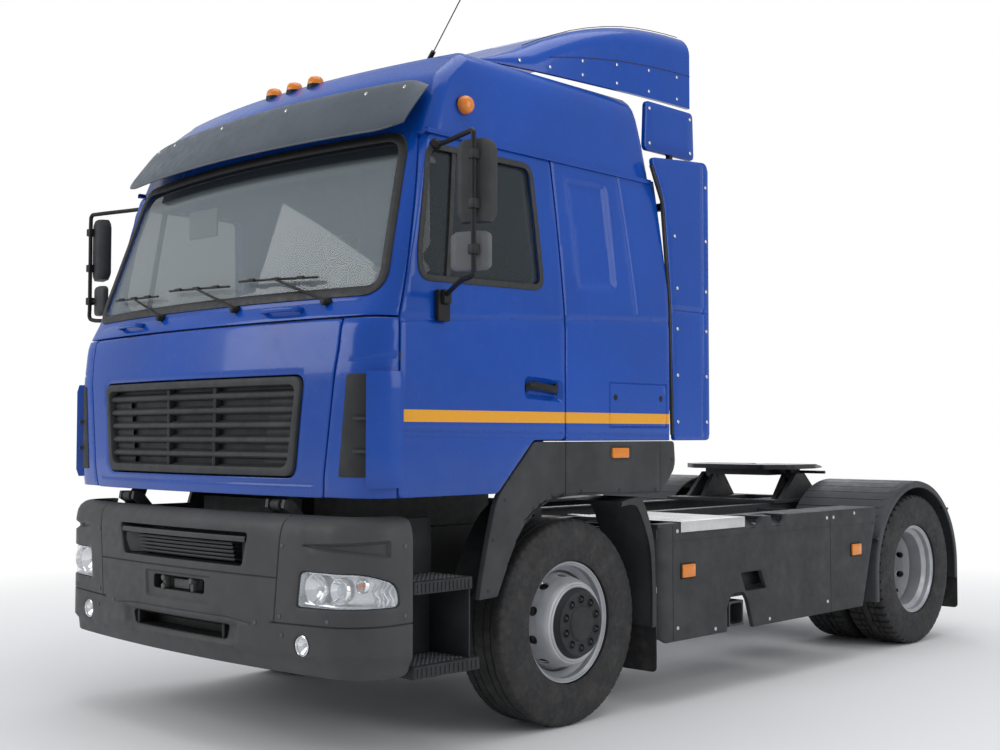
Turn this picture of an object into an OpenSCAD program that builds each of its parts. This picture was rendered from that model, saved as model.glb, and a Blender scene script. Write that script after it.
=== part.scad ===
// Two-axle semi truck tractor unit with a tilting high-roof cab.
// Millimetres. Front of the truck faces -Y, its left side is +X, the ground is Z = 0.
// Pieces are drawn with the front axle at Y = 0; place() then centres the outline on the origin.

/* [Chassis] */
// Distance between the front and rear axles
wheelbase = 3600; // [3300:10:4400]
// Frame length behind the rear axle
rear_overhang = 550; // [480:10:700]
// Height of the top of the frame rails
frame_top_z = 950; // [880:5:1000]
// Height of one frame rail
rail_h = 260; // [220:5:300]
// Width of one frame rail
rail_w = 80; // [70:1:100]
// Width over both frame rails
frame_w = 860; // [780:5:900]

/* [Wheels] */
// Outside radius of every tyre
tyre_r = 507; // [423:1:545]
// Width of one tyre
tyre_w = 310; // [260:1:330]
// Radius of the rim flanges
rim_r = 298.5; // [249:0.5:300]
// Width of one rim
rim_w = 254; // [212:1:256]
// Distance from the truck's middle to a front wheel's middle plane
front_wheel_x = 1035; // [1010:1:1040]
// Distance from a rim's middle plane to its mounting face
rim_offset = 175; // [160:1:180]
// Middle plane of the outer rear wheel
rear_wheel_x = 1066; // [1040:1:1070]

/* [Steering] */
// Distance of each kingpin from the truck's middle
kingpin_x = 870; // [850:1:880]
// Radius of a kingpin
kingpin_r = 22; // [18:1:26]
// Radius of a front stub axle
stub_r = 40; // [33:1:48]
// Radius of a rear spindle
spindle_r = 60; // [50:1:72]

/* [Cab] */
// Width of the cab below the windows
cab_w = 2500; // [2440:10:2560]
// Height of the lower edge of the cab's front
cab_bottom_z = 1157; // [1150:1:1170]
// Height of the underside of the cab floor and side walls
sill_z = 1400; // [1395:5:1430]
// Height of the seam between the front flap and the windscreen panel
flap_top_z = 1928; // [1900:1:1960]
// Height where the walls start to lean inwards
belt_z = 1950; // [1900:5:2000]
// Height of the gutter under the roof
gutter_z = 2790; // [2700:10:2900]
// Height of the roof's shoulder
roof_z = 3200; // [3140:10:3300]
// How far the cab's rear wall is behind the front axle
cab_rear_y = 730; // [700:5:760]
// Thickness of the doors
door_t = 70; // [50:1:80]
// Thickness of the side and rear walls
wall_t = 60; // [40:1:72]
// Gap between two neighbouring outer panels
shut_gap = 8; // [6:1:10]

/* [Coupling] */
// Distance of the kingpin slot in front of the rear axle
coupling_offset = 160; // [100:10:500]
// Height of the coupling plate's upper face
coupling_z = 1215; // [1190:5:1260]
// Radius of the bore in the coupling's closed jaws
throat_r = 25.6; // [25:0.1:30]
// Radius of the coupling's pivot pins
coupling_pin_r = 25; // [20:1:30]

/* [Hidden] */
$fn = 64;

// Ends of the whole outline along Y, and its middle
bumper_y = -1494;
fender_r = tyre_r + 98;
flap_t = 8;
lamp_depth = 55; // how far the rear lamps stand behind their bar
rear_end_y = max(wheelbase + rear_overhang + 30 + lamp_depth, wheelbase + fender_r + flap_t + 1);
y_mid = (bumper_y + rear_end_y) / 2;
seat = 0.3; // gap where one piece sits against another
eps = 1; // how far a cutter reaches past what it cuts

// ---------- shared shapes ----------

module place() { translate([0, -y_mid, 0]) children(); }
module both() { children(); mirror([1, 0, 0]) children(); }
// A polygon given as [y, z] points, extruded from x0 to x1
module along_x(x0, x1, points) translate([x0, 0, 0]) rotate([90, 0, 90]) linear_extrude(x1 - x0) polygon(points);
// A polygon given as [x, z] points, extruded from y0 to y1
module along_y(y0, y1, points) translate([0, y1, 0]) rotate([90, 0, 0]) linear_extrude(y1 - y0) polygon(points);
// A polygon given as [x, y] points, extruded from z0 to z1
module along_z(z0, z1, points) translate([0, 0, z0]) linear_extrude(z1 - z0) polygon(points);
module box(lo, hi) translate(lo) cube(hi - lo);
module rod_x(x0, x1, y, z, r) translate([x0, y, z]) rotate([0, 90, 0]) cylinder(r = r, h = x1 - x0);
module rod_y(x, y0, y1, z, r) translate([x, y0, z]) rotate([-90, 0, 0]) cylinder(r = r, h = y1 - y0);
module rod_z(x, y, z0, z1, r) translate([x, y, z0]) cylinder(r = r, h = z1 - z0);
// A straight round bar between two points
module bar(a, b, r) {
    d = b - a;
    translate(a) rotate([0, acos(d.z / norm(d)), atan2(d.y, d.x)]) cylinder(r = r, h = norm(d), $fn = 24);
}
function rect(a0, a1, b0, b1) = [[a0, b0], [a1, b0], [a1, b1], [a0, b1]];
function unit(v) = v / norm(v);
// The same outline with each corner rounded by a curve that starts r from the corner
function rounded(p, r, n = 5) = [for (i = [0:len(p) - 1])
    let (c = p[i], a = c + unit(p[(i + len(p) - 1) % len(p)] - c) * r, b = c + unit(p[(i + 1) % len(p)] - c) * r)
    for (k = [0:n]) let (t = k / n) (1 - t) * (1 - t) * a + 2 * t * (1 - t) * c + t * t * b];

// Faces of an (n by m) grid of points that starts at index o; flip turns them over
function grid_faces(n, m, o, flip) = [for (i = [0:n - 1]) for (j = [0:m - 1])
    let (a = o + i * (m + 1) + j, b = a + 1, c = a + m + 1, d = c + 1)
    each flip ? [[a, c, b], [b, c, d]] : [[a, b, c], [b, d, c]]];
// The strip that joins two lines of points, given as lists of indexes
function strip(a, b) = [for (i = [0:len(a) - 2]) each [[a[i], b[i], a[i + 1]], [a[i + 1], b[i], b[i + 1]]]];
// A thick sheet between two grids of points, each (n + 1) lines of (m + 1) points
module sheet(outer, inner, n, m) {
    k = (n + 1) * (m + 1);
    low = [for (i = [0:n]) i * (m + 1)];
    high = [for (i = [0:n]) i * (m + 1) + m];
    first = [for (j = [0:m]) j];
    last = [for (j = [0:m]) n * (m + 1) + j];
    up = function(l) [for (i = l) i + k];
    polyhedron(concat(outer, inner), concat(grid_faces(n, m, 0, false), grid_faces(n, m, k, true),
        strip(up(low), low), strip(high, up(high)), strip(first, up(first)), strip(up(last), last)));
}
// A closed solid through rings of points, each ring with the same count, with flat ends
module loft(rings) {
    n = len(rings[0]);
    m = len(rings);
    polyhedron([for (r = rings) each r], concat([[for (i = [0:n - 1]) i]],
        [[for (i = [n - 1:-1:0]) (m - 1) * n + i]],
        [for (j = [0:m - 2]) for (i = [0:n - 1]) let (a = j * n + i, b = j * n + (i + 1) % n)
            each [[a, a + n, b], [b, a + n, b + n]]]));
}

// ---------- the cab's outer skin ----------

cab_half = cab_w / 2;
wall_lean = 55; // how far the walls lean in at the gutter
nose_y = -1434; // foremost point of the cab, at its middle
screen_base_z = flap_top_z + 112;
screen_top_z = gutter_z + 40;
nose_line = [[cab_bottom_z, nose_y + 12], [cab_bottom_z + 85, nose_y], [flap_top_z - 230, nose_y],
    [flap_top_z, nose_y + 24], [screen_base_z, nose_y + 74], [screen_top_z, nose_y + 329],
    [roof_z - 140, nose_y + 424], [roof_z, nose_y + 574]];
setback_line = [[flap_top_z - 30, 71], [screen_base_z, 122]];
corner_line = [[flap_top_z, 170], [screen_base_z, 80]];
rear_line = [[belt_z + 250, cab_rear_y], [gutter_z, cab_rear_y - 60], [roof_z, cab_rear_y - 130]];
function half_at(z) = z < belt_z ? cab_half : cab_half - wall_lean * pow((z - belt_z) / (gutter_z - belt_z), 1.5);
function nose_at(z) = lookup(z, nose_line);
function setback_at(z) = lookup(z, setback_line);
function corner_at(z) = lookup(z, corner_line);
function rear_at(z) = lookup(z, rear_line);
// A point of the skin at height z, t inside it. s runs 0 to 1 over the front, 1 to 2 round the
// corner and 2 to 3 along the side; below 0 it is the other half of the truck.
function skin(s, z, t) = s < 0 ? let (p = skin(-s, z, t)) [-p.x, p.y, p.z] :
    let (h = half_at(z) - t, r = max(corner_at(z) - t, 10), y = nose_at(z) + t, b = setback_at(z), c = y + b + r)
    s <= 1 ? [s * (h - r), y + b * s * s, z] :
    s <= 2 ? [h - r + r * sin(90 * (s - 1)), c - r * cos(90 * (s - 1)), z] :
    [h, c + (s - 2) * (rear_at(z) - t - c), z];
// A sheet of the skin from depth t0 to depth t1, over the stations s and the heights z
module skin_sheet(s, z, t0, t1) sheet([for (a = s) for (h = z) skin(a, h, t0)],
    [for (a = s) for (h = z) skin(a, h, t1)], len(s) - 1, len(z) - 1);
front_s = [for (i = [-6:6]) i / 6];
corner_s = [1, 1.17, 1.33, 1.5, 1.67, 1.83, 2];
lower_z = [cab_bottom_z, cab_bottom_z + 85, flap_top_z - 230, flap_top_z - 115, flap_top_z];
upper_z = [for (i = [0:8]) belt_z + (gutter_z - belt_z) * i / 8];
door_z = concat([cab_bottom_z, flap_top_z - 230], upper_z);

// The seam in front of a door, and the one behind it, at height z
door_front_line = [[cab_bottom_z, -1205], [belt_z, -1193], [gutter_z, -985]];
door_rear_line = [[belt_z, -122], [gutter_z, -175]];
function door_front_at(z) = lookup(z, door_front_line);
function door_rear_at(z) = lookup(z, door_rear_line);
door_top_z = gutter_z - shut_gap;
arch_y = [-594, -347]; // where the door's lower edge climbs over the wheel arch
door_bottom_z = cab_bottom_z + 3;
hinge_at = [cab_half - 5, -1197]; // axis of a door's hinges, seen from above
hinge_r = 5;
hinge_z = [1450, 1700];
knuckle_h = 44; // a hinge is a knuckle on the door with one on the cab above it
flap_hinge = [-1412, flap_top_z + 4]; // axis of the front flap's hinge, as [y, z]
flap_pin_r = 3;

// ---------- chassis ----------

rail_x = frame_w / 2; // outer face of a rail
rail_in = rail_x - rail_w;
rail_z = frame_top_z - rail_h; // underside of a rail
frame_y0 = -1230;
frame_y1 = wheelbase + rear_overhang;
rail_skin = 9;
cross_drop = 130; // depth of the round crossmembers under the rails' top

// Channel rails, open towards the middle, with round and boxed crossmembers
module frame() color("dimgray") {
    both() difference() {
        box([rail_in, frame_y0, rail_z], [rail_x, frame_y1, frame_top_z]);
        box([rail_in - eps, frame_y0 + 40, rail_z + rail_skin],
            [rail_x - rail_skin, frame_y1 - 40, frame_top_z - rail_skin]);
    }
    for (y = [frame_y0 + 30, frame_y1 - 70])
        box([-rail_in, y, rail_z + 30], [rail_in, y + 40, frame_top_z - 20]);
    for (y = [1280, wheelbase - 900, wheelbase - 480, wheelbase + 330])
        rod_x(-rail_x + rail_skin, rail_x - rail_skin, y, frame_top_z - cross_drop, 45);
    // rear lamp bar
    box([-930, frame_y1, frame_top_z - 190], [930, frame_y1 + 30, frame_top_z - 110]);
    // bumper beam and its two brackets
    box([-1040, frame_y0 - 90, rail_z - 60], [1040, frame_y0 - seat, rail_z + 90]);
    both() box([rail_in, frame_y0 - 20, rail_z], [rail_x, frame_y0 + 5, rail_z + 90]);
}

bumper_k = 61e-6; // how fast the bumper's face curves back with x squared
bumper_half = cab_half - 5;
bumper_r = 210;
bumper_z0 = 395;
bumper_z1 = 1080;
bumper_t = 34;
bumper_back_y = -1112;
function bumper_pt(s, t, lift) = s < 0 ? let (p = bumper_pt(-s, t, lift)) [-p.x, p.y] :
    let (h = bumper_half - t - lift, r = bumper_r - t, x1 = h - r, y0 = bumper_y + t + lift, y1 = y0 + bumper_k * x1 * x1)
    s <= 1 ? [s * x1, y0 + bumper_k * s * s * x1 * x1] :
    s <= 2 ? [x1 + r * sin(90 * (s - 1)), y1 + r - r * cos(90 * (s - 1))] :
    [h, y1 + r + (s - 2) * (bumper_back_y - y1 - r)];
bumper_s = concat([-3], [for (i = [-12:12]) i / 6], [3]);
// how far the face leans back at each height
bumper_rows = [[bumper_z0, 26], [bumper_z0 + 62, 20], [bumper_z0 + 75, 0], [bumper_z1 - 90, 0],
    [bumper_z1 - 40, 10], [bumper_z1 - 12, 32], [bumper_z1, 62]];
lamp_z = [685, 845]; // lower and upper edge of the headlamps
lamp_outline = [[862, lamp_z[0]], [1300, lamp_z[0] + 12], [1300, lamp_z[1] - 30], [1200, lamp_z[1] - 2],
    [882, lamp_z[1]]];
fog_x = 897;
fog_z = 525;
fog_r = 46;

module front_bumper() color("darkslategray") {
    bumper_skin();
    // brackets that meet the beam
    both() for (x = [480, 780])
        box([x - 25, bumper_y + bumper_k * x * x + 24, rail_z - 58], [x + 25, frame_y0 - 90 - seat, rail_z - 22]);
}
module bumper_skin() difference() {
    sheet([for (s = bumper_s) for (r = bumper_rows) let (p = bumper_pt(s, 0, r[1])) [p.x, p.y, r[0]]],
        [for (s = bumper_s) for (r = bumper_rows) let (p = bumper_pt(s, bumper_t, r[1])) [p.x, p.y, r[0]]],
        len(bumper_s) - 1, len(bumper_rows) - 1);
    // upper intake, towing recess, lower intake
    along_y(bumper_y - 9, bumper_y + 120, rounded(rect(-545, 545, 838, 1000), 18));
    along_y(bumper_y - 9, bumper_y + 120, rounded(rect(-215, 215, 690, 762), 14));
    along_y(bumper_y - 9, bumper_y + 120, rounded([[-385, 505], [385, 505], [405, 572], [-405, 572]], 12));
    both() {
        // lamp pockets open towards the front and the side
        along_y(bumper_y - 9, bumper_back_y - 75, lamp_outline);
        rod_y(fog_x, bumper_y - 9, bumper_y + 160, fog_z, fog_r);
    }
}

// Headlamps, fog lamps, side markers and tail lamps
marker_y = [835, wheelbase - 945];
module chassis_lamps() color("white") {
    both() {
        intersection() {
            sheet([for (s = lamp_s) for (z = lamp_rows) let (p = bumper_pt(s, 0, 4)) [p.x, p.y, z]],
                [for (s = lamp_s) for (z = lamp_rows) let (p = bumper_pt(s, 90, 4)) [p.x, p.y, z]],
                len(lamp_s) - 1, len(lamp_rows) - 1);
            along_y(bumper_y - 9, bumper_back_y - 75 - seat, [[862 + seat, lamp_z[0] + seat],
                [1299, lamp_z[0] + 12 + seat], [1299, lamp_z[1] - 30 - seat], [1200, lamp_z[1] - 2 - seat],
                [882 + seat, lamp_z[1] - seat]]);
        }
        fog_y = bumper_y + bumper_k * fog_x * fog_x;
        rod_y(fog_x, fog_y + 6, fog_y + 90, fog_z, fog_r - seat);
        for (y = marker_y) box([skirt_x + seat, y, 662], [skirt_x + 14, y + 115, 736]);
        box([620, frame_y1 + 30 + seat, frame_top_z - 200], [920, frame_y1 + 30 + lamp_depth, frame_top_z - 90]);
    }
}
lamp_s = concat([0.8], [for (i = [0:8]) 0.875 + i / 8]); // stations that a headlamp spans, as in bumper_pt
lamp_rows = [lamp_z[0] - 5, lamp_z[1] + 5];

engine_x = 290;
engine_y = [-900, 330];
engine_z = [610, 1290];
gearbox_y = 1050;
shaft_z = 740;
module engine_block() color("silver") {
    box([-engine_x, engine_y[0], engine_z[0]], [engine_x, engine_y[1], engine_z[1]]);
    box([-200, engine_y[1], engine_z[0] + 30], [200, gearbox_y, frame_top_z - 10]);
    both() for (y = [engine_y[0] + 150, engine_y[1] - 250])
        box([engine_x, y, rail_z + 90], [rail_x - rail_skin, y + 100, rail_z + 150]);
    // radiator, carried on the rails by two ears
    box([-rail_in + 15, -1120, 640], [rail_in - 15, -1010, 1120]);
    both() box([rail_in - 15, -1100, rail_z + 60], [rail_x - rail_skin, -1030, rail_z + 100]);
}

pinion_y = wheelbase - 330;
module propeller_shaft() color("dimgray") {
    rod_y(0, gearbox_y + seat, gearbox_y + 70, shaft_z, 70);
    rod_y(0, pinion_y - 70, pinion_y - seat, tyre_r, 70);
    bar([0, gearbox_y + 40, shaft_z], [0, pinion_y - 40, tyre_r], 48);
}

beam_z = tyre_r - 75; // middle of the front axle beam
boss_h = 110;
module front_axle_beam() color("dimgray") {
    difference() {
        union() {
            box([-kingpin_x + 130, -45, beam_z - 50], [kingpin_x - 130, 45, beam_z + 50]);
            both() along_y(-40, 40, [[kingpin_x - 230, beam_z - 50], [kingpin_x - 60, tyre_r - boss_h / 2],
                [kingpin_x, tyre_r - boss_h / 2], [kingpin_x, tyre_r + boss_h / 2],
                [kingpin_x - 60, tyre_r + boss_h / 2], [kingpin_x - 130, beam_z + 50],
                [kingpin_x - 230, beam_z + 50]]);
            both() rod_z(kingpin_x, 0, tyre_r - boss_h / 2, tyre_r + boss_h / 2, 48);
        }
        both() rod_z(kingpin_x, 0, tyre_r - boss_h, tyre_r + boss_h, kingpin_r + 0.5);
        both() box([rail_in, -46, beam_z + 50 - eps], [rail_x, 46, beam_z + 50 + eps]);
    }
}

spring_top = beam_z + 110;
eye_y = 700;
bellows_y = 330;
arm_x = [rail_in - 10, rail_x + 10];
// Front leaf springs with their hangers, rear air springs with their beams
module suspension() color("dimgray") both() {
    spring_low = beam_z + 50 - eps + seat;
    along_x(rail_in + seat, rail_x - seat, concat(
        [for (i = [-8:8]) let (a = i / 8) [a * eye_y, spring_low + 120 * a * a + (abs(a) < 0.08 ? 0 : 5)]],
        [for (i = [8:-1:-8]) let (a = i / 8) [a * eye_y, spring_low + 60 + 90 * a * a]]));
    for (y = [-eye_y - 60, eye_y])
        box([rail_in + seat, y, spring_low + 110], [rail_x - seat, y + 60, rail_z - seat]);
    // rear: a beam under the axle with an air spring at each end
    difference() {
        box([arm_x[0], wheelbase - bellows_y - 110, tyre_r - 150], [arm_x[1], wheelbase + bellows_y + 110, tyre_r - 75]);
        rod_x(arm_x[0] - eps, arm_x[1] + eps, wheelbase, tyre_r, axle_tube_r + seat);
    }
    for (y = [-1, 1])
        rod_z((arm_x[0] + arm_x[1]) / 2, wheelbase + y * bellows_y, tyre_r - 75, rail_z - seat, 95);
}

axle_tube_r = 78;
spindle_x = rear_wheel_x - rim_offset; // mounting plane shared by the twin rims
module rear_axle() color("dimgray") {
    rod_x(-spindle_x + 250, spindle_x - 250, wheelbase, tyre_r, axle_tube_r);
    translate([0, wheelbase, tyre_r]) rotate([90, 0, 0])
        rotate_extrude() polygon([[0, -170], [120, -170], [205, -95], [205, 95], [140, 165], [0, 165]]);
    rod_y(0, pinion_y, wheelbase - 150, tyre_r, 95);
    both() {
        rod_x(spindle_x - 250, spindle_x + 60, wheelbase, tyre_r, spindle_r);
        rod_x(spindle_x + 60, spindle_x + 80, wheelbase, tyre_r, spindle_r + 14);
    }
}

skirt_x = cab_half - 8; // outer face of a side skirt
skirt_t = 26;
tank_x = [rail_x + 90, skirt_x - skirt_t - 40];
tank_y = [790, 2120];
air_r = 125;
air_y = [2230, 2780];
// Fuel tank on the right, air tanks on both sides, with the brackets that carry them
module tanks() color("silver") {
    mirror([1, 0, 0]) {
        along_y(tank_y[0], tank_y[1], rounded(rect(tank_x[0], tank_x[1], 400, 900), 90));
        for (y = [tank_y[0] + 180, tank_y[1] - 240])
            box([rail_x + seat, y, rail_z + 20], [tank_x[0] + 2, y + 70, rail_z + 160]);
    }
    both() for (x = [rail_x + 60 + air_r, rail_x + 80 + 3 * air_r]) {
        rod_y(x, air_y[0], air_y[1], rail_z - 20, air_r);
    }
    both() {
        for (y = [air_y[0] + 80, air_y[1] - 110]) {
            box([rail_x + seat, y, rail_z + 20], [rail_x + 100 + 3 * air_r, y + 30, rail_z + 80]);
            box([rail_x + 50 + air_r, y, rail_z + 20], [rail_x + 70 + air_r, y + 30, rail_z + 110]);
        }
        box([rail_x + 60 + 2 * air_r - 30, air_y[0] + 30, rail_z - 30],
            [rail_x + 80 + 2 * air_r + 30, air_y[1] - 30, rail_z - 10]);
    }
}

battery_y = [760, 1180];
module battery_box() color("darkslategray") {
    box([rail_x + 120, battery_y[0], 430], [skirt_x - skirt_t - 25, battery_y[1], skirt_top_z - 22]);
    for (y = [battery_y[0] + 60, battery_y[1] - 110])
        box([rail_x + seat, y, rail_z + 40], [rail_x + 120, y + 50, rail_z + 180]);
}

silencer_y = [1265, 2100];
outlet_y = [1302, 1446];
outlet_z = [352, 492];
module exhaust_silencer() color("dimgray") {
    difference() {
        union() {
            along_y(silencer_y[0], silencer_y[1], rounded(rect(rail_x + 150, skirt_x - skirt_t - 60, 480, 880), 120));
            box([skirt_x - 260, outlet_y[0], outlet_z[0]], [skirt_x - 14, outlet_y[1], outlet_z[1]]);
            box([skirt_x - 260, outlet_y[0], outlet_z[1] - 5], [skirt_x - 130, outlet_y[1], 560]);
        }
        along_x(skirt_x - 200, skirt_x, rounded(rect(outlet_y[0] + 12, outlet_y[1] - 12, outlet_z[0] + 12, outlet_z[1] - 12), 20));
    }
    for (y = [silencer_y[0] + 120, silencer_y[1] - 180])
        box([rail_x + seat, y, rail_z + 20], [rail_x + 152, y + 60, rail_z + 110]);
}

skirt_z0 = 330;
skirt_top_z = frame_top_z + 8;
skirt_y0 = 640;
skirt_y1 = wheelbase - fender_r - 6; // upper rear corner, against the fender
skirt_low_y1 = wheelbase - 800;
plate_y = [830, 1450]; // tread plate let into the skirt's top
notch_y = [1475, 1668];
// Side skirts: an outer panel with a top shelf and a closed front end
module skirt(left) difference() {
    union() {
        along_x(skirt_x - skirt_t, skirt_x, [[skirt_y0 + 60, skirt_z0], [skirt_low_y1, skirt_z0],
            [skirt_y1 - 12, skirt_top_z - 90], [skirt_y1 - 12, skirt_top_z], [skirt_y0 + 60, skirt_top_z]]);
        box([skirt_x - 250, plate_y[1], skirt_top_z - 22], [skirt_x - skirt_t, skirt_y1 - 12, skirt_top_z]);
        box([skirt_x - 70, plate_y[0] - 200, skirt_top_z - 22], [skirt_x - skirt_t, plate_y[1], skirt_top_z]);
        // rounded front end
        translate([skirt_x - 70, skirt_y0 + 70, skirt_z0]) intersection() {
            cylinder(r = 70, h = skirt_top_z - skirt_z0);
            translate([0, -70, 0]) cube([70, 72, skirt_top_z - skirt_z0]);
        }
        box([skirt_x - 300, skirt_y0, skirt_z0 + 40], [skirt_x - 69, skirt_y0 + skirt_t, skirt_top_z]);
        // arms to the frame
        for (y = [skirt_y0 + 8, wheelbase - 760])
            box([rail_x + seat, y, rail_z + 190], [skirt_x - skirt_t + 1, y + 18, rail_z + 236]);
    }
    translate([skirt_x - 70 - skirt_t, skirt_y0 + 70 + skirt_t / 2, skirt_z0 - eps])
        cube([70, 60, skirt_top_z - skirt_z0 - 26]);
    if (left) {
        // exhaust notch, sight window and the two scoops in the upper edge
        along_x(skirt_x - skirt_t - eps, skirt_x + eps, rounded([[1268, skirt_z0 - 60], [1530, skirt_z0 - 60],
            [1488, 470], [1430, 538], [1330, 538], [1268, 470]], 25));
        along_x(skirt_x - skirt_t - eps, skirt_x + eps, [[1455, 541], [1668, 541], [1612, 647], [1404, 647]]);
    }
    for (y = [plate_y[1] + 10, notch_y[1] + 60])
        along_x(skirt_x - 160, skirt_x + eps, rounded([[y, skirt_top_z - 62], [y + 125, skirt_top_z - 62],
            [y + 175, skirt_top_z + 60], [y - 5, skirt_top_z + 60]], 30));
}
module side_skirts() color("darkslategray") {
    skirt(true);
    mirror([1, 0, 0]) skirt(false);
}

step_y = [-1100, -738];
step_low_y = -692; // rear end of the lower tread
step_z = [432, 796];
step_in = cab_half - 290;
module cab_steps() color("darkslategray") both() {
    // inner panel, end plate and two treads
    box([step_in - 20, step_y[0], step_z[0] - 60], [step_in, step_y[1], bumper_z1 - 30]);
    for (z = step_z) difference() {
        y1 = z == step_z[0] ? step_low_y : step_y[1];
        along_z(z - 58, z, rounded([[step_in, step_y[0]], [cab_half - 14, step_y[0]], [cab_half - 14, y1], [step_in, y1]], 12));
        box([step_in + 20, step_y[0] + 20, z - 59], [cab_half - 34, y1 - 20, z - 8]);
    }
    box([step_in, step_y[1] - 14, step_z[0]], [cab_half - 30, step_y[1] - 4, step_z[1] - 58]);
    // arms to the frame
    for (y = [step_y[0] + 20, step_y[1] - 60])
        box([rail_x + seat, y, rail_z + 40], [step_in - 20, y + 40, rail_z + 100]);
}

// Tread plates over the batteries and the tank
module catwalk() color("silver") both() difference() {
    union() {
        box([rail_x + 60, plate_y[0], skirt_top_z + seat], [skirt_x + 3, plate_y[1] - 5, skirt_top_z + 8]);
        box([skirt_x + seat, plate_y[0], skirt_top_z - 52], [skirt_x + 3, plate_y[1] - 5, skirt_top_z + 8]);
        box([rail_x - 60, plate_y[0] + 80, skirt_top_z + seat], [rail_x + 61, plate_y[0] + 130, skirt_top_z + 8]);
        box([rail_x - 60, plate_y[0] + 80, frame_top_z + seat], [rail_x - 30, plate_y[0] + 130, skirt_top_z + 1]);
    }
}

guard_r = tyre_r + 80;
guard_x = [cab_half - 330, cab_half - 4];
flap_y = guard_r + 22;
// Rear part of the front wheel arches, each with its mudflap
module front_mudguards() color("darkslategray") both() {
    along_x(guard_x[0], guard_x[1], [[guard_r - 257, 1090], [guard_r - 167, 1105], [guard_r - 82, 1090],
        [guard_r + 3, 900], [flap_y, 700], [flap_y, 430], [guard_r, 430], [guard_r, 660], [guard_r - 22, 860],
        [guard_r - 107, 1040], [guard_r - 167, 1075], [guard_r - 257, 1068]]);
    box([guard_x[0] + 10, flap_y + seat, 190], [guard_x[1] - 6, flap_y + seat + flap_t, 640]);
    box([rail_x + seat, flap_y - 40, rail_z + 200], [guard_x[0], flap_y - 5, rail_z + 235]);
    box([guard_x[0] - 1, flap_y - 50, rail_z + 190], [guard_x[0] + 30, flap_y - 1, rail_z + 250]);
}

fender_x = [540, cab_half - 15];
fender_t = 12;
// Rear fenders: half-round arches with an outer lip, ending in mudflaps
module rear_fenders() color("darkslategray") both() {
    translate([0, wheelbase, tyre_r]) rotate([90, 0, 90]) {
        translate([0, 0, fender_x[0]]) rotate_extrude(angle = 180, $fn = 96)
            polygon([[fender_r - fender_t, 0], [fender_r, 0], [fender_r, fender_x[1] - fender_x[0]],
                [fender_r - 45, fender_x[1] - fender_x[0]], [fender_r - 45, fender_x[1] - fender_x[0] - fender_t],
                [fender_r - fender_t, fender_x[1] - fender_x[0] - fender_t]]);
    }
    box([fender_x[0], wheelbase - fender_r, skirt_z0 + 5], [fender_x[1], wheelbase - fender_r + fender_t, tyre_r + 2]);
    box([fender_x[0], wheelbase + fender_r - fender_t, 400], [fender_x[1], wheelbase + fender_r, tyre_r + 2]);
    box([fender_x[0] + 12, wheelbase + fender_r + seat, 187], [fender_x[1] - 10, wheelbase + fender_r + flap_t + seat, 470]);
    // supports from the frame
    arch_y_at = sqrt(pow(fender_r, 2) - pow(rail_z + 20 - tyre_r, 2)) - 1; // the arch at the supports' height
    for (y = [-arch_y_at - 34, arch_y_at])
        box([rail_x + seat, wheelbase + y, rail_z + 20], [fender_x[0] + 20, wheelbase + y + 34, rail_z + 54]);
}

// ---------- coupling ----------

coupling_y = wheelbase - coupling_offset;
pivot_z = coupling_z - 95;
ear_x = [330, 372];
module coupling_base() color("dimgray") {
    difference() {
        box([-rail_x - 30, coupling_y - 430, frame_top_z + seat], [rail_x + 30, coupling_y + 330, frame_top_z + 22]);
        box([-200, coupling_y - 330, frame_top_z], [200, coupling_y + 230, frame_top_z + 30]);
    }
    both() {
        for (e = [[ear_x[1] + 8, 260], [ear_x[0] - 40, 200]])
            along_x(e[0], e[0] + 32, [[coupling_y - e[1], frame_top_z + 22], [coupling_y + e[1], frame_top_z + 22],
                [coupling_y + 55, pivot_z + 30], [coupling_y - 55, pivot_z + 30]]);
        rod_x(ear_x[0] - 39, ear_x[1] + 39, coupling_y, pivot_z, coupling_pin_r);
    }
}

// Plate with the kingpin slot, ramped rear horns and the two lugs it pivots on
module coupling_plate() color("black") difference() {
    union() {
        along_z(coupling_z - 32, coupling_z, rounded([[-300, coupling_y - 330], [300, coupling_y - 330],
            [455, coupling_y - 190], [460, coupling_y + 130], [330, coupling_y + 450], [170, coupling_y + 450],
            [60, coupling_y + 120], [-60, coupling_y + 120], [-170, coupling_y + 450], [-330, coupling_y + 450],
            [-460, coupling_y + 130], [-455, coupling_y - 190]], 40));
        box([-270, coupling_y - 200, coupling_z - 78], [270, coupling_y + 100, coupling_z - 30]);
        both() box([ear_x[0], coupling_y - 60, pivot_z - 10], [ear_x[1], coupling_y + 60, coupling_z - 30]);
        both() rod_x(ear_x[0], ear_x[1], coupling_y, pivot_z, coupling_pin_r + 22);
        // release handle
        rod_x(250, 560, coupling_y + 85, coupling_z - 56, 11);
    }
    both() rod_x(ear_x[0] - eps, ear_x[1] + eps, coupling_y, pivot_z, coupling_pin_r + 0.5);
    // closed jaws, with the throat and the mouth above them
    rod_z(0, coupling_y, coupling_z - 90, coupling_z + eps, throat_r);
    rod_z(0, coupling_y, coupling_z - 33, coupling_z + eps, throat_r + 8);
    along_z(coupling_z - 33, coupling_z + eps, [[-throat_r - 8, coupling_y], [throat_r + 8, coupling_y],
        [66, coupling_y + 140], [-66, coupling_y + 140]]);
    // rear horns ramp down
    along_x(-500, 500, [[coupling_y + 150, coupling_z + eps], [coupling_y + 460, coupling_z + eps],
        [coupling_y + 460, coupling_z - 26], [coupling_y + 150, coupling_z + 0.01]]);
}

// ---------- cab mounts ----------

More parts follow.
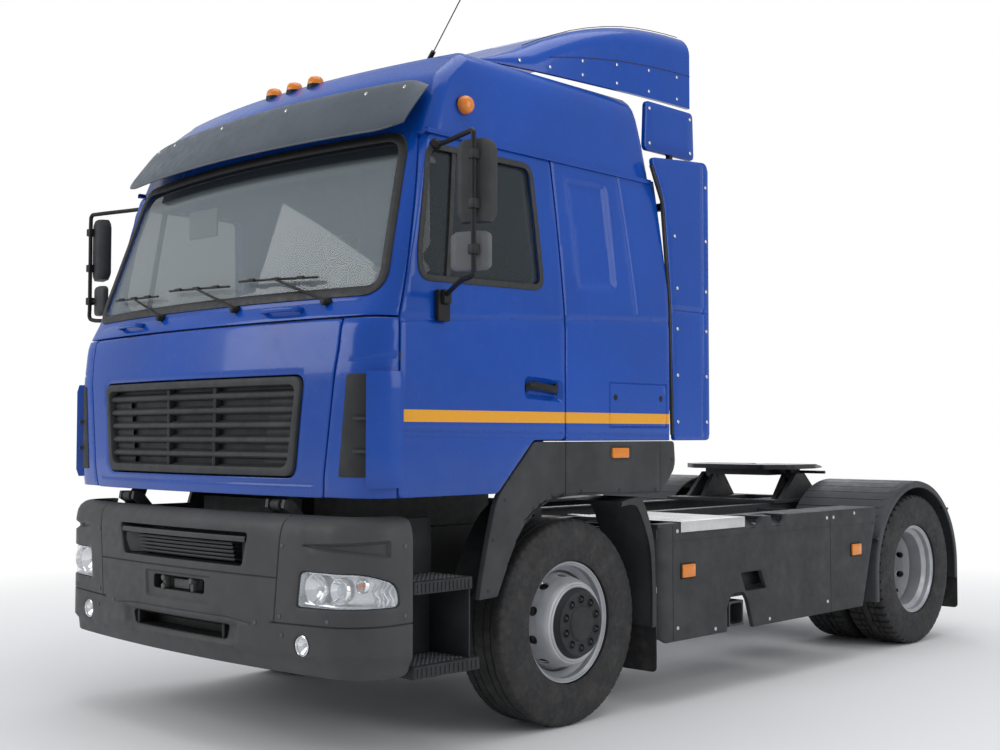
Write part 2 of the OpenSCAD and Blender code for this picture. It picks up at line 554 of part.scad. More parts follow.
tilt_y = -1370;
tilt_z = 1118;
tilt_pin_r = 15;
mount_x = [560, 600, 640, 680]; // faces of the clevis and of the lug in it
module cab_mounts() color("dimgray") both() {
    for (x = [mount_x[0], mount_x[3]])
        along_x(x, x + 20, [[frame_y0 - 45, rail_z + 90 + seat], [frame_y0 - 5, rail_z + 90 + seat],
            [frame_y0 - 5, tilt_z - 98], [tilt_y + 40, tilt_z + 10], [tilt_y + 15, tilt_z + 24],
            [tilt_y - 18, tilt_z + 24], [tilt_y - 24, tilt_z - 13], [tilt_y + 8, tilt_z - 32],
            [tilt_y + 70, tilt_z - 118]]);
    box([mount_x[0], frame_y0 - 60, rail_z + 90 + seat], [mount_x[3] + 20, frame_y0 - 4, rail_z + 120]);
    rod_x(mount_x[0] + 1, mount_x[3] + 19, tilt_y, tilt_z, tilt_pin_r);
    // rear bridge with a spring strut under the floor
    box([rail_in, 560, frame_top_z + seat], [rail_x, 620, frame_top_z + 60]);
    rod_z(rail_x - 40, 590, frame_top_z + 59, sill_z - 40, 34);
    rod_z(rail_x - 40, 590, sill_z - 60, sill_z - seat, 60);
    box([0, 570, frame_top_z + 60], [rail_x, 610, frame_top_z + 110]);
}

// ---------- steering and wheels ----------

ear_gap = 6;
arm_ball = [kingpin_x, 225]; // where the tie rod is pinned, seen from above
arm_z = tyre_r - boss_h / 2 - ear_gap - 38;
hub_x = front_wheel_x + rim_offset; // mounting plane of a front rim
module knuckle() color("dimgray") difference() {
    union() {
        rod_z(kingpin_x, 0, tyre_r + boss_h / 2 + ear_gap, tyre_r + boss_h / 2 + ear_gap + 38, 50);
        rod_z(kingpin_x, 0, arm_z, arm_z + 38, 50);
        rod_z(kingpin_x, 0, arm_z + 5, tyre_r + boss_h / 2 + ear_gap + 30, kingpin_r);
        box([kingpin_x, -45, tyre_r + boss_h / 2 + ear_gap], [kingpin_x + 85, 45, tyre_r + boss_h / 2 + ear_gap + 38]);
        box([kingpin_x, -45, arm_z], [kingpin_x + 85, 45, arm_z + 38]);
        box([kingpin_x + 56, -60, arm_z], [kingpin_x + 85, 60, tyre_r + boss_h / 2 + ear_gap + 38]);
        rod_x(kingpin_x + 60, hub_x - 20, 0, tyre_r, stub_r);
        rod_x(hub_x - 20, hub_x - 5, 0, tyre_r, stub_r + 12);
        // steering arm
        along_z(arm_z, arm_z + 24, [[kingpin_x - 40, 0], [kingpin_x + 40, 0], [arm_ball.x + 24, arm_ball.y],
            [arm_ball.x + 14, arm_ball.y + 24], [arm_ball.x - 14, arm_ball.y + 24], [arm_ball.x - 24, arm_ball.y]]);
    }
    rod_z(arm_ball.x, arm_ball.y, arm_z - eps, arm_z + 24 + eps, 12.5);
}
module tie_rod() color("dimgray") {
    rod_x(-arm_ball.x + 20, arm_ball.x - 20, arm_ball.y, arm_z - 26, 18);
    both() {
        rod_z(arm_ball.x, arm_ball.y, arm_z - 46, arm_z - 6, 26);
        rod_z(arm_ball.x, arm_ball.y, arm_z - 8, arm_z + 24, 12);
    }
}

bead_r = rim_r - 13;
tyre_half = tyre_w / 2;
rim_half = rim_w / 2;
// A tyre with its middle plane at x
module tyre(x) translate([x, 0, tyre_r]) rotate([0, 90, 0]) rotate_extrude($fn = 96) polygon(concat(
    [[bead_r + seat, -rim_half + 16], [rim_r + 6, -rim_half + 16]],
    [for (a = [-60:15:60]) [(tyre_r + rim_r) / 2 - 8 - sin(a * -1) * (tyre_r - rim_r) / 2 * 0.92, -tyre_half + 20 - 20 * cos(a)]],
    [[tyre_r - 3, -tyre_half + 26], [tyre_r, -tyre_half + 40], [tyre_r, tyre_half - 40], [tyre_r - 3, tyre_half - 26]],
    [for (a = [60:-15:-60]) [(tyre_r + rim_r) / 2 - 8 - sin(a * -1) * (tyre_r - rim_r) / 2 * 0.92, tyre_half - 20 + 20 * cos(a)]],
    [[rim_r + 6, rim_half - 16], [bead_r + seat, rim_half - 16]]));

// A rim with its middle plane at x = 0 and its mounting face at x = rim_offset, as a profile of [radius, x]
disc_t = 14;
hub_bore_r = 60;
rim_profile = [[rim_r, -rim_half], [rim_r, -rim_half + 7], [bead_r, -rim_half + 15.5], [bead_r, -rim_half + 40],
    [bead_r - 26, -rim_half + 60], [bead_r - 26, rim_half - 60], [bead_r, rim_half - 40], [bead_r, rim_half - 15.5],
    [rim_r, rim_half - 7], [rim_r, rim_half], [rim_r - 9, rim_half], [bead_r - 10, rim_half - 14],
    [bead_r - 10, rim_half - 44], [bead_r - 36, rim_half - 64], [bead_r - 36, 40 + disc_t], [bead_r - 50, 70 + disc_t],
    [205, rim_offset - 12], [192, rim_offset], [hub_bore_r, rim_offset], [hub_bore_r, rim_offset - disc_t],
    [186, rim_offset - disc_t], [196, rim_offset - 24], [bead_r - 58, 70], [bead_r - 42, 36], [bead_r - 36, 30],
    [bead_r - 36, -rim_half + 64], [bead_r - 10, -rim_half + 44], [bead_r - 10, -rim_half + 14], [rim_r - 9, -rim_half]];
window_r = bead_r - 54; // pitch radius of the vent holes in the disc
module rim(r_bore) difference() {
    rotate([0, 90, 0]) rotate_extrude($fn = 96) polygon([for (p = rim_profile) p.x == hub_bore_r ? [r_bore, p.y] : p]);
    for (i = [0:9]) rotate([i * 36 + 18, 0, 0]) translate([40, 0, window_r]) rotate([0, 90, 0])
        cylinder(r = 24, h = rim_offset, $fn = 32);
}
// Front wheel: rim, hub and brake drum turning on the stub axle, with ten nuts on the cover
module front_rim() color("silver") translate([front_wheel_x, 0, tyre_r]) {
    difference() {
        union() {
            rim(stub_r + 20);
            rod_x(rim_offset - 60, rim_offset + 34, 0, 0, 168);
            rod_x(-20, rim_offset - 59, 0, 0, 150);
            rod_x(-60, 60, 0, 0, 205);
        }
        rod_x(-61, rim_offset - 18, 0, 0, stub_r + 0.5);
        rod_x(rim_offset - 24, rim_offset + 2, 0, 0, stub_r + 18);
        rod_x(-61, -10, 0, 0, 120);
    }
    for (i = [0:9]) rotate([i * 36, 0, 0]) rod_x(rim_offset + 33, rim_offset + 48, 0, 142, 15);
}
// Twin rear wheels bolted face to face on one hub
module rear_rims() color("silver") translate([0, wheelbase, tyre_r]) difference() {
    union() {
        translate([rear_wheel_x, 0, 0]) mirror([1, 0, 0]) rim(spindle_r + 20);
        translate([rear_wheel_x - 2 * rim_offset, 0, 0]) rim(spindle_r + 20);
        rod_x(spindle_x - 90, spindle_x + 100, 0, 0, 120);
        rod_x(spindle_x - 160, spindle_x - 40, 0, 0, 195);
        for (i = [0:9]) rotate([i * 36, 0, 0]) rod_x(spindle_x, spindle_x + 40, 0, 168, 15);
    }
    rod_x(spindle_x - 161, spindle_x + 58, 0, 0, spindle_r + 0.5);
    rod_x(spindle_x + 57, spindle_x + 84, 0, 0, spindle_r + 18);
    rod_x(spindle_x - 161, spindle_x - 120, 0, 0, 150);
}

// ---------- cab ----------

cab_in = cab_half - wall_t;
floor_t = 70;
// Floor with the lower front wall, the sills and the lugs that the cab tilts on
module cab_floor() color("gray") difference() {
    union() {
        box([-cab_half + door_t + 10, -1230, sill_z], [cab_half - door_t - 10, cab_rear_y - wall_t - 1, sill_z + floor_t]);
        box([-cab_in + 1, -110, sill_z], [cab_in - 1, cab_rear_y - wall_t - 1, sill_z + floor_t]);
        box([-930, -1310, cab_bottom_z + 25], [930, -1272, flap_top_z - 6]);
        box([-930, -1273, sill_z], [930, -1229, sill_z + floor_t]);
        both() {
            box([930 - 1, -1262, cab_bottom_z + 12], [cab_half - 120, -1232, flap_top_z - 6]);
            box([900, -1273, cab_bottom_z + 25], [930, -1231, flap_top_z - 6]);
            // step well behind the door's lower panel
            box([step_in, -1231, cab_bottom_z + 12], [step_in + 25, -700, sill_z]);
            box([step_in, -1231, cab_bottom_z + 12], [cab_half - door_t - 20, -700, cab_bottom_z + 30]);
            along_x(mount_x[1] + 1, mount_x[2] + 19, [[tilt_y, tilt_z - 22], [tilt_y, tilt_z + 25], [tilt_y + 22, tilt_z + 25],
                [-1310, cab_bottom_z + 45], [-1273, cab_bottom_z + 45], [-1273, cab_bottom_z + 26], [-1300, tilt_z - 5]]);
            rod_x(mount_x[1] + 1, mount_x[2] + 19, tilt_y, tilt_z, tilt_pin_r + 11);
        }
    }
    both() rod_x(mount_x[1] - eps, mount_x[2] + 25, tilt_y, tilt_z, tilt_pin_r + 0.5);
}

screen_outline = rounded([[-1160, screen_base_z + 22], [1160, screen_base_z + 22], [1062, screen_top_z - 60],
    [-1062, screen_top_z - 60]], 75);
glass_outline = rounded([[-1160 + 2 * seat, screen_base_z + 22 + seat], [1160 - 2 * seat, screen_base_z + 22 + seat],
    [1062 - 2 * seat, screen_top_z - 60 - seat], [-1062 + 2 * seat, screen_top_z - 60 - seat]], 75);
frame_z = concat([flap_top_z + shut_gap], [screen_base_z], [for (i = [1:6]) screen_base_z + (gutter_z - seat - screen_base_z) * i / 6]);
// Scuttle, windscreen pillars and header as one ring round the windscreen
module windscreen_frame() color("royalblue") {
    screen_ring();
    // middle knuckle of the flap's hinge
    rod_x(-19, 19, flap_hinge[0], flap_hinge[1], flap_pin_r);
    box([-19, flap_hinge[0] - 1, flap_hinge[1]], [19, flap_hinge[0] + 12, flap_hinge[1] + 8]);
}
wiper_x = [-350, 293, 894];
wiper_z = screen_base_z - 30; // height of the wipers' spindles
spindle_pin_r = 8;
module screen_ring() difference() {
    skin_sheet(concat([-2.12], [for (i = [len(corner_s) - 1:-1:1]) -corner_s[i]], front_s,
        [for (i = [1:len(corner_s) - 1]) corner_s[i]], [2.12]), frame_z, 0, 45);
    along_y(nose_y - 99, nose_y + 520, screen_outline);
    for (x = wiper_x) rod_y(x, nose_y - 99, nose_y + 300, wiper_z, spindle_pin_r + seat);
    // behind the doors' front seams
    along_x(-cab_half - 9, cab_half + 9, [[door_front_at(1700) - shut_gap, 1700], [door_front_at(belt_z) - shut_gap, belt_z],
        [door_front_at(gutter_z) - shut_gap, gutter_z], [0, gutter_z], [0, 1700]]);
}
module windscreen() color([0.6, 0.7, 0.75, 0.4]) intersection() {
    skin_sheet(front_s, frame_z, 14, 22);
    along_y(nose_y - 99, nose_y + 520, glass_outline);
}

// The seam beside the front flap: it leans outwards, then stands upright near the top so that the flap's
// upper corners stay clear of the corner panels as it swings
flap_edge = [[cab_half - 305, cab_bottom_z], [cab_half - 218, flap_top_z - 130], [cab_half - 218, flap_top_z]];
vane_z = [1205, 1702];
// Corner panels with the air vanes that stand off them
module corner_panels() color("royalblue") both() {
    difference() {
        skin_sheet(concat([0.6, 0.8, 0.9], corner_s, [2.05]), lower_z, 0, 30);
        along_y(nose_y - 99, -1000, [[0, cab_bottom_z - 9], [flap_edge[0].x + shut_gap, cab_bottom_z - 9],
            flap_edge[1] + [shut_gap, 0], [flap_edge[2].x + shut_gap, flap_top_z + 9], [0, flap_top_z + 9]]);
        along_x(cab_half - 99, cab_half + 9, [[door_front_at(cab_bottom_z) - shut_gap, cab_bottom_z - 9],
            [-900, cab_bottom_z - 9], [-900, flap_top_z + 9], [door_front_at(flap_top_z) - shut_gap, flap_top_z + 9]]);
    }
    vane(cab_half, vane_z);
    for (z = [1300, 1780]) box([cab_half - 210, -1345, z], [cab_half - 170, -1262 - seat, z + 40]);
}
// The cab's halves of the door hinges, seated on the rear edges of the corner panels
module door_hinges() color("dimgray") both() for (z = hinge_z) {
    top = z + 2 * knuckle_h;
    rod_z(hinge_at.x, hinge_at.y, z + knuckle_h + 1, top, hinge_r);
    box([hinge_at.x - 4, door_front_at(top) - shut_gap + seat, z + knuckle_h + 1], [hinge_at.x + 4, hinge_at.y, top]);
}
// A blister that leads air round the cab's corner: it stands off most near 56 degrees
module vane(h, z) {
    r = corner_at(z[0]);
    centre = [h - r, nose_y + setback_at(z[0]) + r];
    angles = [8:7.5:83];
    vane_pt = function(a, rr, zz) [centre.x + rr * sin(a), centre.y - rr * cos(a), zz];
    ring = function(zz, grow) concat([for (a = angles) vane_pt(a, r + 42 * grow * sin(1.6 * a), zz)],
        [for (i = [10:-1:0]) vane_pt(angles[0] + 7.5 * i, r - 15, zz)]);
    loft([ring(z[0] - 6, 0.3), ring(z[0] + 30, 1), ring(z[1] - 25, 1), ring(z[1], 0.5)]);
}

wall_z = concat([sill_z], upper_z);
module cab_side_walls() color("royalblue") both() intersection() {
    skin_sheet([2.3, 2.6, 3], wall_z, 0, wall_t);
    along_x(cab_half - 250, cab_half + 9, [[door_rear_at(sill_z) + shut_gap, sill_z - 9], [door_rear_at(belt_z) + shut_gap, belt_z],
        [door_rear_at(gutter_z) + shut_gap, gutter_z - seat], [cab_rear_y + 9, gutter_z - seat], [cab_rear_y + 9, sill_z - 9]]);
}
module cab_rear_wall() color("royalblue") {
    z = concat([sill_z + floor_t + seat], [for (h = upper_z) min(h, gutter_z - seat)]);
    sheet([for (a = [1, -1]) for (h = z) [a * (half_at(h) - wall_t - seat), rear_at(h), h]],
        [for (a = [1, -1]) for (h = z) [a * (half_at(h) - wall_t - seat), rear_at(h) - wall_t, h]], 1, len(z) - 1);
}

roof_t = 50;
// Height above the shoulder and distance from the edge of each roof ring
roof_rows = [[gutter_z - roof_z, 0], [-300, 0], [-200, 0], [-100, 0], [-40, 0], [-8, 12], [18, 45], [38, 110], [58, 260], [80, 560], [92, 900]];
// One ring of the roof, e inside its edge, t inside the skin, at height z
function roof_ring(row, t) = let (zr = min(roof_z, roof_z + row[0]), e = row[1] + t, h = half_at(zr) - e,
        r = max(80 - e, 30), y0 = nose_at(zr) + e, y1 = rear_at(zr) - e, b = setback_at(zr) * max(0, 1 - e / 700),
        z = roof_z + row[0] - (row[1] > 0 ? t : 0),
        half = concat([for (i = [0:5]) let (s = i / 6) [s * (h - r), y0 + b * s * s]],
            [for (a = [0:22.5:90]) [h - r + r * sin(a), y0 + b + r - r * cos(a)]],
            [for (a = [0:30:90]) [h - r + r * cos(a), y1 - r + r * sin(a)]]))
    concat([for (p = half) [p.x, p.y, z]], [for (i = [len(half) - 1:-1:1]) [-half[i].x, half[i].y, z]]);
module roof_solid() loft([for (r = roof_rows) roof_ring(r, 0)]);
module cab_roof() color("royalblue") difference() {
    roof_solid();
    loft(concat([roof_ring([gutter_z - roof_z - 9, 0], roof_t)], [for (i = [1:len(roof_rows) - 2]) roof_ring(roof_rows[i], roof_t)]));
}

visor_z = [gutter_z - 2, roof_z - 140];
// A point of the visor: s runs across it, v down it from 0 to 1, and t is out from its back
function visor_pt(s, v, t) = skin(s, visor_z[1] + (visor_z[0] - visor_z[1]) * v, -28 - t) - [0, 6 + 80 * v, 0];
visor_s = concat([-1.4, -1.2], front_s, [1.2, 1.4]);
module sun_visor() color("darkslategray") {
    sheet([for (s = visor_s) for (v = [1, 0.5, 0]) visor_pt(s, v, 7)], [for (s = visor_s) for (v = [1, 0.5, 0]) visor_pt(s, v, 0)],
        len(visor_s) - 1, 2);
    // brackets to the roof
    difference() {
        for (x = [-800, -270, 270, 800]) {
            y = nose_at(visor_z[1]) + 122 * pow(x / 1080, 2);
            box([x - 15, y - 45, visor_z[1] - 24], [x + 15, y + 20, visor_z[1] - 4]);
        }
        roof_solid();
    }
}

fairing_y = [-470, -330, -150, 60, 300, 560, 800, 1035];
fairing_top = [60, 110, 190, 285, 370, 430, 458, 470];
fairing_half = [1010, 1045, 1075, 1100, 1125, 1150, 1165, 1172];
fairing_t = 28;
// One cross-section of the roof fairing; t is the depth inside its skin
function fairing_ring(i, t, low) = let (h = fairing_half[i] - t, z1 = roof_z + fairing_top[i] - t, z0 = low,
        r = min(120, (z1 - z0) * 0.9), crown = 34)
    concat([[h, fairing_y[i], z0]], [for (a = [0:18:90]) [h - r + r * cos(a), fairing_y[i], z1 - r + r * sin(a)]],
        [for (k = [3:-1:-3]) [k / 4 * (h - r), fairing_y[i], z1 + crown * (1 - pow(k / 4, 2))]],
        [for (a = [90:18:180]) [-h + r + r * cos(a), fairing_y[i], z1 - r + r * sin(a)]], [[-h, fairing_y[i], z0]]);
module roof_fairing() color("royalblue") difference() {
    loft([for (i = [7:-1:0]) fairing_ring(i, 0, roof_z + 48)]);
    loft(concat([[for (p = fairing_ring(7, fairing_t, roof_z + 40)) p + [0, 40, 0]]],
        [for (i = [7:-1:1]) fairing_ring(i, fairing_t, roof_z + 40)]));
    cab_roof_space();
}
// The space that the domed roof takes, with the seat gap
module cab_roof_space() translate([0, 0, seat]) loft([for (r = [for (i = [3:len(roof_rows) - 1]) roof_rows[i]]) roof_ring(r, 0)]);

side_fairing_x = [cab_half - 28, cab_half];
side_fairing_y1 = 1100;
module side_fairings() color("royalblue") both() {
    along_x(side_fairing_x[0], side_fairing_x[1], rounded([[cab_rear_y + 42, sill_z], [side_fairing_y1, sill_z],
        [side_fairing_y1, 2944], [cab_rear_y - 155, 2900], [cab_rear_y - 40, 2700], [cab_rear_y + 20, 2160]], 14));
    along_x(side_fairing_x[0] - 80, side_fairing_x[0] - 52, rounded([[cab_rear_y - 105, 2960], [side_fairing_y1 - 20, 2960],
        [side_fairing_y1 - 30, roof_z + 30], [cab_rear_y - 90, roof_z + 30]], 20));
    // brackets from the rear wall
    for (z = [1560, 2160, 2640]) {
        box([half_at(z) - 200, rear_at(z) + seat, z], [half_at(z) - 120, rear_at(z) + 90, z + 40]);
        box([half_at(z) - 120 - eps, rear_at(z) + 50, z], [side_fairing_x[0] + 1, rear_at(z) + 90, z + 40]);
    }
    // brackets of the upper panel
    box([side_fairing_x[0] - 53, cab_rear_y + 120, 2880], [side_fairing_x[0] + 1, cab_rear_y + 150, 2910]);
    box([side_fairing_x[0] - 80, cab_rear_y + 120, 2880], [side_fairing_x[0] - 52, cab_rear_y + 150, 2962]);
}

// Wheel arch panels under the cab, with the liner over the tyre
arch_in = [[649, 1123], [-60, 1134], [-170, 1132], [-280, 1105], [-375, 1050], [-450, 960], [-520, 840], [-592, 689]];
arch_out = [[-715, 683], [-666, 921], [-603, 1120], [-588 + shut_gap + 4, 1165], [-352 + shut_gap + 4, sill_z - seat]];
module cab_fenders() color("darkslategray") both() {
    along_x(cab_half - 36, cab_half, concat([[768, sill_z - seat], [780, 1258]], arch_in, arch_out));
    along_x(cab_half - 330, cab_half - 35, concat([[649, 1123]], [for (i = [1:len(arch_in) - 1]) arch_in[i]],
        [[-620, 689], [-548, 855], [-474, 982], [-392, 1078], [-290, 1136], [-170, 1164], [-60, 1166], [649, 1155]]));
    for (y = [-40, 500]) box([cab_half - 300, y, 1150], [cab_half - 250, y + 50, sill_z - seat]);
}

// Three wipers parked along the foot of the windscreen
module wipers() color("black") for (x = wiper_x) {
    y = function(xx, z) skin(abs(xx) / (half_at(z) - corner_at(z)), z, 0).y;
    base_z = wiper_z;
    hub_y = y(x, base_z);
    blade = [[x - 620, y(x - 620, base_z + 136) - 22, base_z + 136], [x - 90, y(x - 90, base_z + 118) - 22, base_z + 118]];
    tip = (blade[0] + blade[1]) / 2 + [0, -4, 0];
    translate([x, hub_y - 12, base_z]) rotate([90, 0, 0]) cylinder(r = 17, h = 24);
    rod_y(x, hub_y - 16, hub_y + 40, base_z, spindle_pin_r);
    bar([x, hub_y - 26, base_z], tip, 8);
    bar(blade[0], blade[1], 7);
}

wheel_at = [560, -830, 2100];
module dashboard() color("dimgray") {
    back = [[-1030, 2010], [-960, 1900], [-1000, 1700], [-1120, 1560], [-1150, sill_z + floor_t + seat]];
    along_x(-898, 898, concat([[-1271, sill_z + floor_t + seat], [-1271, 1900], [-1240, 1990]], back));
    along_x(-1120, 1120, concat([[-1229, sill_z + floor_t + seat], [-1229, 1890], [-1170, 2000]], back));
    // steering column and wheel
    bar([wheel_at.x, -1010, 1900], wheel_at, 32);
    translate(wheel_at) rotate([-48, 0, 0]) {
        rotate_extrude() translate([225, 0]) circle(r = 15);
        for (a = [0:120:240]) rotate([0, 0, a + 90]) translate([0, -16, -6]) cube([225, 32, 12]);
        cylinder(r = 60, h = 30, center = true);
    }
}

seat_x = 560;
module seats() color("dimgray") both() {
    along_x(seat_x - 150, seat_x + 150, rect(-560, -200, sill_z + floor_t + seat, 1760));
    along_x(seat_x - 255, seat_x + 255, rounded(rect(-640, -120, 1750, 1890), 45));
    along_x(seat_x - 245, seat_x + 245, rounded([[-200, 1860], [-90, 1860], [20, 2440], [-90, 2455]], 45));
    along_x(seat_x - 130, seat_x + 130, rounded([[-98, 2440], [2, 2430], [22, 2610], [-60, 2620]], 35));
}
module bunk() color("dimgray") {
    box([-cab_in + 5, 90, 1850], [cab_in - 5, cab_rear_y - wall_t - 2, 1990]);
    for (x = [-cab_in + 5, cab_in - 45]) box([x, 100, sill_z + floor_t + seat], [x + 40, cab_rear_y - wall_t - 10, 1851]);
}

module roof_lamps() color("orange") difference() {
    union() {
        for (x = [-174, 0, 174]) rod_z(x, -815, roof_z - 18, roof_z + 56, 44);
        both() rod_x(half_at(2945) - 9, half_at(2945) + 50, -750, 2945, 44);
    }
    roof_solid();
}
module antenna() color("black") difference() {
    antenna_rod();
    roof_solid();
}
module antenna_rod() {
    base = [830, -660, roof_z + 12];
    bar(base, base + [62, -8, 60], 13);
    bar(base + [50, -6, 48], base + [330, -40, 316], 3);
}

// Flap over the service points, with a rounded opening for the grille
module front_flap() color("royalblue") {
    flap_skin();
    both() {
        rod_x(20, 60, flap_hinge[0], flap_hinge[1], flap_pin_r);
        box([20, flap_hinge[0] - 2, flap_hinge[1] - 8], [60, flap_hinge[0] + 8, flap_hinge[1]]);
    }
}
module flap_skin() difference() {
    intersection() {
        skin_sheet(front_s, lower_z, 0, 35);
        along_y(nose_y - 99, nose_y + 300, concat([[-flap_edge[0].x, cab_bottom_z - 9], [flap_edge[0].x, cab_bottom_z - 9],
            flap_edge[1], flap_edge[2] - [0, 1]], [for (i = [2, 1]) [-flap_edge[i].x, flap_edge[i].y - i + 1]]));
    }
    along_y(nose_y - 99, nose_y + 300, grille_outline(0));
}
function grille_outline(e) = rounded([[-783 + e, 1240 + e], [783 - e, 1240 + e], [837 - e, 1696 - e], [-837 + e, 1696 - e]], 55);
slot_rows = 5;
slot_h = 36;
slot_pitch = 68;
module grille() color("darkslategray") difference() {
    intersection() {
        skin_sheet(front_s, [cab_bottom_z + 60, 1300, 1500, flap_top_z - 200], 4, 44);
        along_y(nose_y - 99, nose_y + 300, grille_outline(2 * seat));
    }
    for (i = [0:slot_rows - 1]) for (k = [-1:1]) {
        z = 1284 + i * slot_pitch;
        w = 545 + i * 12;
        a = k == 0 ? -185 : k > 0 ? 203 : -w;
        b = k == 0 ? 185 : k > 0 ? w : -203;
        along_y(nose_y - 99, nose_y + 300, rect(a, b, z, z + slot_h));
    }
}

door_outline = [[door_front_at(door_bottom_z), door_bottom_z], [arch_y[0], door_bottom_z], [arch_y[1], sill_z + 5],
    [door_rear_at(sill_z), sill_z + 5], [door_rear_at(belt_z), belt_z], [door_rear_at(door_top_z), door_top_z],
    [door_front_at(door_top_z), door_top_z], [door_front_at(belt_z), belt_z]];
window_outline = [[-1068, 2125], [-288, 2140], [-330, 2715], [-985, 2715], [-1072, 2230]];
module door() {
    difference() {
        intersection() {
            skin_sheet([1.5, 1.7, 1.85, 2, 2.3, 2.75], [for (z = door_z) min(z, door_top_z)], 0, door_t);
            along_x(cab_half - 250, cab_half + 9, door_outline);
        }
        along_x(cab_half - 250, cab_half + 9, rounded(window_outline, 40));
        for (z = hinge_z) rod_z(hinge_at.x, hinge_at.y, z, z + 2 * knuckle_h + 1, hinge_r + 2);
    }
    for (z = hinge_z) {
        rod_z(hinge_at.x, hinge_at.y, z, z + knuckle_h, hinge_r);
        box([hinge_at.x - 4, hinge_at.y, z], [hinge_at.x + 4, hinge_at.y + 12, z + knuckle_h]);
    }
}
function shrunk(p, e) = let (c = [for (i = [0:1]) (min([for (q = p) q[i]]) + max([for (q = p) q[i]])) / 2])
    [for (q = p) q - [sign(q.x - c.x), sign(q.y - c.y)] * e];
module window_glass() intersection() {
    skin_sheet([1.5, 1.7, 1.85, 2, 2.3, 2.75], [for (z = door_z) min(z, door_top_z)], 12, 20);
    along_x(cab_half - 250, cab_half + 9, rounded(shrunk(window_outline, seat), 40));
}

mirror_at = [cab_half + 330, -1085]; // where the mirror's upright stands, seen from above
// Two mirrors on a bent tube, carried by two brackets on the door
module mirror_set() color("black") {
    top = [half_at(2740) + 2, -952, 2752];
    low = [cab_half + 30, -958, 2060];
    up = [mirror_at.x, mirror_at.y, 2690];
    down = [mirror_at.x, mirror_at.y, 2150];
    translate([half_at(2690) + seat, top.y, top.z - 30]) rotate([0, 90, 0]) cylinder(r = 26, h = 34);
    bar(top + [20, 0, -20], up, 10);
    rod_z(up.x, up.y, down.z, up.z, 11);
    bar(down, low, 10);
    for (p = [up, down]) translate(p) rotate([0, 0, 17]) sphere(r = 16);
    box([cab_half + seat, -1000, 1930], [cab_half + 52, -925, 2070]);
    // housings
    along_z(2330, 2680, rounded([[mirror_at.x - 150, mirror_at.y + 40], [mirror_at.x + 50, mirror_at.y - 22],
        [mirror_at.x + 62, mirror_at.y + 60], [mirror_at.x - 120, mirror_at.y + 120]], 26));
    along_z(2125, 2290, rounded([[mirror_at.x - 160, mirror_at.y + 30], [mirror_at.x + 30, mirror_at.y - 16],
        [mirror_at.x + 44, mirror_at.y + 44], [mirror_at.x - 140, mirror_at.y + 90]], 22));
}

place() frame();
place() front_bumper();
place() chassis_lamps();
place() engine_block();
place() propeller_shaft();
place() front_axle_beam();
place() suspension();
place() rear_axle();
place() tanks();
place() battery_box();
place() exhaust_silencer();
place() side_skirts();
place() cab_steps();
place() catwalk();
place() front_mudguards();
place() rear_fenders();
place() coupling_base();
place() coupling_plate();
place() cab_mounts();
place() knuckle();  // knuckle_left
place() mirror([1, 0, 0]) knuckle();  // knuckle_right
place() tie_rod();
place() color("black") tyre(front_wheel_x);  // tyre_front_left
place() color("black") tyre(-front_wheel_x);  // tyre_front_right
place() front_rim();  // rim_front_left
place() mirror([1, 0, 0]) front_rim();  // rim_front_right
place() rear_tyres();  // tyres_rear_left
place() mirror([1, 0, 0]) rear_tyres();  // tyres_rear_right
place() rear_rims();  // rims_rear_left
place() mirror([1, 0, 0]) rear_rims();  // rims_rear_right
place() cab_floor();
place() windscreen_frame();
place() corner_panels();
place() door_hinges();
place() cab_side_walls();
place() cab_rear_wall();
place() cab_roof();
place() windscreen();
place() sun_visor();
place() roof_fairing();
place() side_fairings();
place() cab_fenders();
place() wipers();
place() dashboard();
place() seats();
place() bunk();
place() roof_lamps();
place() antenna();
place() front_flap();
place() grille();
place() color("royalblue") door();  // left_door
place() mirror([1, 0, 0]) color("royalblue") door();  // right_door
place() color("slategray") window_glass();  // left_window
place() mirror([1, 0, 0]) color("slategray") window_glass();  // right_window
place() mirror_set();  // left_mirror
place() mirror([1, 0, 0]) mirror_set();  // right_mirror

module rear_tyres() color("black") translate([0, wheelbase, 0]) {
    tyre(rear_wheel_x);
    tyre(rear_wheel_x - 2 * rim_offset);
}
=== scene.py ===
import math
import bmesh
import bpy
import numpy as np
from mathutils import Matrix, Vector, geometry, kdtree


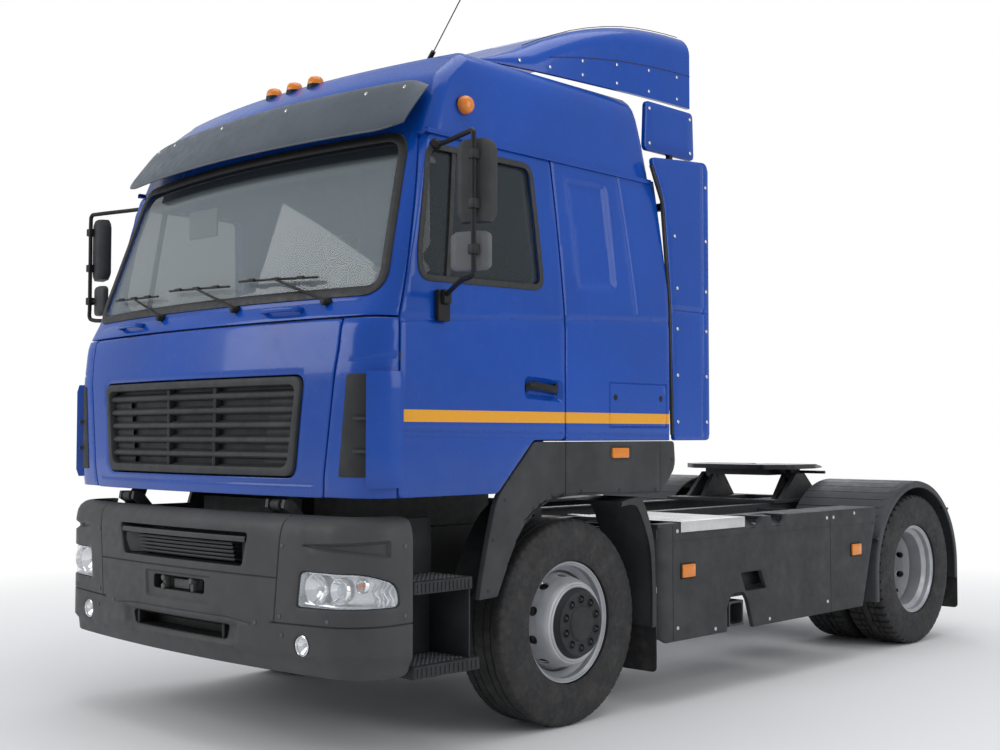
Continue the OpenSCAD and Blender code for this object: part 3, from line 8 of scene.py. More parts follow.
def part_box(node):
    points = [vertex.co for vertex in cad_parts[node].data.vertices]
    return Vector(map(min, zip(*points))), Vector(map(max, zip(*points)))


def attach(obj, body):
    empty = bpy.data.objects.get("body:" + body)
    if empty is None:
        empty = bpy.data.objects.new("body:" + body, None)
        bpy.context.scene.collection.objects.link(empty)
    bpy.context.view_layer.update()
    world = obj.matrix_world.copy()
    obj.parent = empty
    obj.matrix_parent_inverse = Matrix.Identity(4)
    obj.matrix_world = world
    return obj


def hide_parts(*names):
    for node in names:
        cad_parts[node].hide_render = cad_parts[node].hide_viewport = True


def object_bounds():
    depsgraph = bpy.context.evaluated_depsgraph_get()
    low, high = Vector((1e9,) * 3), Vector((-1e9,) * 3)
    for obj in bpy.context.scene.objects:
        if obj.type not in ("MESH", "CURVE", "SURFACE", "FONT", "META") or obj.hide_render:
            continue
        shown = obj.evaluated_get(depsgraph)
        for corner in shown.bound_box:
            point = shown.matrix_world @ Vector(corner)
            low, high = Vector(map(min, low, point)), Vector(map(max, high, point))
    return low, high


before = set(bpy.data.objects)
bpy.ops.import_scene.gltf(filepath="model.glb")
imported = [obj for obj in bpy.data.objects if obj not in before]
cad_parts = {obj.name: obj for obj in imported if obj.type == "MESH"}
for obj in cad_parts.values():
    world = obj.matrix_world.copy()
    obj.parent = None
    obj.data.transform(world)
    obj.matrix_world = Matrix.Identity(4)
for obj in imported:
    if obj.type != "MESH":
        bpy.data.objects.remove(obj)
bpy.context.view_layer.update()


# ---------------------------------------------------------------- sizes, in metres, from the frame

def mid(node):
    """Middle of a CAD node's box."""
    lo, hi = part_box(node)
    return (lo + hi) / 2


FRONT_Y = mid("tyre_front_left").y          # front axle
REAR_Y = mid("tyres_rear_left").y           # rear axle
WHEELBASE = REAR_Y - FRONT_Y
TYRE_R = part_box("tyre_front_left")[1].z / 2
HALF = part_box("cab_side_walls")[1].x        # half the cab's width below the windows
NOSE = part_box("front_flap")[0].y - FRONT_Y  # foremost point of the cab
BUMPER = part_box("front_bumper")[0].y - FRONT_Y
CAB_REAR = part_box("cab_rear_wall")[1].y - FRONT_Y
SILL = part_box("cab_side_walls")[0].z
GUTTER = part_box("cab_side_walls")[1].z
FRAME_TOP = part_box("frame")[1].z
ROOF = 3.200                                # height of the roof's shoulder
FLAP_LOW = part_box("front_flap")[0].z
FLAP_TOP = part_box("front_flap")[1].z
BELT = 1.950                                # where the walls start to lean inwards
LEAN = 0.055
SCREEN_LOW = FLAP_TOP + 0.112
SCREEN_TOP = GUTTER + 0.040
GAP = 0.008


def lookup(x, table):
    """The table's value at x, straight between its entries."""
    return float(np.interp(x, [t[0] for t in table], [t[1] for t in table]))


def smooth_lookup(x, table, reach=0.03):
    """A lookup with its corners rounded off."""
    return sum(lookup(x + reach * k / 3, table) for k in range(-3, 4)) / 7


NOSE_LINE = [(FLAP_LOW, NOSE + 0.012), (FLAP_LOW + 0.085, NOSE), (FLAP_TOP - 0.23, NOSE),
    (FLAP_TOP, NOSE + 0.024), (SCREEN_LOW, NOSE + 0.074), (SCREEN_TOP, NOSE + 0.329),
    (ROOF - 0.14, NOSE + 0.424), (ROOF, NOSE + 0.574)]
SETBACK_LINE = [(FLAP_TOP - 0.03, 0.071), (SCREEN_LOW, 0.122)]
CORNER_LINE = [(FLAP_TOP, 0.150), (SCREEN_LOW, 0.075)]
REAR_LINE = [(BELT + 0.25, CAB_REAR), (GUTTER, CAB_REAR - 0.06), (ROOF, CAB_REAR - 0.13)]
DOOR_FRONT = [(FLAP_LOW, -1.205), (BELT, -1.193), (GUTTER, -0.985)]
DOOR_REAR = [(BELT, -0.122), (GUTTER, -0.175)]


def half_at(z):
    """Half the cab's width at height z."""
    return HALF if z < BELT else HALF - LEAN * ((z - BELT) / (GUTTER - BELT)) ** 1.5


def nose_at(z):
    """Depth of the cab's front at height z."""
    return smooth_lookup(z, NOSE_LINE)


def rear_at(z):
    """Depth of the cab's rear wall at height z."""
    return lookup(z, REAR_LINE)


def wrap(u, z, t=0.0):
    """The cab's skin at distance u round from its middle and height z, t inside it."""
    sign = -1 if u < 0 else 1
    u = abs(u)
    h, r, b = half_at(z), smooth_lookup(z, CORNER_LINE), smooth_lookup(z, SETBACK_LINE)
    flat = h - r
    turn = math.atan(2 * b / flat)
    big = r / (1 - math.sin(turn))
    if u <= flat:
        slope = 2 * b * u / flat ** 2
        x, y = u, nose_at(z) + b * (u / flat) ** 2
        n = Vector((slope, -1)).normalized()
    else:
        a = min(turn + (u - flat) / big, math.pi / 2)
        x = flat + big * (math.sin(a) - math.sin(turn))
        y = nose_at(z) + b + big * (math.cos(turn) - math.cos(a))
        y += max(0, u - flat - big * (math.pi / 2 - turn))
        n = Vector((math.sin(a), -math.cos(a)))
    return Vector((sign * (x - n.x * t), y - n.y * t, z))


def halved(short, low, high, rounds=30):
    """The distance between low and high at which short() stops being true, by halving."""
    for _ in range(rounds):
        m = (low + high) / 2
        if short(m):
            low = m
        else:
            high = m
    return low


def wrap_u(y, z):
    """How far round the skin reaches depth y on the side."""
    return halved(lambda m: wrap(m, z).y < y, half_at(z) - 0.3, half_at(z) + 0.9)


def side(y, z, t=0.0):
    """The cab's left side at (y, z), t inside it."""
    return Vector((half_at(z) - t, y, z))


BUMPER_K, BUMPER_R, BUMPER_HALF = 0.061, 0.21, HALF - 0.005
BUMPER_LOW, BUMPER_TOP = 0.395, 1.080
BUMPER_BACK = -1.112
BUMPER_LEAN = [(BUMPER_LOW, 0.026), (BUMPER_LOW + 0.062, 0.020), (BUMPER_LOW + 0.075, 0.0),
    (BUMPER_TOP - 0.09, 0.0), (BUMPER_TOP - 0.04, 0.010), (BUMPER_TOP - 0.012, 0.032), (BUMPER_TOP, 0.062)]


def bumper(u, z, t=0.0):
    """The bumper's face at distance u round from its middle, t inside it."""
    t = t + smooth_lookup(z, BUMPER_LEAN, 0.006)
    sign = -1 if u < 0 else 1
    u = abs(u)
    flat = BUMPER_HALF - BUMPER_R
    turn = math.atan(2 * BUMPER_K * flat)
    big = BUMPER_R / (1 - math.sin(turn))
    if u <= flat:
        x, y = u, BUMPER + BUMPER_K * u * u
        n = Vector((2 * BUMPER_K * u, -1)).normalized()
    else:
        a = min(turn + (u - flat) / big, math.pi / 2)
        x = flat + big * (math.sin(a) - math.sin(turn))
        y = BUMPER + BUMPER_K * flat ** 2 + big * (math.cos(turn) - math.cos(a))
        y += max(0, u - flat - big * (math.pi / 2 - turn))
        n = Vector((math.sin(a), -math.cos(a)))
    return Vector((sign * (x - n.x * t), y - n.y * t, z))


# ---------------------------------------------------------------- materials

def new_material(name):
    """A material, its nodes, its links and its main shader."""
    m = bpy.data.materials.new(name)
    m.use_nodes = True
    return m, m.node_tree.nodes, m.node_tree.links, m.node_tree.nodes["Principled BSDF"]


def coords(nodes, links, scale=(1, 1, 1)):
    """Object coordinates, scaled."""
    tc = nodes.new("ShaderNodeTexCoord")
    mp = nodes.new("ShaderNodeMapping")
    mp.inputs["Scale"].default_value = scale
    links.new(tc.outputs["Object"], mp.inputs["Vector"])
    return mp.outputs["Vector"]


def noise(nodes, links, scale, detail=3.0, stretch=(1, 1, 1), rough=0.5):
    """A noise pattern's value."""
    n = nodes.new("ShaderNodeTexNoise")
    n.inputs["Scale"].default_value = scale
    n.inputs["Detail"].default_value = detail
    n.inputs["Roughness"].default_value = rough
    links.new(coords(nodes, links, stretch), n.inputs["Vector"])
    return n.outputs["Fac"]


def ramp(nodes, links, value, stops):
    """Colours for a value, from stops of (place, colour)."""
    r = nodes.new("ShaderNodeValToRGB")
    while len(r.color_ramp.elements) < len(stops):
        r.color_ramp.elements.new(0.5)
    for e, (p, c) in zip(r.color_ramp.elements, stops):
        e.position = p
        e.color = (*c, 1)
    links.new(value, r.inputs["Fac"])
    return r.outputs["Color"]


def to_range(nodes, links, value, low, high, a=0.0, b=1.0):
    """A value brought from low..high to a..b."""
    m = nodes.new("ShaderNodeMapRange")
    for k, v in zip(("From Min", "From Max", "To Min", "To Max"), (low, high, a, b)):
        m.inputs[k].default_value = v
    links.new(value, m.inputs["Value"])
    return m.outputs["Result"]


def bump(nodes, links, bsdf, height, strength, distance=0.001):
    """Gives a shader the small relief of a height."""
    b = nodes.new("ShaderNodeBump")
    b.inputs["Strength"].default_value = strength
    b.inputs["Distance"].default_value = distance
    links.new(height, b.inputs["Height"])
    links.new(b.outputs["Normal"], bsdf.inputs["Normal"])


def mix_colour(nodes, links, fac, a, b):
    """A colour between a and b, each a colour or a socket."""
    m = nodes.new("ShaderNodeMix")
    m.data_type = "RGBA"
    links.new(fac, m.inputs["Factor"])
    for socket, c in ((m.inputs[6], a), (m.inputs[7], b)):
        if isinstance(c, tuple):
            socket.default_value = (*c, 1)
        else:
            links.new(c, socket)
    return m.outputs[2]


def maths(nodes, links, op, a, b=None):
    """The result of a maths node; a and b are numbers or sockets."""
    m = nodes.new("ShaderNodeMath")
    m.operation = op
    for i, v in enumerate((a, b)):
        if v is None:
            continue
        if isinstance(v, (int, float)):
            m.inputs[i].default_value = v
        else:
            links.new(v, m.inputs[i])
    return m.outputs[0]


BLUE = (0.003, 0.062, 0.37)
ORANGE = (0.80, 0.36, 0.025)
STRIPE_Z = (1.487, 1.540)


def paint(name="paint_blue", stripe=False):
    """Gloss paint with a faint ripple, a little dust low down and, on the sides, the orange stripe."""
    m, n, l, b = new_material(name)
    tone = ramp(n, l, noise(n, l, 1.3, 2), [(0.35, tuple(0.90 * c for c in BLUE)),
        (0.7, tuple(1.10 * c for c in BLUE))])
    sep = n.new("ShaderNodeSeparateXYZ")
    l.new(coords(n, l), sep.inputs[0])
    dirt = maths(n, l, "MULTIPLY", to_range(n, l, sep.outputs["Z"], 1.75, 1.1, 0, 0.16), noise(n, l, 9, 6))
    colour = mix_colour(n, l, dirt, tone, (0.16, 0.18, 0.21))
    if stripe:
        above = maths(n, l, "GREATER_THAN", sep.outputs["Z"], STRIPE_Z[0])
        below = maths(n, l, "LESS_THAN", sep.outputs["Z"], STRIPE_Z[1])
        wide = maths(n, l, "GREATER_THAN", maths(n, l, "ABSOLUTE", sep.outputs["X"]), HALF - 0.012)
        mask = maths(n, l, "MULTIPLY", maths(n, l, "MULTIPLY", above, below), wide)
        colour = mix_colour(n, l, mask, colour, ORANGE)
    l.new(colour, b.inputs["Base Color"])
    l.new(to_range(n, l, noise(n, l, 14, 5), 0.3, 0.8, 0.20, 0.32), b.inputs["Roughness"])
    b.inputs["Coat Weight"].default_value = 0.25
    b.inputs["Coat Roughness"].default_value = 0.06
    b.inputs["Specular IOR Level"].default_value = 0.22
    bump(n, l, b, noise(n, l, 55, 2), 0.05, 0.001)
    return m


def plastic(name, colour, rough=0.55, grain=900, depth=0.25, dust=0.25):
    """Moulded plastic with a fine grain and grey dust in patches."""
    m, n, l, b = new_material(name)
    patch = to_range(n, l, noise(n, l, 6, 6, rough=0.6), 0.42, 0.75, 0, dust)
    pale = tuple(min(1, 1.5 * c + 0.05) for c in colour)
    tone = ramp(n, l, noise(n, l, 2.2, 4), [(0.3, tuple(0.86 * c for c in colour)),
        (0.75, tuple(1.14 * c for c in colour))])
    l.new(mix_colour(n, l, patch, tone, pale), b.inputs["Base Color"])
    l.new(to_range(n, l, noise(n, l, 18, 4), 0.3, 0.7, rough - 0.07, rough + 0.1), b.inputs["Roughness"])
    b.inputs["Specular IOR Level"].default_value = 0.2
    bump(n, l, b, noise(n, l, grain, 2), depth, 0.0006)
    return m


def metal(name, colour, rough=0.35, metallic=1.0, scratches=0.5):
    """Metal with fine scratches and uneven roughness."""
    m, n, l, b = new_material(name)
    tone = ramp(n, l, noise(n, l, 7, 5), [(0.3, tuple(0.82 * c for c in colour)),
        (0.7, tuple(1.08 * c for c in colour))])
    l.new(tone, b.inputs["Base Color"])
    b.inputs["Metallic"].default_value = metallic
    l.new(to_range(n, l, noise(n, l, 30, 6), 0.25, 0.75, rough * 0.75, min(1, rough * 1.4)),
        b.inputs["Roughness"])
    bump(n, l, b, noise(n, l, 120, 4, (1, 0.15, 1)), 0.12 * scratches, 0.0006)
    return m


def rubber(name, colour=(0.018, 0.018, 0.019), dust=0.35, rough=0.75):
    """Rubber with a dusty bloom."""
    m, n, l, b = new_material(name)
    patch = to_range(n, l, noise(n, l, 11, 7, rough=0.65), 0.45, 0.8, 0, dust)
    l.new(mix_colour(n, l, patch, colour, (0.10, 0.095, 0.088)), b.inputs["Base Color"])
    l.new(to_range(n, l, noise(n, l, 40, 4), 0.3, 0.7, rough - 0.08, rough + 0.12), b.inputs["Roughness"])
    bump(n, l, b, noise(n, l, 260, 4), 0.35, 0.0008)
    return m


def glass(name, colour=(0.80, 0.88, 0.90), alpha=0.30, band=None):
    """Tinted glass; band is a dark header: (height where it starts, height where it is full)."""
    m, n, l, b = new_material(name)
    b.inputs["Roughness"].default_value = 0.02
    b.inputs["Specular IOR Level"].default_value = 0.9
    if band:
        sep = n.new("ShaderNodeSeparateXYZ")
        l.new(coords(n, l), sep.inputs[0])
        fac = to_range(n, l, sep.outputs["Z"], band[0], band[1], 0, 1)
        l.new(mix_colour(n, l, fac, colour, (0.02, 0.025, 0.03)), b.inputs["Base Color"])
        l.new(to_range(n, l, fac, 0, 1, alpha, 0.93), b.inputs["Alpha"])
    else:
        l.new(ramp(n, l, noise(n, l, 3, 2), [(0.3, colour), (0.8, tuple(0.95 * c for c in colour))]),
            b.inputs["Base Color"])
        b.inputs["Specular IOR Level"].default_value = 0.35
        b.inputs["Alpha"].default_value = alpha
    return m


def lens(name, colour, alpha=0.45, ribs=260):
    """Ribbed lamp lens."""
    m, n, l, b = new_material(name)
    l.new(ramp(n, l, noise(n, l, 25, 3), [(0.3, tuple(0.9 * c for c in colour)), (0.8, colour)]),
        b.inputs["Base Color"])
    b.inputs["Roughness"].default_value = 0.06
    b.inputs["Coat Weight"].default_value = 0.25
    b.inputs["Alpha"].default_value = alpha
    w = n.new("ShaderNodeTexWave")
    w.inputs["Scale"].default_value = ribs
    l.new(coords(n, l), w.inputs["Vector"])
    bump(n, l, b, w.outputs["Fac"], 0.25, 0.0006)
    return m


def fabric(name, colour, scale=900):
    """Woven cloth: two crossed waves as threads, with soft colour change and sheen."""
    m, n, l, b = new_material(name)
    threads = []
    for stretch in ((1, 0, 0.3), (0, 1, 0.7)):
        w = n.new("ShaderNodeTexWave")
        w.inputs["Scale"].default_value = scale
        l.new(coords(n, l, stretch), w.inputs["Vector"])
        threads.append(w.outputs["Fac"])
    weave = maths(n, l, "MULTIPLY", threads[0], threads[1])
    tone = ramp(n, l, noise(n, l, 5, 4), [(0.3, tuple(0.8 * c for c in colour)),
        (0.75, tuple(1.2 * c for c in colour))])
    l.new(mix_colour(n, l, to_range(n, l, weave, 0, 1, 0, 0.3), tone, tuple(1.8 * c for c in colour)),
        b.inputs["Base Color"])
    b.inputs["Roughness"].default_value = 0.9
    b.inputs["Sheen Weight"].default_value = 0.35
    bump(n, l, b, weave, 0.4, 0.0006)
    return m


PAINT = paint()
PAINT_STRIPE = paint("paint_blue_stripe", True)
GREY = plastic("plastic_grey", (0.040, 0.041, 0.043))
BUMPER_GREY = plastic("bumper_grey", (0.062, 0.062, 0.063), 0.48, 900, 0.2, 0.12)
FENDER_GREY = plastic("fender_grey", (0.050, 0.052, 0.056), 0.45, 700, 0.1, 0.15)
GREY_DARK = plastic("plastic_grey_dark", (0.028, 0.029, 0.031))
GREY_LIGHT = plastic("plastic_grey_light", (0.115, 0.120, 0.128), 0.5)
VISOR = plastic("visor_grey", (0.070, 0.086, 0.106), 0.34, 700, 0.12, 0.12)
BLACK = plastic("black_plastic", (0.012, 0.012, 0.013), 0.42, 800, 0.15, 0.12)
INSIDE = plastic("interior_grey", (0.15, 0.155, 0.165), 0.7, 500, 0.3, 0.05)
INSIDE_PALE = plastic("interior_pale", (0.34, 0.34, 0.33), 0.75, 400, 0.25, 0.05)
SEAL = rubber("seal_rubber", (0.010, 0.010, 0.011), 0.12, 0.55)
TYRE = rubber("tyre_rubber")
FLAP_RUBBER = rubber("flap_rubber", (0.016, 0.016, 0.017), 0.5)
CHASSIS = metal("chassis_black", (0.032, 0.032, 0.034), 0.5, 0.0, 0.8)
CAST = metal("cast_grey", (0.10, 0.10, 0.10), 0.6, 0.3, 1.0)
STEEL = metal("screw_steel", (0.62, 0.62, 0.62), 0.3)
CHROME = metal("chrome", (0.86, 0.86, 0.87), 0.07, 1.0, 0.1)
RIM = metal("rim_silver", (0.42, 0.43, 0.45), 0.40, 0.35, 0.5)
ALUMINIUM = metal("aluminium", (0.62, 0.62, 0.61), 0.38, 0.9, 1.0)
COUPLING = metal("coupling_black", (0.022, 0.022, 0.024), 0.33, 0.35, 1.0)
GLASS = glass("side_glass", (0.035, 0.045, 0.05), 0.62)
SCREEN = glass("screen_glass", (0.36, 0.42, 0.44), 0.30, (SCREEN_TOP - 0.20, SCREEN_TOP - 0.13))
MIRROR = metal("mirror_silver", (0.8, 0.82, 0.84), 0.03, 1.0, 0.0)
LENS = lens("lamp_clear", (0.80, 0.84, 0.88), 0.16)
LENS_SOLID = lens("lamp_glass_solid", (0.70, 0.76, 0.80), 0.75)
LAMP_INSIDE = metal("lamp_surround", (0.74, 0.76, 0.78), 0.22, 0.75, 0.1)
AMBER = lens("lamp_amber", (0.85, 0.24, 0.01), 0.92)
RED = lens("lamp_red", (0.50, 0.01, 0.01), 0.95)
CLOTH = fabric("seat_cloth", (0.055, 0.065, 0.09))
CLOTH_PALE = fabric("bunk_cloth", (0.16, 0.17, 0.20))


# ---------------------------------------------------------------- mesh helpers


def shifted(points):
    """From front-axle coordinates to the row frame."""
    return [(p[0], p[1] + FRONT_Y, p[2]) for p in points]


def mesh(name, verts, faces, material, body, smooth=True, angle=40):
    """A piece from points in front-axle coordinates."""
    data = bpy.data.meshes.new(name)
    data.from_pydata(shifted(verts), [], faces)
    data.validate()
    data.materials.append(material)
    obj = bpy.data.objects.new(name, data)
    bpy.context.scene.collection.objects.link(obj)
    if smooth:
        data.polygons.foreach_set("use_smooth", [True] * len(data.polygons))
        data.set_sharp_from_angle(angle=math.radians(angle))
    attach(obj, body)
    return obj


def flipped(verts, faces):
    """The same piece mirrored to the other side."""
    return [(-v[0], v[1], v[2]) for v in verts], [tuple(reversed(f)) for f in faces]


def for_side(sign):
    """What turns a piece drawn for the left into the piece of the side in hand."""
    return flipped if sign < 0 else lambda verts, faces: (verts, faces)


def pair(name, verts, faces, material, body, **kw):
    """The same piece on both sides of the truck."""
    return [mesh(name + "_left", verts, faces, material, body, **kw),
        mesh(name + "_right", *flipped(verts, faces), material, body, **kw)]


def join(parts):
    """One list of points and faces from several."""
    verts, faces = [], []
    for v, f in parts:
        k = len(verts)
        verts += [tuple(p) for p in v]
        faces += [tuple(i + k for i in q) for q in f]
    return verts, faces


def box_part(lo, hi, r=0.004):
    """A box with chamfered edges."""
    bm = bmesh.new()
    bmesh.ops.create_cube(bm, size=1)
    lo, hi = Vector(lo), Vector(hi)
    c, s = (lo + hi) / 2, hi - lo
    for v in bm.verts:
        v.co = Vector((c.x + v.co.x * s.x, c.y + v.co.y * s.y, c.z + v.co.z * s.z))
    r = min(r, 0.45 * min(s))
    if r > 0:
        bmesh.ops.bevel(bm, geom=bm.edges[:], offset=r, segments=2, affect="EDGES", profile=0.6)
    out = [tuple(v.co) for v in bm.verts], [tuple(v.index for v in f.verts) for f in bm.faces]
    bm.free()
    return out


def lathe(profile, n=64, axis="x", at=(0, 0, 0), closed=False):
    """Turns (radius, along) points about an axis."""
    verts, faces = [], []
    m = len(profile)
    for i in range(n):
        a = 2 * math.pi * i / n
        for r, x in profile:
            p = (x, r * math.cos(a), r * math.sin(a))
            p = p if axis == "x" else (p[1], x, p[2]) if axis == "y" else (p[1], p[2], x)
            verts.append((at[0] + p[0], at[1] + p[1], at[2] + p[2]))
    last = m if closed else m - 1
    for i in range(n):
        for j in range(last):
            a, b = i * m + j, i * m + (j + 1) % m
            c, d = ((i + 1) % n) * m + (j + 1) % m, ((i + 1) % n) * m + j
            faces.append((a, b, c, d) if axis != "y" else (d, c, b, a))
    return verts, faces


def tube(points, r, n=12, ends=True):
    """A round tube along a line of points."""
    pts = [Vector(p) for p in points]
    verts, faces, up = [], [], None
    for i, p in enumerate(pts):
        d = (pts[min(i + 1, len(pts) - 1)] - pts[max(i - 1, 0)]).normalized()
        up = d.orthogonal().normalized() if up is None else (up - d * up.dot(d)).normalized()
        w = d.cross(up)
        verts += [tuple(p + up * (r * math.cos(2 * math.pi * k / n))
            + w * (r * math.sin(2 * math.pi * k / n))) for k in range(n)]
    for i in range(len(pts) - 1):
        for k in range(n):
            a, b = i * n + k, i * n + (k + 1) % n
            faces.append((a, b, b + n, a + n))
    if ends:
        faces += [tuple(reversed(range(n))), tuple(range((len(pts) - 1) * n, len(pts) * n))]
    return verts, faces


def curve_points(points, n=8):
    """A smooth line through the points (Catmull-Rom)."""
    p = [Vector(q) for q in points]
    p = [2 * p[0] - p[1]] + p + [2 * p[-1] - p[-2]]
    out = []
    for i in range(1, len(p) - 2):
        for k in range(n):
            t = k / n
            out.append(0.5 * (2 * p[i] + (p[i + 1] - p[i - 1]) * t
                + (2 * p[i - 1] - 5 * p[i] + 4 * p[i + 1] - p[i + 2]) * t * t
                + (3 * p[i] - p[i - 1] - 3 * p[i + 1] + p[i + 2]) * t ** 3))
    return out + [p[-2]]


def grid_part(rows, closed=False):
    """A surface from rows of points, each of the same length."""
    m = len(rows[0])
    verts = [tuple(p) for row in rows for p in row]
    faces = []
    for i in range(len(rows) - 1):
        for j in range(m if closed else m - 1):
            a, b = i * m + j, i * m + (j + 1) % m
            faces.append((a, b, b + m, a + m))
    return verts, faces


def capped(rings):
    """A skin over rings of points, with its two ends closed."""
    v, f = grid_part(rings, True)
    m = len(rings[0])
    return v, f + [tuple(reversed(range(m))), tuple(range(len(v) - m, len(v)))]


# outlines in a plane

def signed_area(p):
    """Area of an outline, above 0 when it runs counter-clockwise."""
    return 0.5 * sum(p[i][0] * p[(i + 1) % len(p)][1] - p[(i + 1) % len(p)][0] * p[i][1]
        for i in range(len(p)))


def ccw(p):
    """The outline, running counter-clockwise."""
    p = [tuple(q) for q in p]
    return p if signed_area(p) > 0 else p[::-1]


def rounded(points, r, n=6):
    """The outline with each corner rounded; r may be one number or one for each corner."""
    out = []
    k = len(points)
    radii = r if isinstance(r, (list, tuple)) else [r] * k
    for i, c in enumerate(points):
        c = Vector(c)
        a = c + (Vector(points[i - 1]) - c).normalized() * radii[i]
        b = c + (Vector(points[(i + 1) % k]) - c).normalized() * radii[i]
        if radii[i] <= 0:
            out.append(tuple(c))
            continue
        out += [tuple((1 - t) ** 2 * a + 2 * t * (1 - t) * c + t * t * b)
            for t in (j / n for j in range(n + 1))]
    return out


def rectangle(a0, a1, b0, b1, r=0.0):
    """A rectangle's outline, with corners rounded by r."""
    p = [(a0, b0), (a1, b0), (a1, b1), (a0, b1)]
    return rounded(p, r) if r else p


def circle(c, r, n=32):
    """A circle's outline, of n points."""
    return [(c[0] + r * math.cos(2 * math.pi * k / n), c[1] + r * math.sin(2 * math.pi * k / n))
        for k in range(n)]


def densify(p, step, closed=True):
    """The line with points no further apart than about a step."""
    out = []
    for i in range(len(p) if closed else len(p) - 1):
        a, b = Vector(p[i]), Vector(p[(i + 1) % len(p)])
        n = max(1, int((b - a).length / step + 0.5))
        out += [tuple(a + (b - a) * (k / n)) for k in range(n)]
    return out if closed else out + [tuple(p[-1])]


def inset(p, d):
    """A closed counter-clockwise outline moved inwards by d."""
    out = []
    k = len(p)
    for i in range(k):
        a, b, c = Vector(p[i - 1]), Vector(p[i]), Vector(p[(i + 1) % k])
        e, f = b - a, c - b
        if e.length < 1e-9 or f.length < 1e-9:
            out.append(tuple(b))
            continue
        e.normalize()
        f.normalize()
        n1, n2 = Vector((-e.y, e.x)), Vector((-f.y, f.x))
        s = n1 + n2
        s = n1 if s.length < 1e-6 else s.normalized()
        out.append(tuple(b + s * (d / max(0.5, s.dot(n1)))))
    return out


def inside(pts, poly):
    p = np.array(poly)
    q = np.roll(p, -1, axis=0)
    x, y = pts[:, 0:1], pts[:, 1:2]
    crosses = (p[:, 1] > y) != (q[:, 1] > y)
    with np.errstate(divide="ignore", invalid="ignore"):
        at = (q[:, 0] - p[:, 0]) * (y - p[:, 1]) / (q[:, 1] - p[:, 1]) + p[:, 0]
    return (np.sum(crosses & (x < at), axis=1) % 2) == 1


def distance(pts, line, closed=True):
    p = np.array(line, float)
    a, b = (p, np.roll(p, -1, axis=0)) if closed else (p[:-1], p[1:])
    d = b - a
    length = np.maximum((d ** 2).sum(1), 1e-12)
    best = np.full(len(pts), 1e9)
    for k in range(len(a)):
        t = np.clip(((pts - a[k]) @ d[k]) / length[k], 0, 1)
        best = np.minimum(best, np.hypot(*(pts - a[k] - t[:, None] * d[k]).T))
    return best


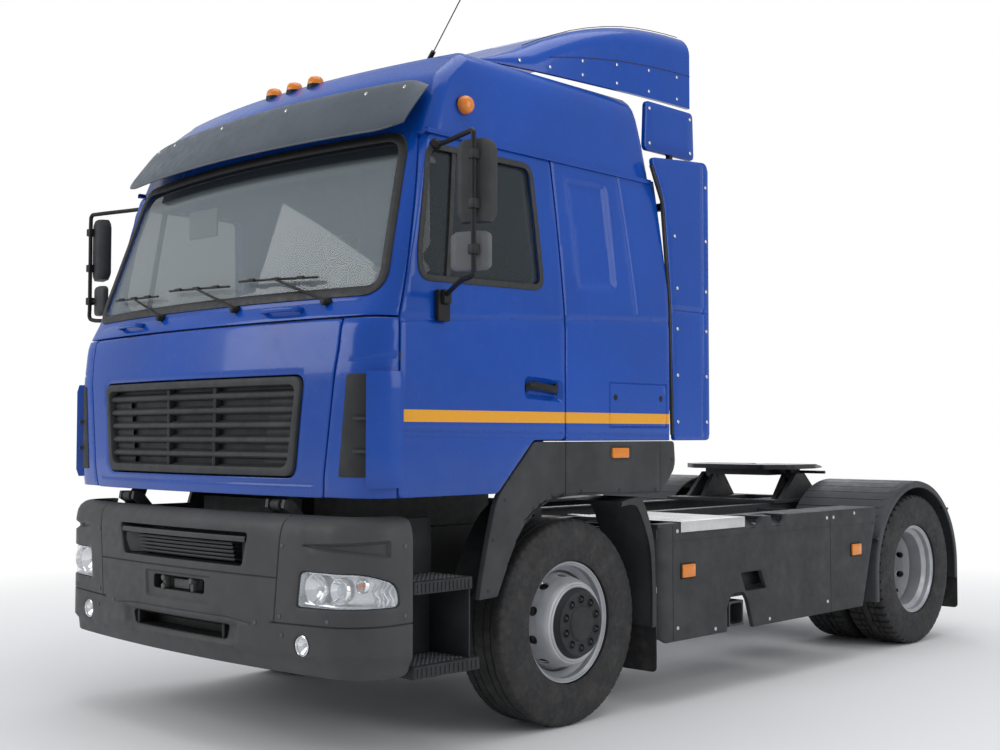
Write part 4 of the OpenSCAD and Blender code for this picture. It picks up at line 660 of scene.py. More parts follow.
def panel(outline, lift, holes=(), step=0.03, thick=0.025, lip=0.004, recesses=(), creases=()):
    """A thick panel over a plane outline, laid on a curved surface by lift(u, v, depth).
    recesses are (outline, depth, slope width); creases are (line, depth, half width); depth is inwards."""
    outer = ccw(densify(ccw(outline), step))
    inner = [ccw(densify(ccw(h), step)) for h in holes]
    pts, edges = [], []

    def add(line, closed=True):
        k = len(pts)
        pts.extend(line)
        n = len(line)
        edges.extend((k + i, k + (i + 1) % n) for i in range(n if closed else n - 1))

    add(outer)
    for h in inner:
        add(h)
    soft = []
    for f in (0.3, 1.0):
        soft.append((inset(outer, lip * f), True))
        soft += [(inset(h, -lip * f), True) for h in inner]
    for line, depth, width in recesses:
        line = ccw(densify(ccw(line), step))
        for f in (0, 0.5, 1):
            soft.append((inset(line, width * f), True))
    for line, depth, width in creases:
        line = densify(line, step, False)
        for f in (-1, -0.5, 0, 0.5, 1):
            moved = []
            for i, p in enumerate(line):
                d = (Vector(line[min(i + 1, len(line) - 1)]) - Vector(line[max(i - 1, 0)])).normalized()
                moved.append((p[0] - d.y * width * f, p[1] + d.x * width * f))
            soft.append((moved, False))
    for line, closed in soft:
        a = np.array(line)
        ok = inside(a, outer)
        for h in inner:
            ok &= ~inside(a, h)
        if ok.all():
            add(line, closed)
        else:
            pts.extend(p for p, k in zip(line, ok) if k)
    lo, hi = np.min(outer, axis=0), np.max(outer, axis=0)
    tree = kdtree.KDTree(len(pts))
    for i, p in enumerate(pts):
        tree.insert((p[0], p[1], 0), i)
    tree.balance()
    grid = np.array([(x, y) for x in np.arange(lo[0] + step / 2, hi[0], step)
        for y in np.arange(lo[1] + step / 2, hi[1], step)])
    if len(grid):
        grid = grid[inside(grid, outer)]
        for h in inner:
            grid = grid[~inside(grid, h)]
    pts += [tuple(g) for g in grid if tree.find((g[0], g[1], 0))[2] > 0.45 * step]
    vs, _, tris, *_ = geometry.delaunay_2d_cdt([Vector(p) for p in pts], edges, [], 0, 1e-6)
    uv = np.array([(v.x, v.y) for v in vs])
    tri = np.array([t for t in tris if len(t) == 3])
    c = uv[tri].mean(axis=1)
    keep = inside(c, outer)
    for h in inner:
        keep &= ~inside(c, h)
    tri = tri[keep]
    d = distance(uv, outer)
    for h in inner:
        d = np.minimum(d, distance(uv, h))
    depth = np.where(d < lip, lip - np.sqrt(np.maximum(0, lip ** 2 - (lip - d) ** 2)), 0)
    for line, deep, width in recesses:
        line = ccw(densify(ccw(line), step))
        s = np.clip(np.where(inside(uv, line), distance(uv, line), 0) / width, 0, 1)
        depth += deep * s * s * (3 - 2 * s)
    for line, deep, width in creases:
        s = np.clip(1 - distance(uv, densify(line, step, False), False) / width, 0, 1)
        depth += deep * s * s * (3 - 2 * s)
    used = np.unique(tri)
    number = {int(k): i for i, k in enumerate(used)}
    n = len(used)
    verts = [lift(uv[k][0], uv[k][1], depth[k]) for k in used] + [lift(uv[k][0], uv[k][1], thick)
        for k in used]
    faces = []
    border = {}
    for t in tri:
        a = [number[int(k)] for k in t]
        x, y, z = uv[t[0]], uv[t[1]], uv[t[2]]
        if (y[0] - x[0]) * (z[1] - x[1]) - (z[0] - x[0]) * (y[1] - x[1]) < 0:
            a.reverse()
        faces.append(tuple(a))
        faces.append(tuple(k + n for k in reversed(a)))
        for i in range(3):
            border[(a[i], a[(i + 1) % 3])] = True
    for a, b in border:
        if (b, a) not in border:
            faces.append((b, a, a + n, b + n))
    return [tuple(v) for v in verts], faces


def gasket(loop, lift, width, height, step=0.03, depth=0.0):
    """A raised rubber strip with a round top along a closed loop."""
    loop = ccw(densify(ccw(loop), step))
    rows = []
    for f, h in ((-1, -0.004), (-0.9, 0.7), (-0.5, 1), (0, 1.1), (0.5, 1), (0.9, 0.7), (1, -0.004)):
        moved = inset(loop, f * width / 2)
        rows.append([lift(u, v, depth - h * height) for u, v in moved])
    v, f = grid_part(rows, True)
    m = len(loop)
    k = (len(rows) - 1) * m
    f += [(j, k + j, k + (j + 1) % m, (j + 1) % m) for j in range(m)]
    return v, f


def screw_heads(places, r=0.009, h=0.004):
    """Domed round screw heads; places are (point, direction they face)."""
    parts = []
    for p, d in places:
        d = Vector(d).normalized()
        a = d.orthogonal().normalized()
        b = d.cross(a)
        rings = [(1.0, 0), (0.95, 0.6), (0.6, 0.95), (0.25, 1.0)]
        verts = [tuple(Vector(p) + a * (r * q * math.cos(k * math.pi / 6))
            + b * (r * q * math.sin(k * math.pi / 6)) + d * (h * z)) for q, z in rings for k in range(12)]
        faces = [(i * 12 + k, i * 12 + (k + 1) % 12, (i + 1) * 12 + (k + 1) % 12, (i + 1) * 12 + k)
            for i in range(3) for k in range(12)]
        faces.append(tuple(range(36, 48)))
        faces.append(tuple(reversed(range(12))))
        parts.append((verts, faces))
    return join(parts)


# ---------------------------------------------------------------- the cab's skin

def trimmed_z(z0, z1, line, n=8, dy=0.0):
    """Points of a seam from height z0 to z1."""
    return [(lookup(z0 + (z1 - z0) * k / n, line) + dy, z0 + (z1 - z0) * k / n) for k in range(n + 1)]


def front_edge_u(z, line_dy):
    """Distance round the skin at which the seam in front of a door lies, at height z."""
    return wrap_u(lookup(z, DOOR_FRONT) + line_dy, z)


FLAP_EDGE = [(FLAP_LOW, HALF - 0.305), (FLAP_TOP - 0.13, HALF - 0.218), (FLAP_TOP, HALF - 0.218)]
GRILLE = [(-0.783, 1.240), (0.783, 1.240), (0.837, 1.696), (-0.837, 1.696)]
SCREEN_HOLE = [(-1.16, SCREEN_LOW + 0.022), (1.16, SCREEN_LOW + 0.022), (1.062, SCREEN_TOP - 0.06),
    (-1.062, SCREEN_TOP - 0.06)]


def across(x, z):
    """Distance round the skin for a point seen from the front at (x, z)."""
    sign = -1 if x < 0 else 1
    return sign * halved(lambda m: wrap(m, z).x < abs(x), 0, abs(x) + 0.5)


def on_nose(x, z, out):
    """The cab's skin seen from the front at (x, z), moved outwards by out."""
    return wrap(across(x, z), z, -out)


def on_skin(points):
    """Points seen from the front, as distance round the skin and height."""
    return [(across(x, z), z) for x, z in points]


# front flap, with an opening for the grille and a pressed line along its foot
flap_outline = rounded([(-across(lookup(FLAP_LOW, FLAP_EDGE), FLAP_LOW), FLAP_LOW),
    (across(lookup(FLAP_LOW, FLAP_EDGE), FLAP_LOW), FLAP_LOW),
    (across(FLAP_EDGE[1][1], FLAP_TOP - 0.13), FLAP_TOP - 0.13),
    (across(FLAP_EDGE[2][1], FLAP_TOP), FLAP_TOP), (-across(FLAP_EDGE[2][1], FLAP_TOP), FLAP_TOP),
    (-across(FLAP_EDGE[1][1], FLAP_TOP - 0.13), FLAP_TOP - 0.13)], [0.02, 0.02, 0.05, 0.03, 0.03, 0.05])
grille_hole = on_skin(rounded(GRILLE, 0.055))
flap = mesh("flap_panel", *panel(flap_outline, wrap, [grille_hole], 0.035, 0.030, 0.006,
    [(flap_outline, 0.0, 0.02)], [([(-0.88, FLAP_LOW + 0.055), (0.88, FLAP_LOW + 0.055)], 0.004, 0.010)]),
    PAINT, "front_flap")
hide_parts("front_flap")

# grille: raised rounded frame, six wide louvres, slots behind them and two dividers
RING_OUT = rounded([(-0.776, 1.247), (0.776, 1.247), (0.829, 1.689), (-0.829, 1.689)], 0.055)
RING_IN = rounded([(-0.735, 1.287), (0.735, 1.287), (0.788, 1.652), (-0.788, 1.652)], 0.045)
ring = panel(on_skin(RING_OUT), lambda u, z, t: wrap(u, z, t - 0.012), [on_skin(RING_IN)], 0.03, 0.045,
    0.010)
parts = [ring]
ROWS, PITCH, SLOT = 5, 0.068, 0.040
for i in range(ROWS + 1):
    z0 = 1.2865 + i * PITCH - (PITCH - SLOT)
    z1 = z0 + (PITCH - SLOT)
    w = 0.733 + 0.012 * i
    us = np.linspace(-w, w, 41)
    prof = [(z0 - 0.006, 0.040), (z0 + 0.002, 0.006), (z0 + 0.008, 0.000), (z1 - 0.004, 0.008),
        (z1 + 0.010, 0.040)]
    parts.append(grid_part([[wrap(u, z, t) for u in us] for z, t in prof]))
louvres = mesh("grille_louvres", *join(parts), GREY, "front_flap", angle=30)
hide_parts("grille")
parts = []
for x in (-0.194, 0.194):
    parts.append(grid_part([[wrap(x + dx + (z - 1.287) * 0.1 * (1 if x > 0 else -1) * 0.15, z, t)
        for z in np.linspace(1.275, 1.655, 12)] for dx, t in ((-0.012, 0.038), (-0.011, 0.010), (0, 0.006),
        (0.011, 0.010), (0.012, 0.038))]))
mesh("grille_dividers", *join(parts), GREY_DARK, "front_flap")
back = panel(on_skin(rounded([(-0.77, 1.26), (0.77, 1.26), (0.82, 1.68), (-0.82, 1.68)], 0.04)),
    lambda u, z, t: wrap(u, z, t + 0.040), (), 0.06, 0.006, 0.002)
mesh("grille_shadow_mesh", *back, BLACK, "front_flap")
side_blanks = []
for s in (-1, 1):
    for i in range(ROWS):
        z0 = 1.2865 + i * PITCH
        w0, w1 = 0.545 + 0.012 * i, 0.742 + 0.010 * i
        us = np.linspace(s * w0, s * w1, 10)
        side_blanks.append(grid_part([[wrap(u, z, t) for u in us]
            for z, t in ((z0 - 0.002, 0.030), (z0 + 0.02, 0.022), (z0 + SLOT, 0.030))]))
mesh("grille_side_blanks", *join(side_blanks), GREY_DARK, "front_flap")

# scuttle, pillars and header as one ring round the windscreen
TOP_Z = GUTTER - 0.002
ring_side = [(front_edge_u(z, -GAP), z) for z in np.linspace(FLAP_TOP + GAP, TOP_Z, 24)]
ring_outline = ring_side + [(-u, z) for u, z in reversed(ring_side)]
hole = on_skin(rounded(SCREEN_HOLE, 0.085))
scuttle = mesh("screen_surround", *panel(ring_outline, wrap, [hole], 0.035, 0.040, 0.005, (),
    [([(across(-1.05, SCREEN_LOW - 0.035), SCREEN_LOW - 0.035),
    (across(1.05, SCREEN_LOW - 0.035), SCREEN_LOW - 0.035)], 0.004, 0.014)]), PAINT, "cab")
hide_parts("windscreen_frame")
rubber_line = inset(ccw(densify(ccw(hole), 0.03)), -0.012)
mesh("screen_rubber", *gasket(rubber_line, wrap, 0.046, 0.010), SEAL, "cab")

# windscreen
pane = on_skin(rounded([(-1.156, SCREEN_LOW + 0.026), (1.156, SCREEN_LOW + 0.026),
    (1.058, SCREEN_TOP - 0.064), (-1.058, SCREEN_TOP - 0.064)], 0.082))
screen = mesh("screen_pane", *panel(pane, lambda u, z, t: wrap(u, z, t + 0.010), (), 0.05, 0.006, 0.001),
    SCREEN, "cab")
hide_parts("windscreen")

# corner panels with their air vanes
for sign, tag in ((1, "left"), (-1, "right")):
    zs = np.linspace(FLAP_LOW + 0.003, FLAP_TOP, 24)
    inner = [(across(lookup(z, FLAP_EDGE) + GAP, z), z) for z in zs]
    outer = [(front_edge_u(z, -GAP), z) for z in zs]
    outline = inner + outer[::-1]
    v, f = panel(outline, wrap, (), 0.03, 0.028, 0.005, (),
        [([(outer[0][0] - 0.20, 1.745), (outer[0][0], 1.765)], 0.003, 0.010)])
    o = mesh("corner_panel_" + tag, *for_side(sign)(v, f), PAINT, "cab")
    if sign > 0:
        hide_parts("corner_panels")


def vane_part(a0, a1, z0, z1, low_rise, thick=0.012, n=18, rise=0.040):
    """A curved blade that stands off the cab's corner, as a closed sheet; angles in degrees."""
    centre = Vector((HALF - 0.170, NOSE + 0.241))
    rows = []

    def stand(a, grow, inward):
        r = 0.170 + grow * (rise - 0.010 * max(0, (a - 38) / 50) ** 2) - inward
        return (centre.x + r * math.sin(math.radians(a)), centre.y - r * math.cos(math.radians(a)))
    for z in np.linspace(z0, z1, 14):
        e = min(1, (z - z0 + 0.004) / 0.035, (z1 - z + 0.006) / 0.03)
        grow = low_rise + (1 - low_rise) * math.sin(0.5 * math.pi * max(0, e))
        rows.append([(*stand(a, grow, 0.0), z) for a in np.linspace(a0, a1, n)]
            + [(*stand(a, grow, thick), z) for a in np.linspace(a1, a0, n)])
    return capped(rows)


pair("corner_vane", *vane_part(39, 87, 1.205, 1.702, 0.6, 0.036), PAINT, "cab", angle=50)
dark = [vane_part(20, 41, z - 0.007, z + 0.007, 0.8, 0.030, 8, 0.026) for z in (1.36, 1.50)]
pair("corner_vent_fins", *join(dark), GREY, "cab", angle=40)
opening = [(across(1.050, 1.25), 1.25), (wrap_u(NOSE + 0.118, 1.25), 1.25),
    (wrap_u(NOSE + 0.118, 1.69), 1.69), (across(1.095, 1.69), 1.69)]
pair("corner_vent_back", *panel(rounded(opening, 0.012), lambda u, z, t: wrap(u, z, t - 0.003), (), 0.03,
    0.003, 0.001), GREY_DARK, "cab")

# doors
WINDOW = [(-1.068, 2.125), (-0.288, 2.140), (-0.330, 2.715), (-0.985, 2.715), (-1.072, 2.230)]
DOOR_LOW = FLAP_LOW + 0.003
ARCH_FRONT, ARCH_REAR = -0.594, -0.347
door_outline = ([(lookup(DOOR_LOW, DOOR_FRONT), DOOR_LOW), (ARCH_FRONT, DOOR_LOW),
    (ARCH_REAR, SILL + 0.005)] + [(lookup(SILL, DOOR_REAR), SILL + 0.005)] + trimmed_z(BELT, GUTTER - GAP,
    DOOR_REAR, 4) + trimmed_z(GUTTER - GAP, BELT, DOOR_FRONT, 8))
door_outline = rounded(door_outline, [0.03, 0.02, 0.02, 0.03] + [0] * 4 + [0.03] + [0.04] + [0] * 8)
HANDLE = [(-0.412, 1.600), (-0.134, 1.586), (-0.134, 1.694), (-0.412, 1.708)]
crease_front = lookup(1.93, DOOR_FRONT)
door_creases = [([(crease_front, 1.925), (-0.13, 1.990)], 0.006, 0.016),
    ([(-1.195, 1.424), (-0.14, 1.414)], 0.005, 0.012), ([(-1.195, 1.448), (-0.14, 1.438)], 0.005, 0.012)]
window_hole = rounded(WINDOW, 0.05)
for sign, tag in ((1, "left"), (-1, "right")):
    v, f = panel(door_outline, side, [window_hole], 0.03, 0.060, 0.006,
        [(rounded(HANDLE, 0.03), 0.030, 0.028)], door_creases)
    o = mesh("door_panel_" + tag, *for_side(sign)(v, f), PAINT_STRIPE, "door_" + tag)
    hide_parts(tag + "_door")
    v, f = gasket(inset(ccw(densify(ccw(window_hole), 0.03)), -0.006), side, 0.030, 0.006)
    mesh("door_window_rubber_" + tag, *for_side(sign)(v, f), SEAL, "door_" + tag)
    v, f = panel(rounded([(y * 0.995 - 0.003, z) for y, z in WINDOW], 0.045),
        lambda y, z, t: side(y, z, t + 0.012), (), 0.06, 0.006, 0.001)
    o = mesh("door_pane_" + tag, *for_side(sign)(v, f), GLASS, "door_" + tag)
    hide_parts(tag + "_window")
    # quarter bar of the window, and door handle with its lock
    bits = [grid_part([[side(-0.905 + 0.075 * (z - 2.14) / 0.57 + dy, z, t)
        for z in np.linspace(2.13, 2.71, 8)] for dy, t in ((-0.014, 0.016), (-0.012, 0.002), (0.012, 0.002),
        (0.014, 0.016))])]
    v, f = join(bits)
    mesh("door_window_bar_" + tag, *for_side(sign)(v, f), SEAL, "door_" + tag)
    h = curve_points([(HALF - 0.020, -0.392, 1.655), (HALF - 0.001, -0.36, 1.662),
        (HALF + 0.004, -0.28, 1.657), (HALF - 0.001, -0.20, 1.648), (HALF - 0.020, -0.165, 1.640)], 6)
    rows = []
    for i, p in enumerate(h):
        rows.append([p + Vector((a * 0.008, 0, b * 0.018))
            for a, b in ((1, -0.6), (1.2, 0), (1, 0.6), (0.3, 1), (-0.8, 0.9), (-1, 0), (-0.8, -0.9),
            (0.3, -1))])
    v, f = capped(rows)
    f = [tuple(reversed(q)) for q in f]
    lock = lathe([(0.0, 0.0), (0.010, 0.0), (0.012, -0.002), (0.012, -0.02)], 20, "x",
        (HALF - 0.006, -0.175, 1.665))
    v, f = join([(v, f), lock])
    mesh("door_handle_" + tag, *for_side(sign)(v, f), BLACK, "door_" + tag)

# side walls behind the doors, with a pressed panel, a locker lid and the gutter
wall_outline = (trimmed_z(SILL, BELT, [(SILL, lookup(SILL, DOOR_REAR) + GAP),
    (BELT, lookup(BELT, DOOR_REAR) + GAP)], 2) + [(lookup(z, DOOR_REAR) + GAP, z)
    for z in (2.2, 2.5, GUTTER - 0.002)] + [(rear_at(z) - 0.001, z)
    for z in (GUTTER - 0.002, 2.6, 2.4, BELT + 0.25, 1.7, SILL)])
PRESSED = [(-0.012, 2.151), (0.295, 2.168), (0.254, 2.715), (-0.071, 2.710)]
wall_creases = [([(-0.112, 1.991), (0.404, 2.020), (0.73, 2.03)], 0.006, 0.016),
    ([(0.449, 2.055), (0.354, 2.770)], 0.005, 0.014), ([(-0.112, 1.414), (0.72, 1.404)], 0.005, 0.012),
    ([(-0.112, 1.438), (0.72, 1.428)], 0.005, 0.012),
    ([(0.223, 1.694), (0.699, 1.694), (0.699, 1.470), (0.223, 1.470), (0.223, 1.694)], 0.006, 0.007)]
for sign, tag in ((1, "left"), (-1, "right")):
    v, f = panel(wall_outline, side, (), 0.03, 0.045, 0.006, [(rounded(PRESSED, 0.04), 0.014, 0.03)],
        wall_creases)
    o = mesh("side_wall_" + tag, *for_side(sign)(v, f), PAINT_STRIPE, "cab")
    if sign > 0:
        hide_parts("cab_side_walls")
    gutter = grid_part([[(half_at(GUTTER + dz) + dx, y, GUTTER + dz - 0.012 * (y + 1.04) / 1.67)
        for y in np.linspace(-1.0, 0.63, 30)] for dx, dz in ((-0.01, -0.010), (0.010, -0.012),
        (0.014, -0.006), (0.013, 0.010), (0.006, 0.012), (-0.01, 0.012))])
    mesh("gutter_" + tag, *for_side(sign)(*gutter), PAINT, "cab")
    lock = lathe([(0.0, 0.004), (0.013, 0.003), (0.016, 0.0), (0.016, -0.01)], 20, "x", (HALF, 0.27, 1.62))
    mesh("locker_lock_" + tag, *for_side(sign)(*lock), BLACK, "cab")
    mesh("locker_catch_" + tag, *(for_side(sign)(*lathe([(0.0, 0.004), (0.013, 0.003), (0.016, 0.0),
        (0.016, -0.01)], 20, "x", (HALF, 0.65, 1.62)))), BLACK, "cab")


# ---------------------------------------------------------------- roof, visor and fairings

ROOF_ROWS = [(GUTTER - ROOF, 0), (-0.34, 0), (-0.27, 0), (-0.2, 0), (-0.14, 0), (-0.085, 0.002),
    (-0.04, 0.008), (-0.008, 0.022), (0.018, 0.05), (0.038, 0.11), (0.050, 0.18), (0.058, 0.26),
    (0.070, 0.40), (0.080, 0.56), (0.088, 0.72), (0.092, 0.90)]


def roof_ring(dz, e, t=0.0):
    """The roof's outline at height ROOF + dz, drawn in by e + t and lowered by t."""
    zr = min(ROOF, ROOF + dz)
    e += t
    h, r = half_at(zr) - e, max(0.08 - e, 0.03)
    y0, y1 = nose_at(zr) + e, rear_at(zr) - e
    b = lookup(zr, SETBACK_LINE) * max(0, 1 - e / 0.7)
    z = ROOF + dz - t
    half = [(s * (h - r), y0 + b * s * s) for s in np.linspace(0, 1, 13)[:-1]]
    half += [(h - r + r * math.sin(a), y0 + b + r - r * math.cos(a))
        for a in np.linspace(0, math.pi / 2, 9)]
    half += [(h, y0 + b + r + (y1 - y0 - b - 2 * r) * k / 8) for k in range(1, 8)]
    half += [(h - r + r * math.cos(a), y1 - r + r * math.sin(a)) for a in np.linspace(0, math.pi / 2, 7)]
    half += [((h - r) * (1 - k / 6), y1) for k in range(1, 7)]
    return [(x, y, z) for x, y in half] + [(-x, y, z) for x, y in reversed(half[1:-1])]


rows = [roof_ring(dz, e) for dz, e in ROOF_ROWS]
v, f = grid_part(rows, True)
m = len(rows[0])
f.append(tuple(range((len(rows) - 1) * m, len(rows) * m)))
inner = [roof_ring(GUTTER - ROOF, 0, 0.04), roof_ring(-0.3, 0, 0.04), roof_ring(-0.1, 0, 0.04),
    roof_ring(0.0, 0.06, 0.04), roof_ring(0.05, 0.3, 0.04)]
k = len(v)
vi, fi = grid_part(inner, True)
v += vi
f += [tuple(reversed([i + k for i in q])) for q in fi]
f.append(tuple(reversed(range(k + 4 * m, k + 5 * m))))
f += [(j, k + j, k + (j + 1) % m, (j + 1) % m) for j in range(m)]
roof = mesh("roof_shell", v, f, PAINT, "cab", angle=45)
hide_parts("cab_roof")

VISOR_Z = (GUTTER - 0.002, ROOF - 0.140)


def visor_point(x, v, t):
    """A point of the sun visor: v runs down it from 0 to 1, t is out from its back."""
    z = VISOR_Z[1] + (VISOR_Z[0] - VISOR_Z[1]) * v
    p = wrap(x, z, -0.028 - t)
    return (p.x, p.y - 0.006 - 0.080 * v ** 1.25 - 0.010 * math.sin(math.pi * min(1, v)), z)


VISOR_HALF = 1.135
us = np.linspace(-VISOR_HALF, VISOR_HALF, 61)


def visor_v(u, v):
    """The visor's lower edge dips at its ends and its upper corners are cut off."""
    e = max(0, (abs(u) - VISOR_HALF + 0.16) / 0.16)
    return v * (1 - 0.10 * e * e) + 0.10 * e * e * 0.9 * (1 - v) * 2.0


stations = [0, 0.03, 0.10, 0.25, 0.45, 0.62, 0.74, 0.86, 0.94, 0.98, 1.0]
outer_rows = [[visor_point(u, visor_v(u, s), 0.008 - 0.008 * (abs(s - 0.5) * 2) ** 12
    + 0.004 * math.exp(-((s - 0.70) / 0.035) ** 2)) for u in us] for s in stations]
inner_rows = [[visor_point(u, visor_v(u, s), -0.002) for u in us] for s in reversed(stations)]
v, f = grid_part(outer_rows + inner_rows)
n = len(us)
R = len(outer_rows) + len(inner_rows)
f += [((R - 1) * n + j, (R - 1) * n + j + 1, j + 1, j) for j in range(n - 1)]
f += [tuple(i * n for i in range(R)), tuple(reversed([i * n + n - 1 for i in range(R)]))]
f = [tuple(reversed(q)) for q in f]
visor = mesh("visor_blade", v, f, VISOR, "cab", angle=35)
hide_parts("sun_visor")
line = [visor_point(u, visor_v(u, 0.985), 0.006) for u in np.linspace(-1.09, 1.09, 60)]
mesh("visor_light_line", *tube(line, 0.0045, 8), GREY_LIGHT, "cab")
brackets = []
for x in (-0.8, -0.27, 0.27, 0.8):
    y = nose_at(VISOR_Z[1]) + 0.122 * (x / 1.08) ** 2
    brackets.append(box_part((x - 0.015, y - 0.040, VISOR_Z[1] - 0.03),
        (x + 0.015, y + 0.02, VISOR_Z[1] - 0.006)))
mesh("visor_brackets", *join(brackets), BLACK, "cab")
places = []
for u in (-1.02, -0.80, -0.27, 0.27, 0.80, 1.02):
    d = Vector((2 * 0.122 * u / 1.17 ** 2, -1, 0)).normalized()
    places.append((Vector(visor_point(u, 0.16, 0.008)), d + Vector((0, 0, 0.35))))
mesh("visor_screws", *screw_heads(places, 0.009, 0.004), STEEL, "cab")

FAIRING = [(-0.470, 0.060, 1.010), (-0.400, 0.082, 1.028), (-0.330, 0.110, 1.045), (-0.240, 0.148, 1.060),
    (-0.150, 0.190, 1.075), (-0.045, 0.240, 1.088), (0.060, 0.285, 1.100), (0.180, 0.332, 1.113),
    (0.300, 0.370, 1.125), (0.430, 0.404, 1.138), (0.560, 0.430, 1.150), (0.680, 0.447, 1.158),
    (0.800, 0.458, 1.165), (0.920, 0.466, 1.169), (1.035, 0.470, 1.172)]


def fairing_ring(y, top, half, t=0.0):
    """The roof fairing's outline at depth y, t inside its skin."""
    h, z1, z0 = half - t, ROOF + top - t, ROOF + 0.049
    r = min(0.12, (z1 - z0) * 0.9)
    up = [(h, z0 + (z1 - r - z0) * k / 3) for k in range(3)]
    arc = [(h - r + r * math.cos(a), z1 - r + r * math.sin(a)) for a in np.linspace(0, math.pi / 2, 9)]
    crown = [(k / 8 * (h - r), z1 + 0.034 * (1 - (k / 8) ** 2)) for k in range(7, 0, -1)]
    half_ring = up + arc + crown
    return [(x, y, z) for x, z in half_ring] + [(0, y, z1 + 0.034)] + [(-x, y, z)
        for x, z in reversed(half_ring)]


outer = [fairing_ring(*row) for row in FAIRING]
v, f = grid_part(outer)
m = len(outer[0])
inner = [fairing_ring(y, max(top, 0.085), half, 0.022) for y, top, half in reversed(FAIRING)]
v2, f2 = grid_part(inner)
k = len(v)
n = len(FAIRING)
v += v2
f += [tuple(i + k for i in q) for q in f2]
f += [(j + (n - 1) * m, j + 1 + (n - 1) * m, k + j + 1, k + j) for j in range(m - 1)]
f += [(j + 1, j, k + (n - 1) * m + j, k + (n - 1) * m + j + 1) for j in range(m - 1)]
for j, e in ((0, 1), (m - 1, -1)):
    for i in range(n - 1):
        q = (i * m + j, k + (n - 1 - i) * m + j, k + (n - 2 - i) * m + j, (i + 1) * m + j)
        f.append(q if e > 0 else tuple(reversed(q)))
fairing = mesh("roof_spoiler", v, f, PAINT, "cab", angle=45)
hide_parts("roof_fairing")
# its front foot, a seam along each flank and the lid over the middle
foot = tube(curve_points([(-1.005, -0.462, ROOF + 0.052), (-0.7, -0.478, ROOF + 0.086),
    (0, -0.480, ROOF + 0.096), (0.7, -0.478, ROOF + 0.086), (1.005, -0.462, ROOF + 0.052)], 10), 0.008, 8)
mesh("spoiler_foot_seal", *foot, SEAL, "cab")
for sign, tag in ((1, "left"), (-1, "right")):
    seam = [(sign * (half + 0.0005), y, ROOF + 0.06 + (top - 0.06) * 0.42) for y, top, half in FAIRING[5:]]
    mesh("spoiler_seam_" + tag, *tube(seam, 0.0022, 6), SEAL, "cab")
    seam = [(sign * (half - 0.085), y, ROOF + top + 0.0005) for y, top, half in FAIRING[4:]]
    mesh("spoiler_top_seam_" + tag, *tube([(x, y, z + 0.002) for x, y, z in seam], 0.0022, 6), SEAL, "cab")
    places = []
    for y, top, half in FAIRING[3::2]:
        places.append(((sign * half, y, ROOF + 0.085), (sign, 0, 0)))
        if top > 0.3:
            places.append(((sign * half, y, ROOF + 0.06 + (top - 0.06) * 0.36), (sign, 0, 0)))
    mesh("spoiler_screws_" + tag, *screw_heads(places, 0.009, 0.0035), STEEL, "cab")

# side deflectors behind the cab: a lower and an upper panel with rubber edges
DEFLECTOR = [(CAB_REAR + 0.042, SILL), (1.100, SILL), (1.100, 2.944), (CAB_REAR - 0.155, 2.900),
    (CAB_REAR - 0.040, 2.700), (CAB_REAR + 0.020, 2.160)]
UPPER = [(CAB_REAR - 0.105, 2.960), (1.080, 2.960), (1.070, ROOF + 0.030), (CAB_REAR - 0.090, ROOF + 0.030)]


def deflector_lift(y, z, t):
    """The side deflector's plane, t inside it."""
    return Vector((HALF - t - 0.002, y, z))


def upper_lift(y, z, t):
    """The plane of the side deflector's upper part, t inside it."""
    return Vector((HALF - 0.081 - t, y, z))


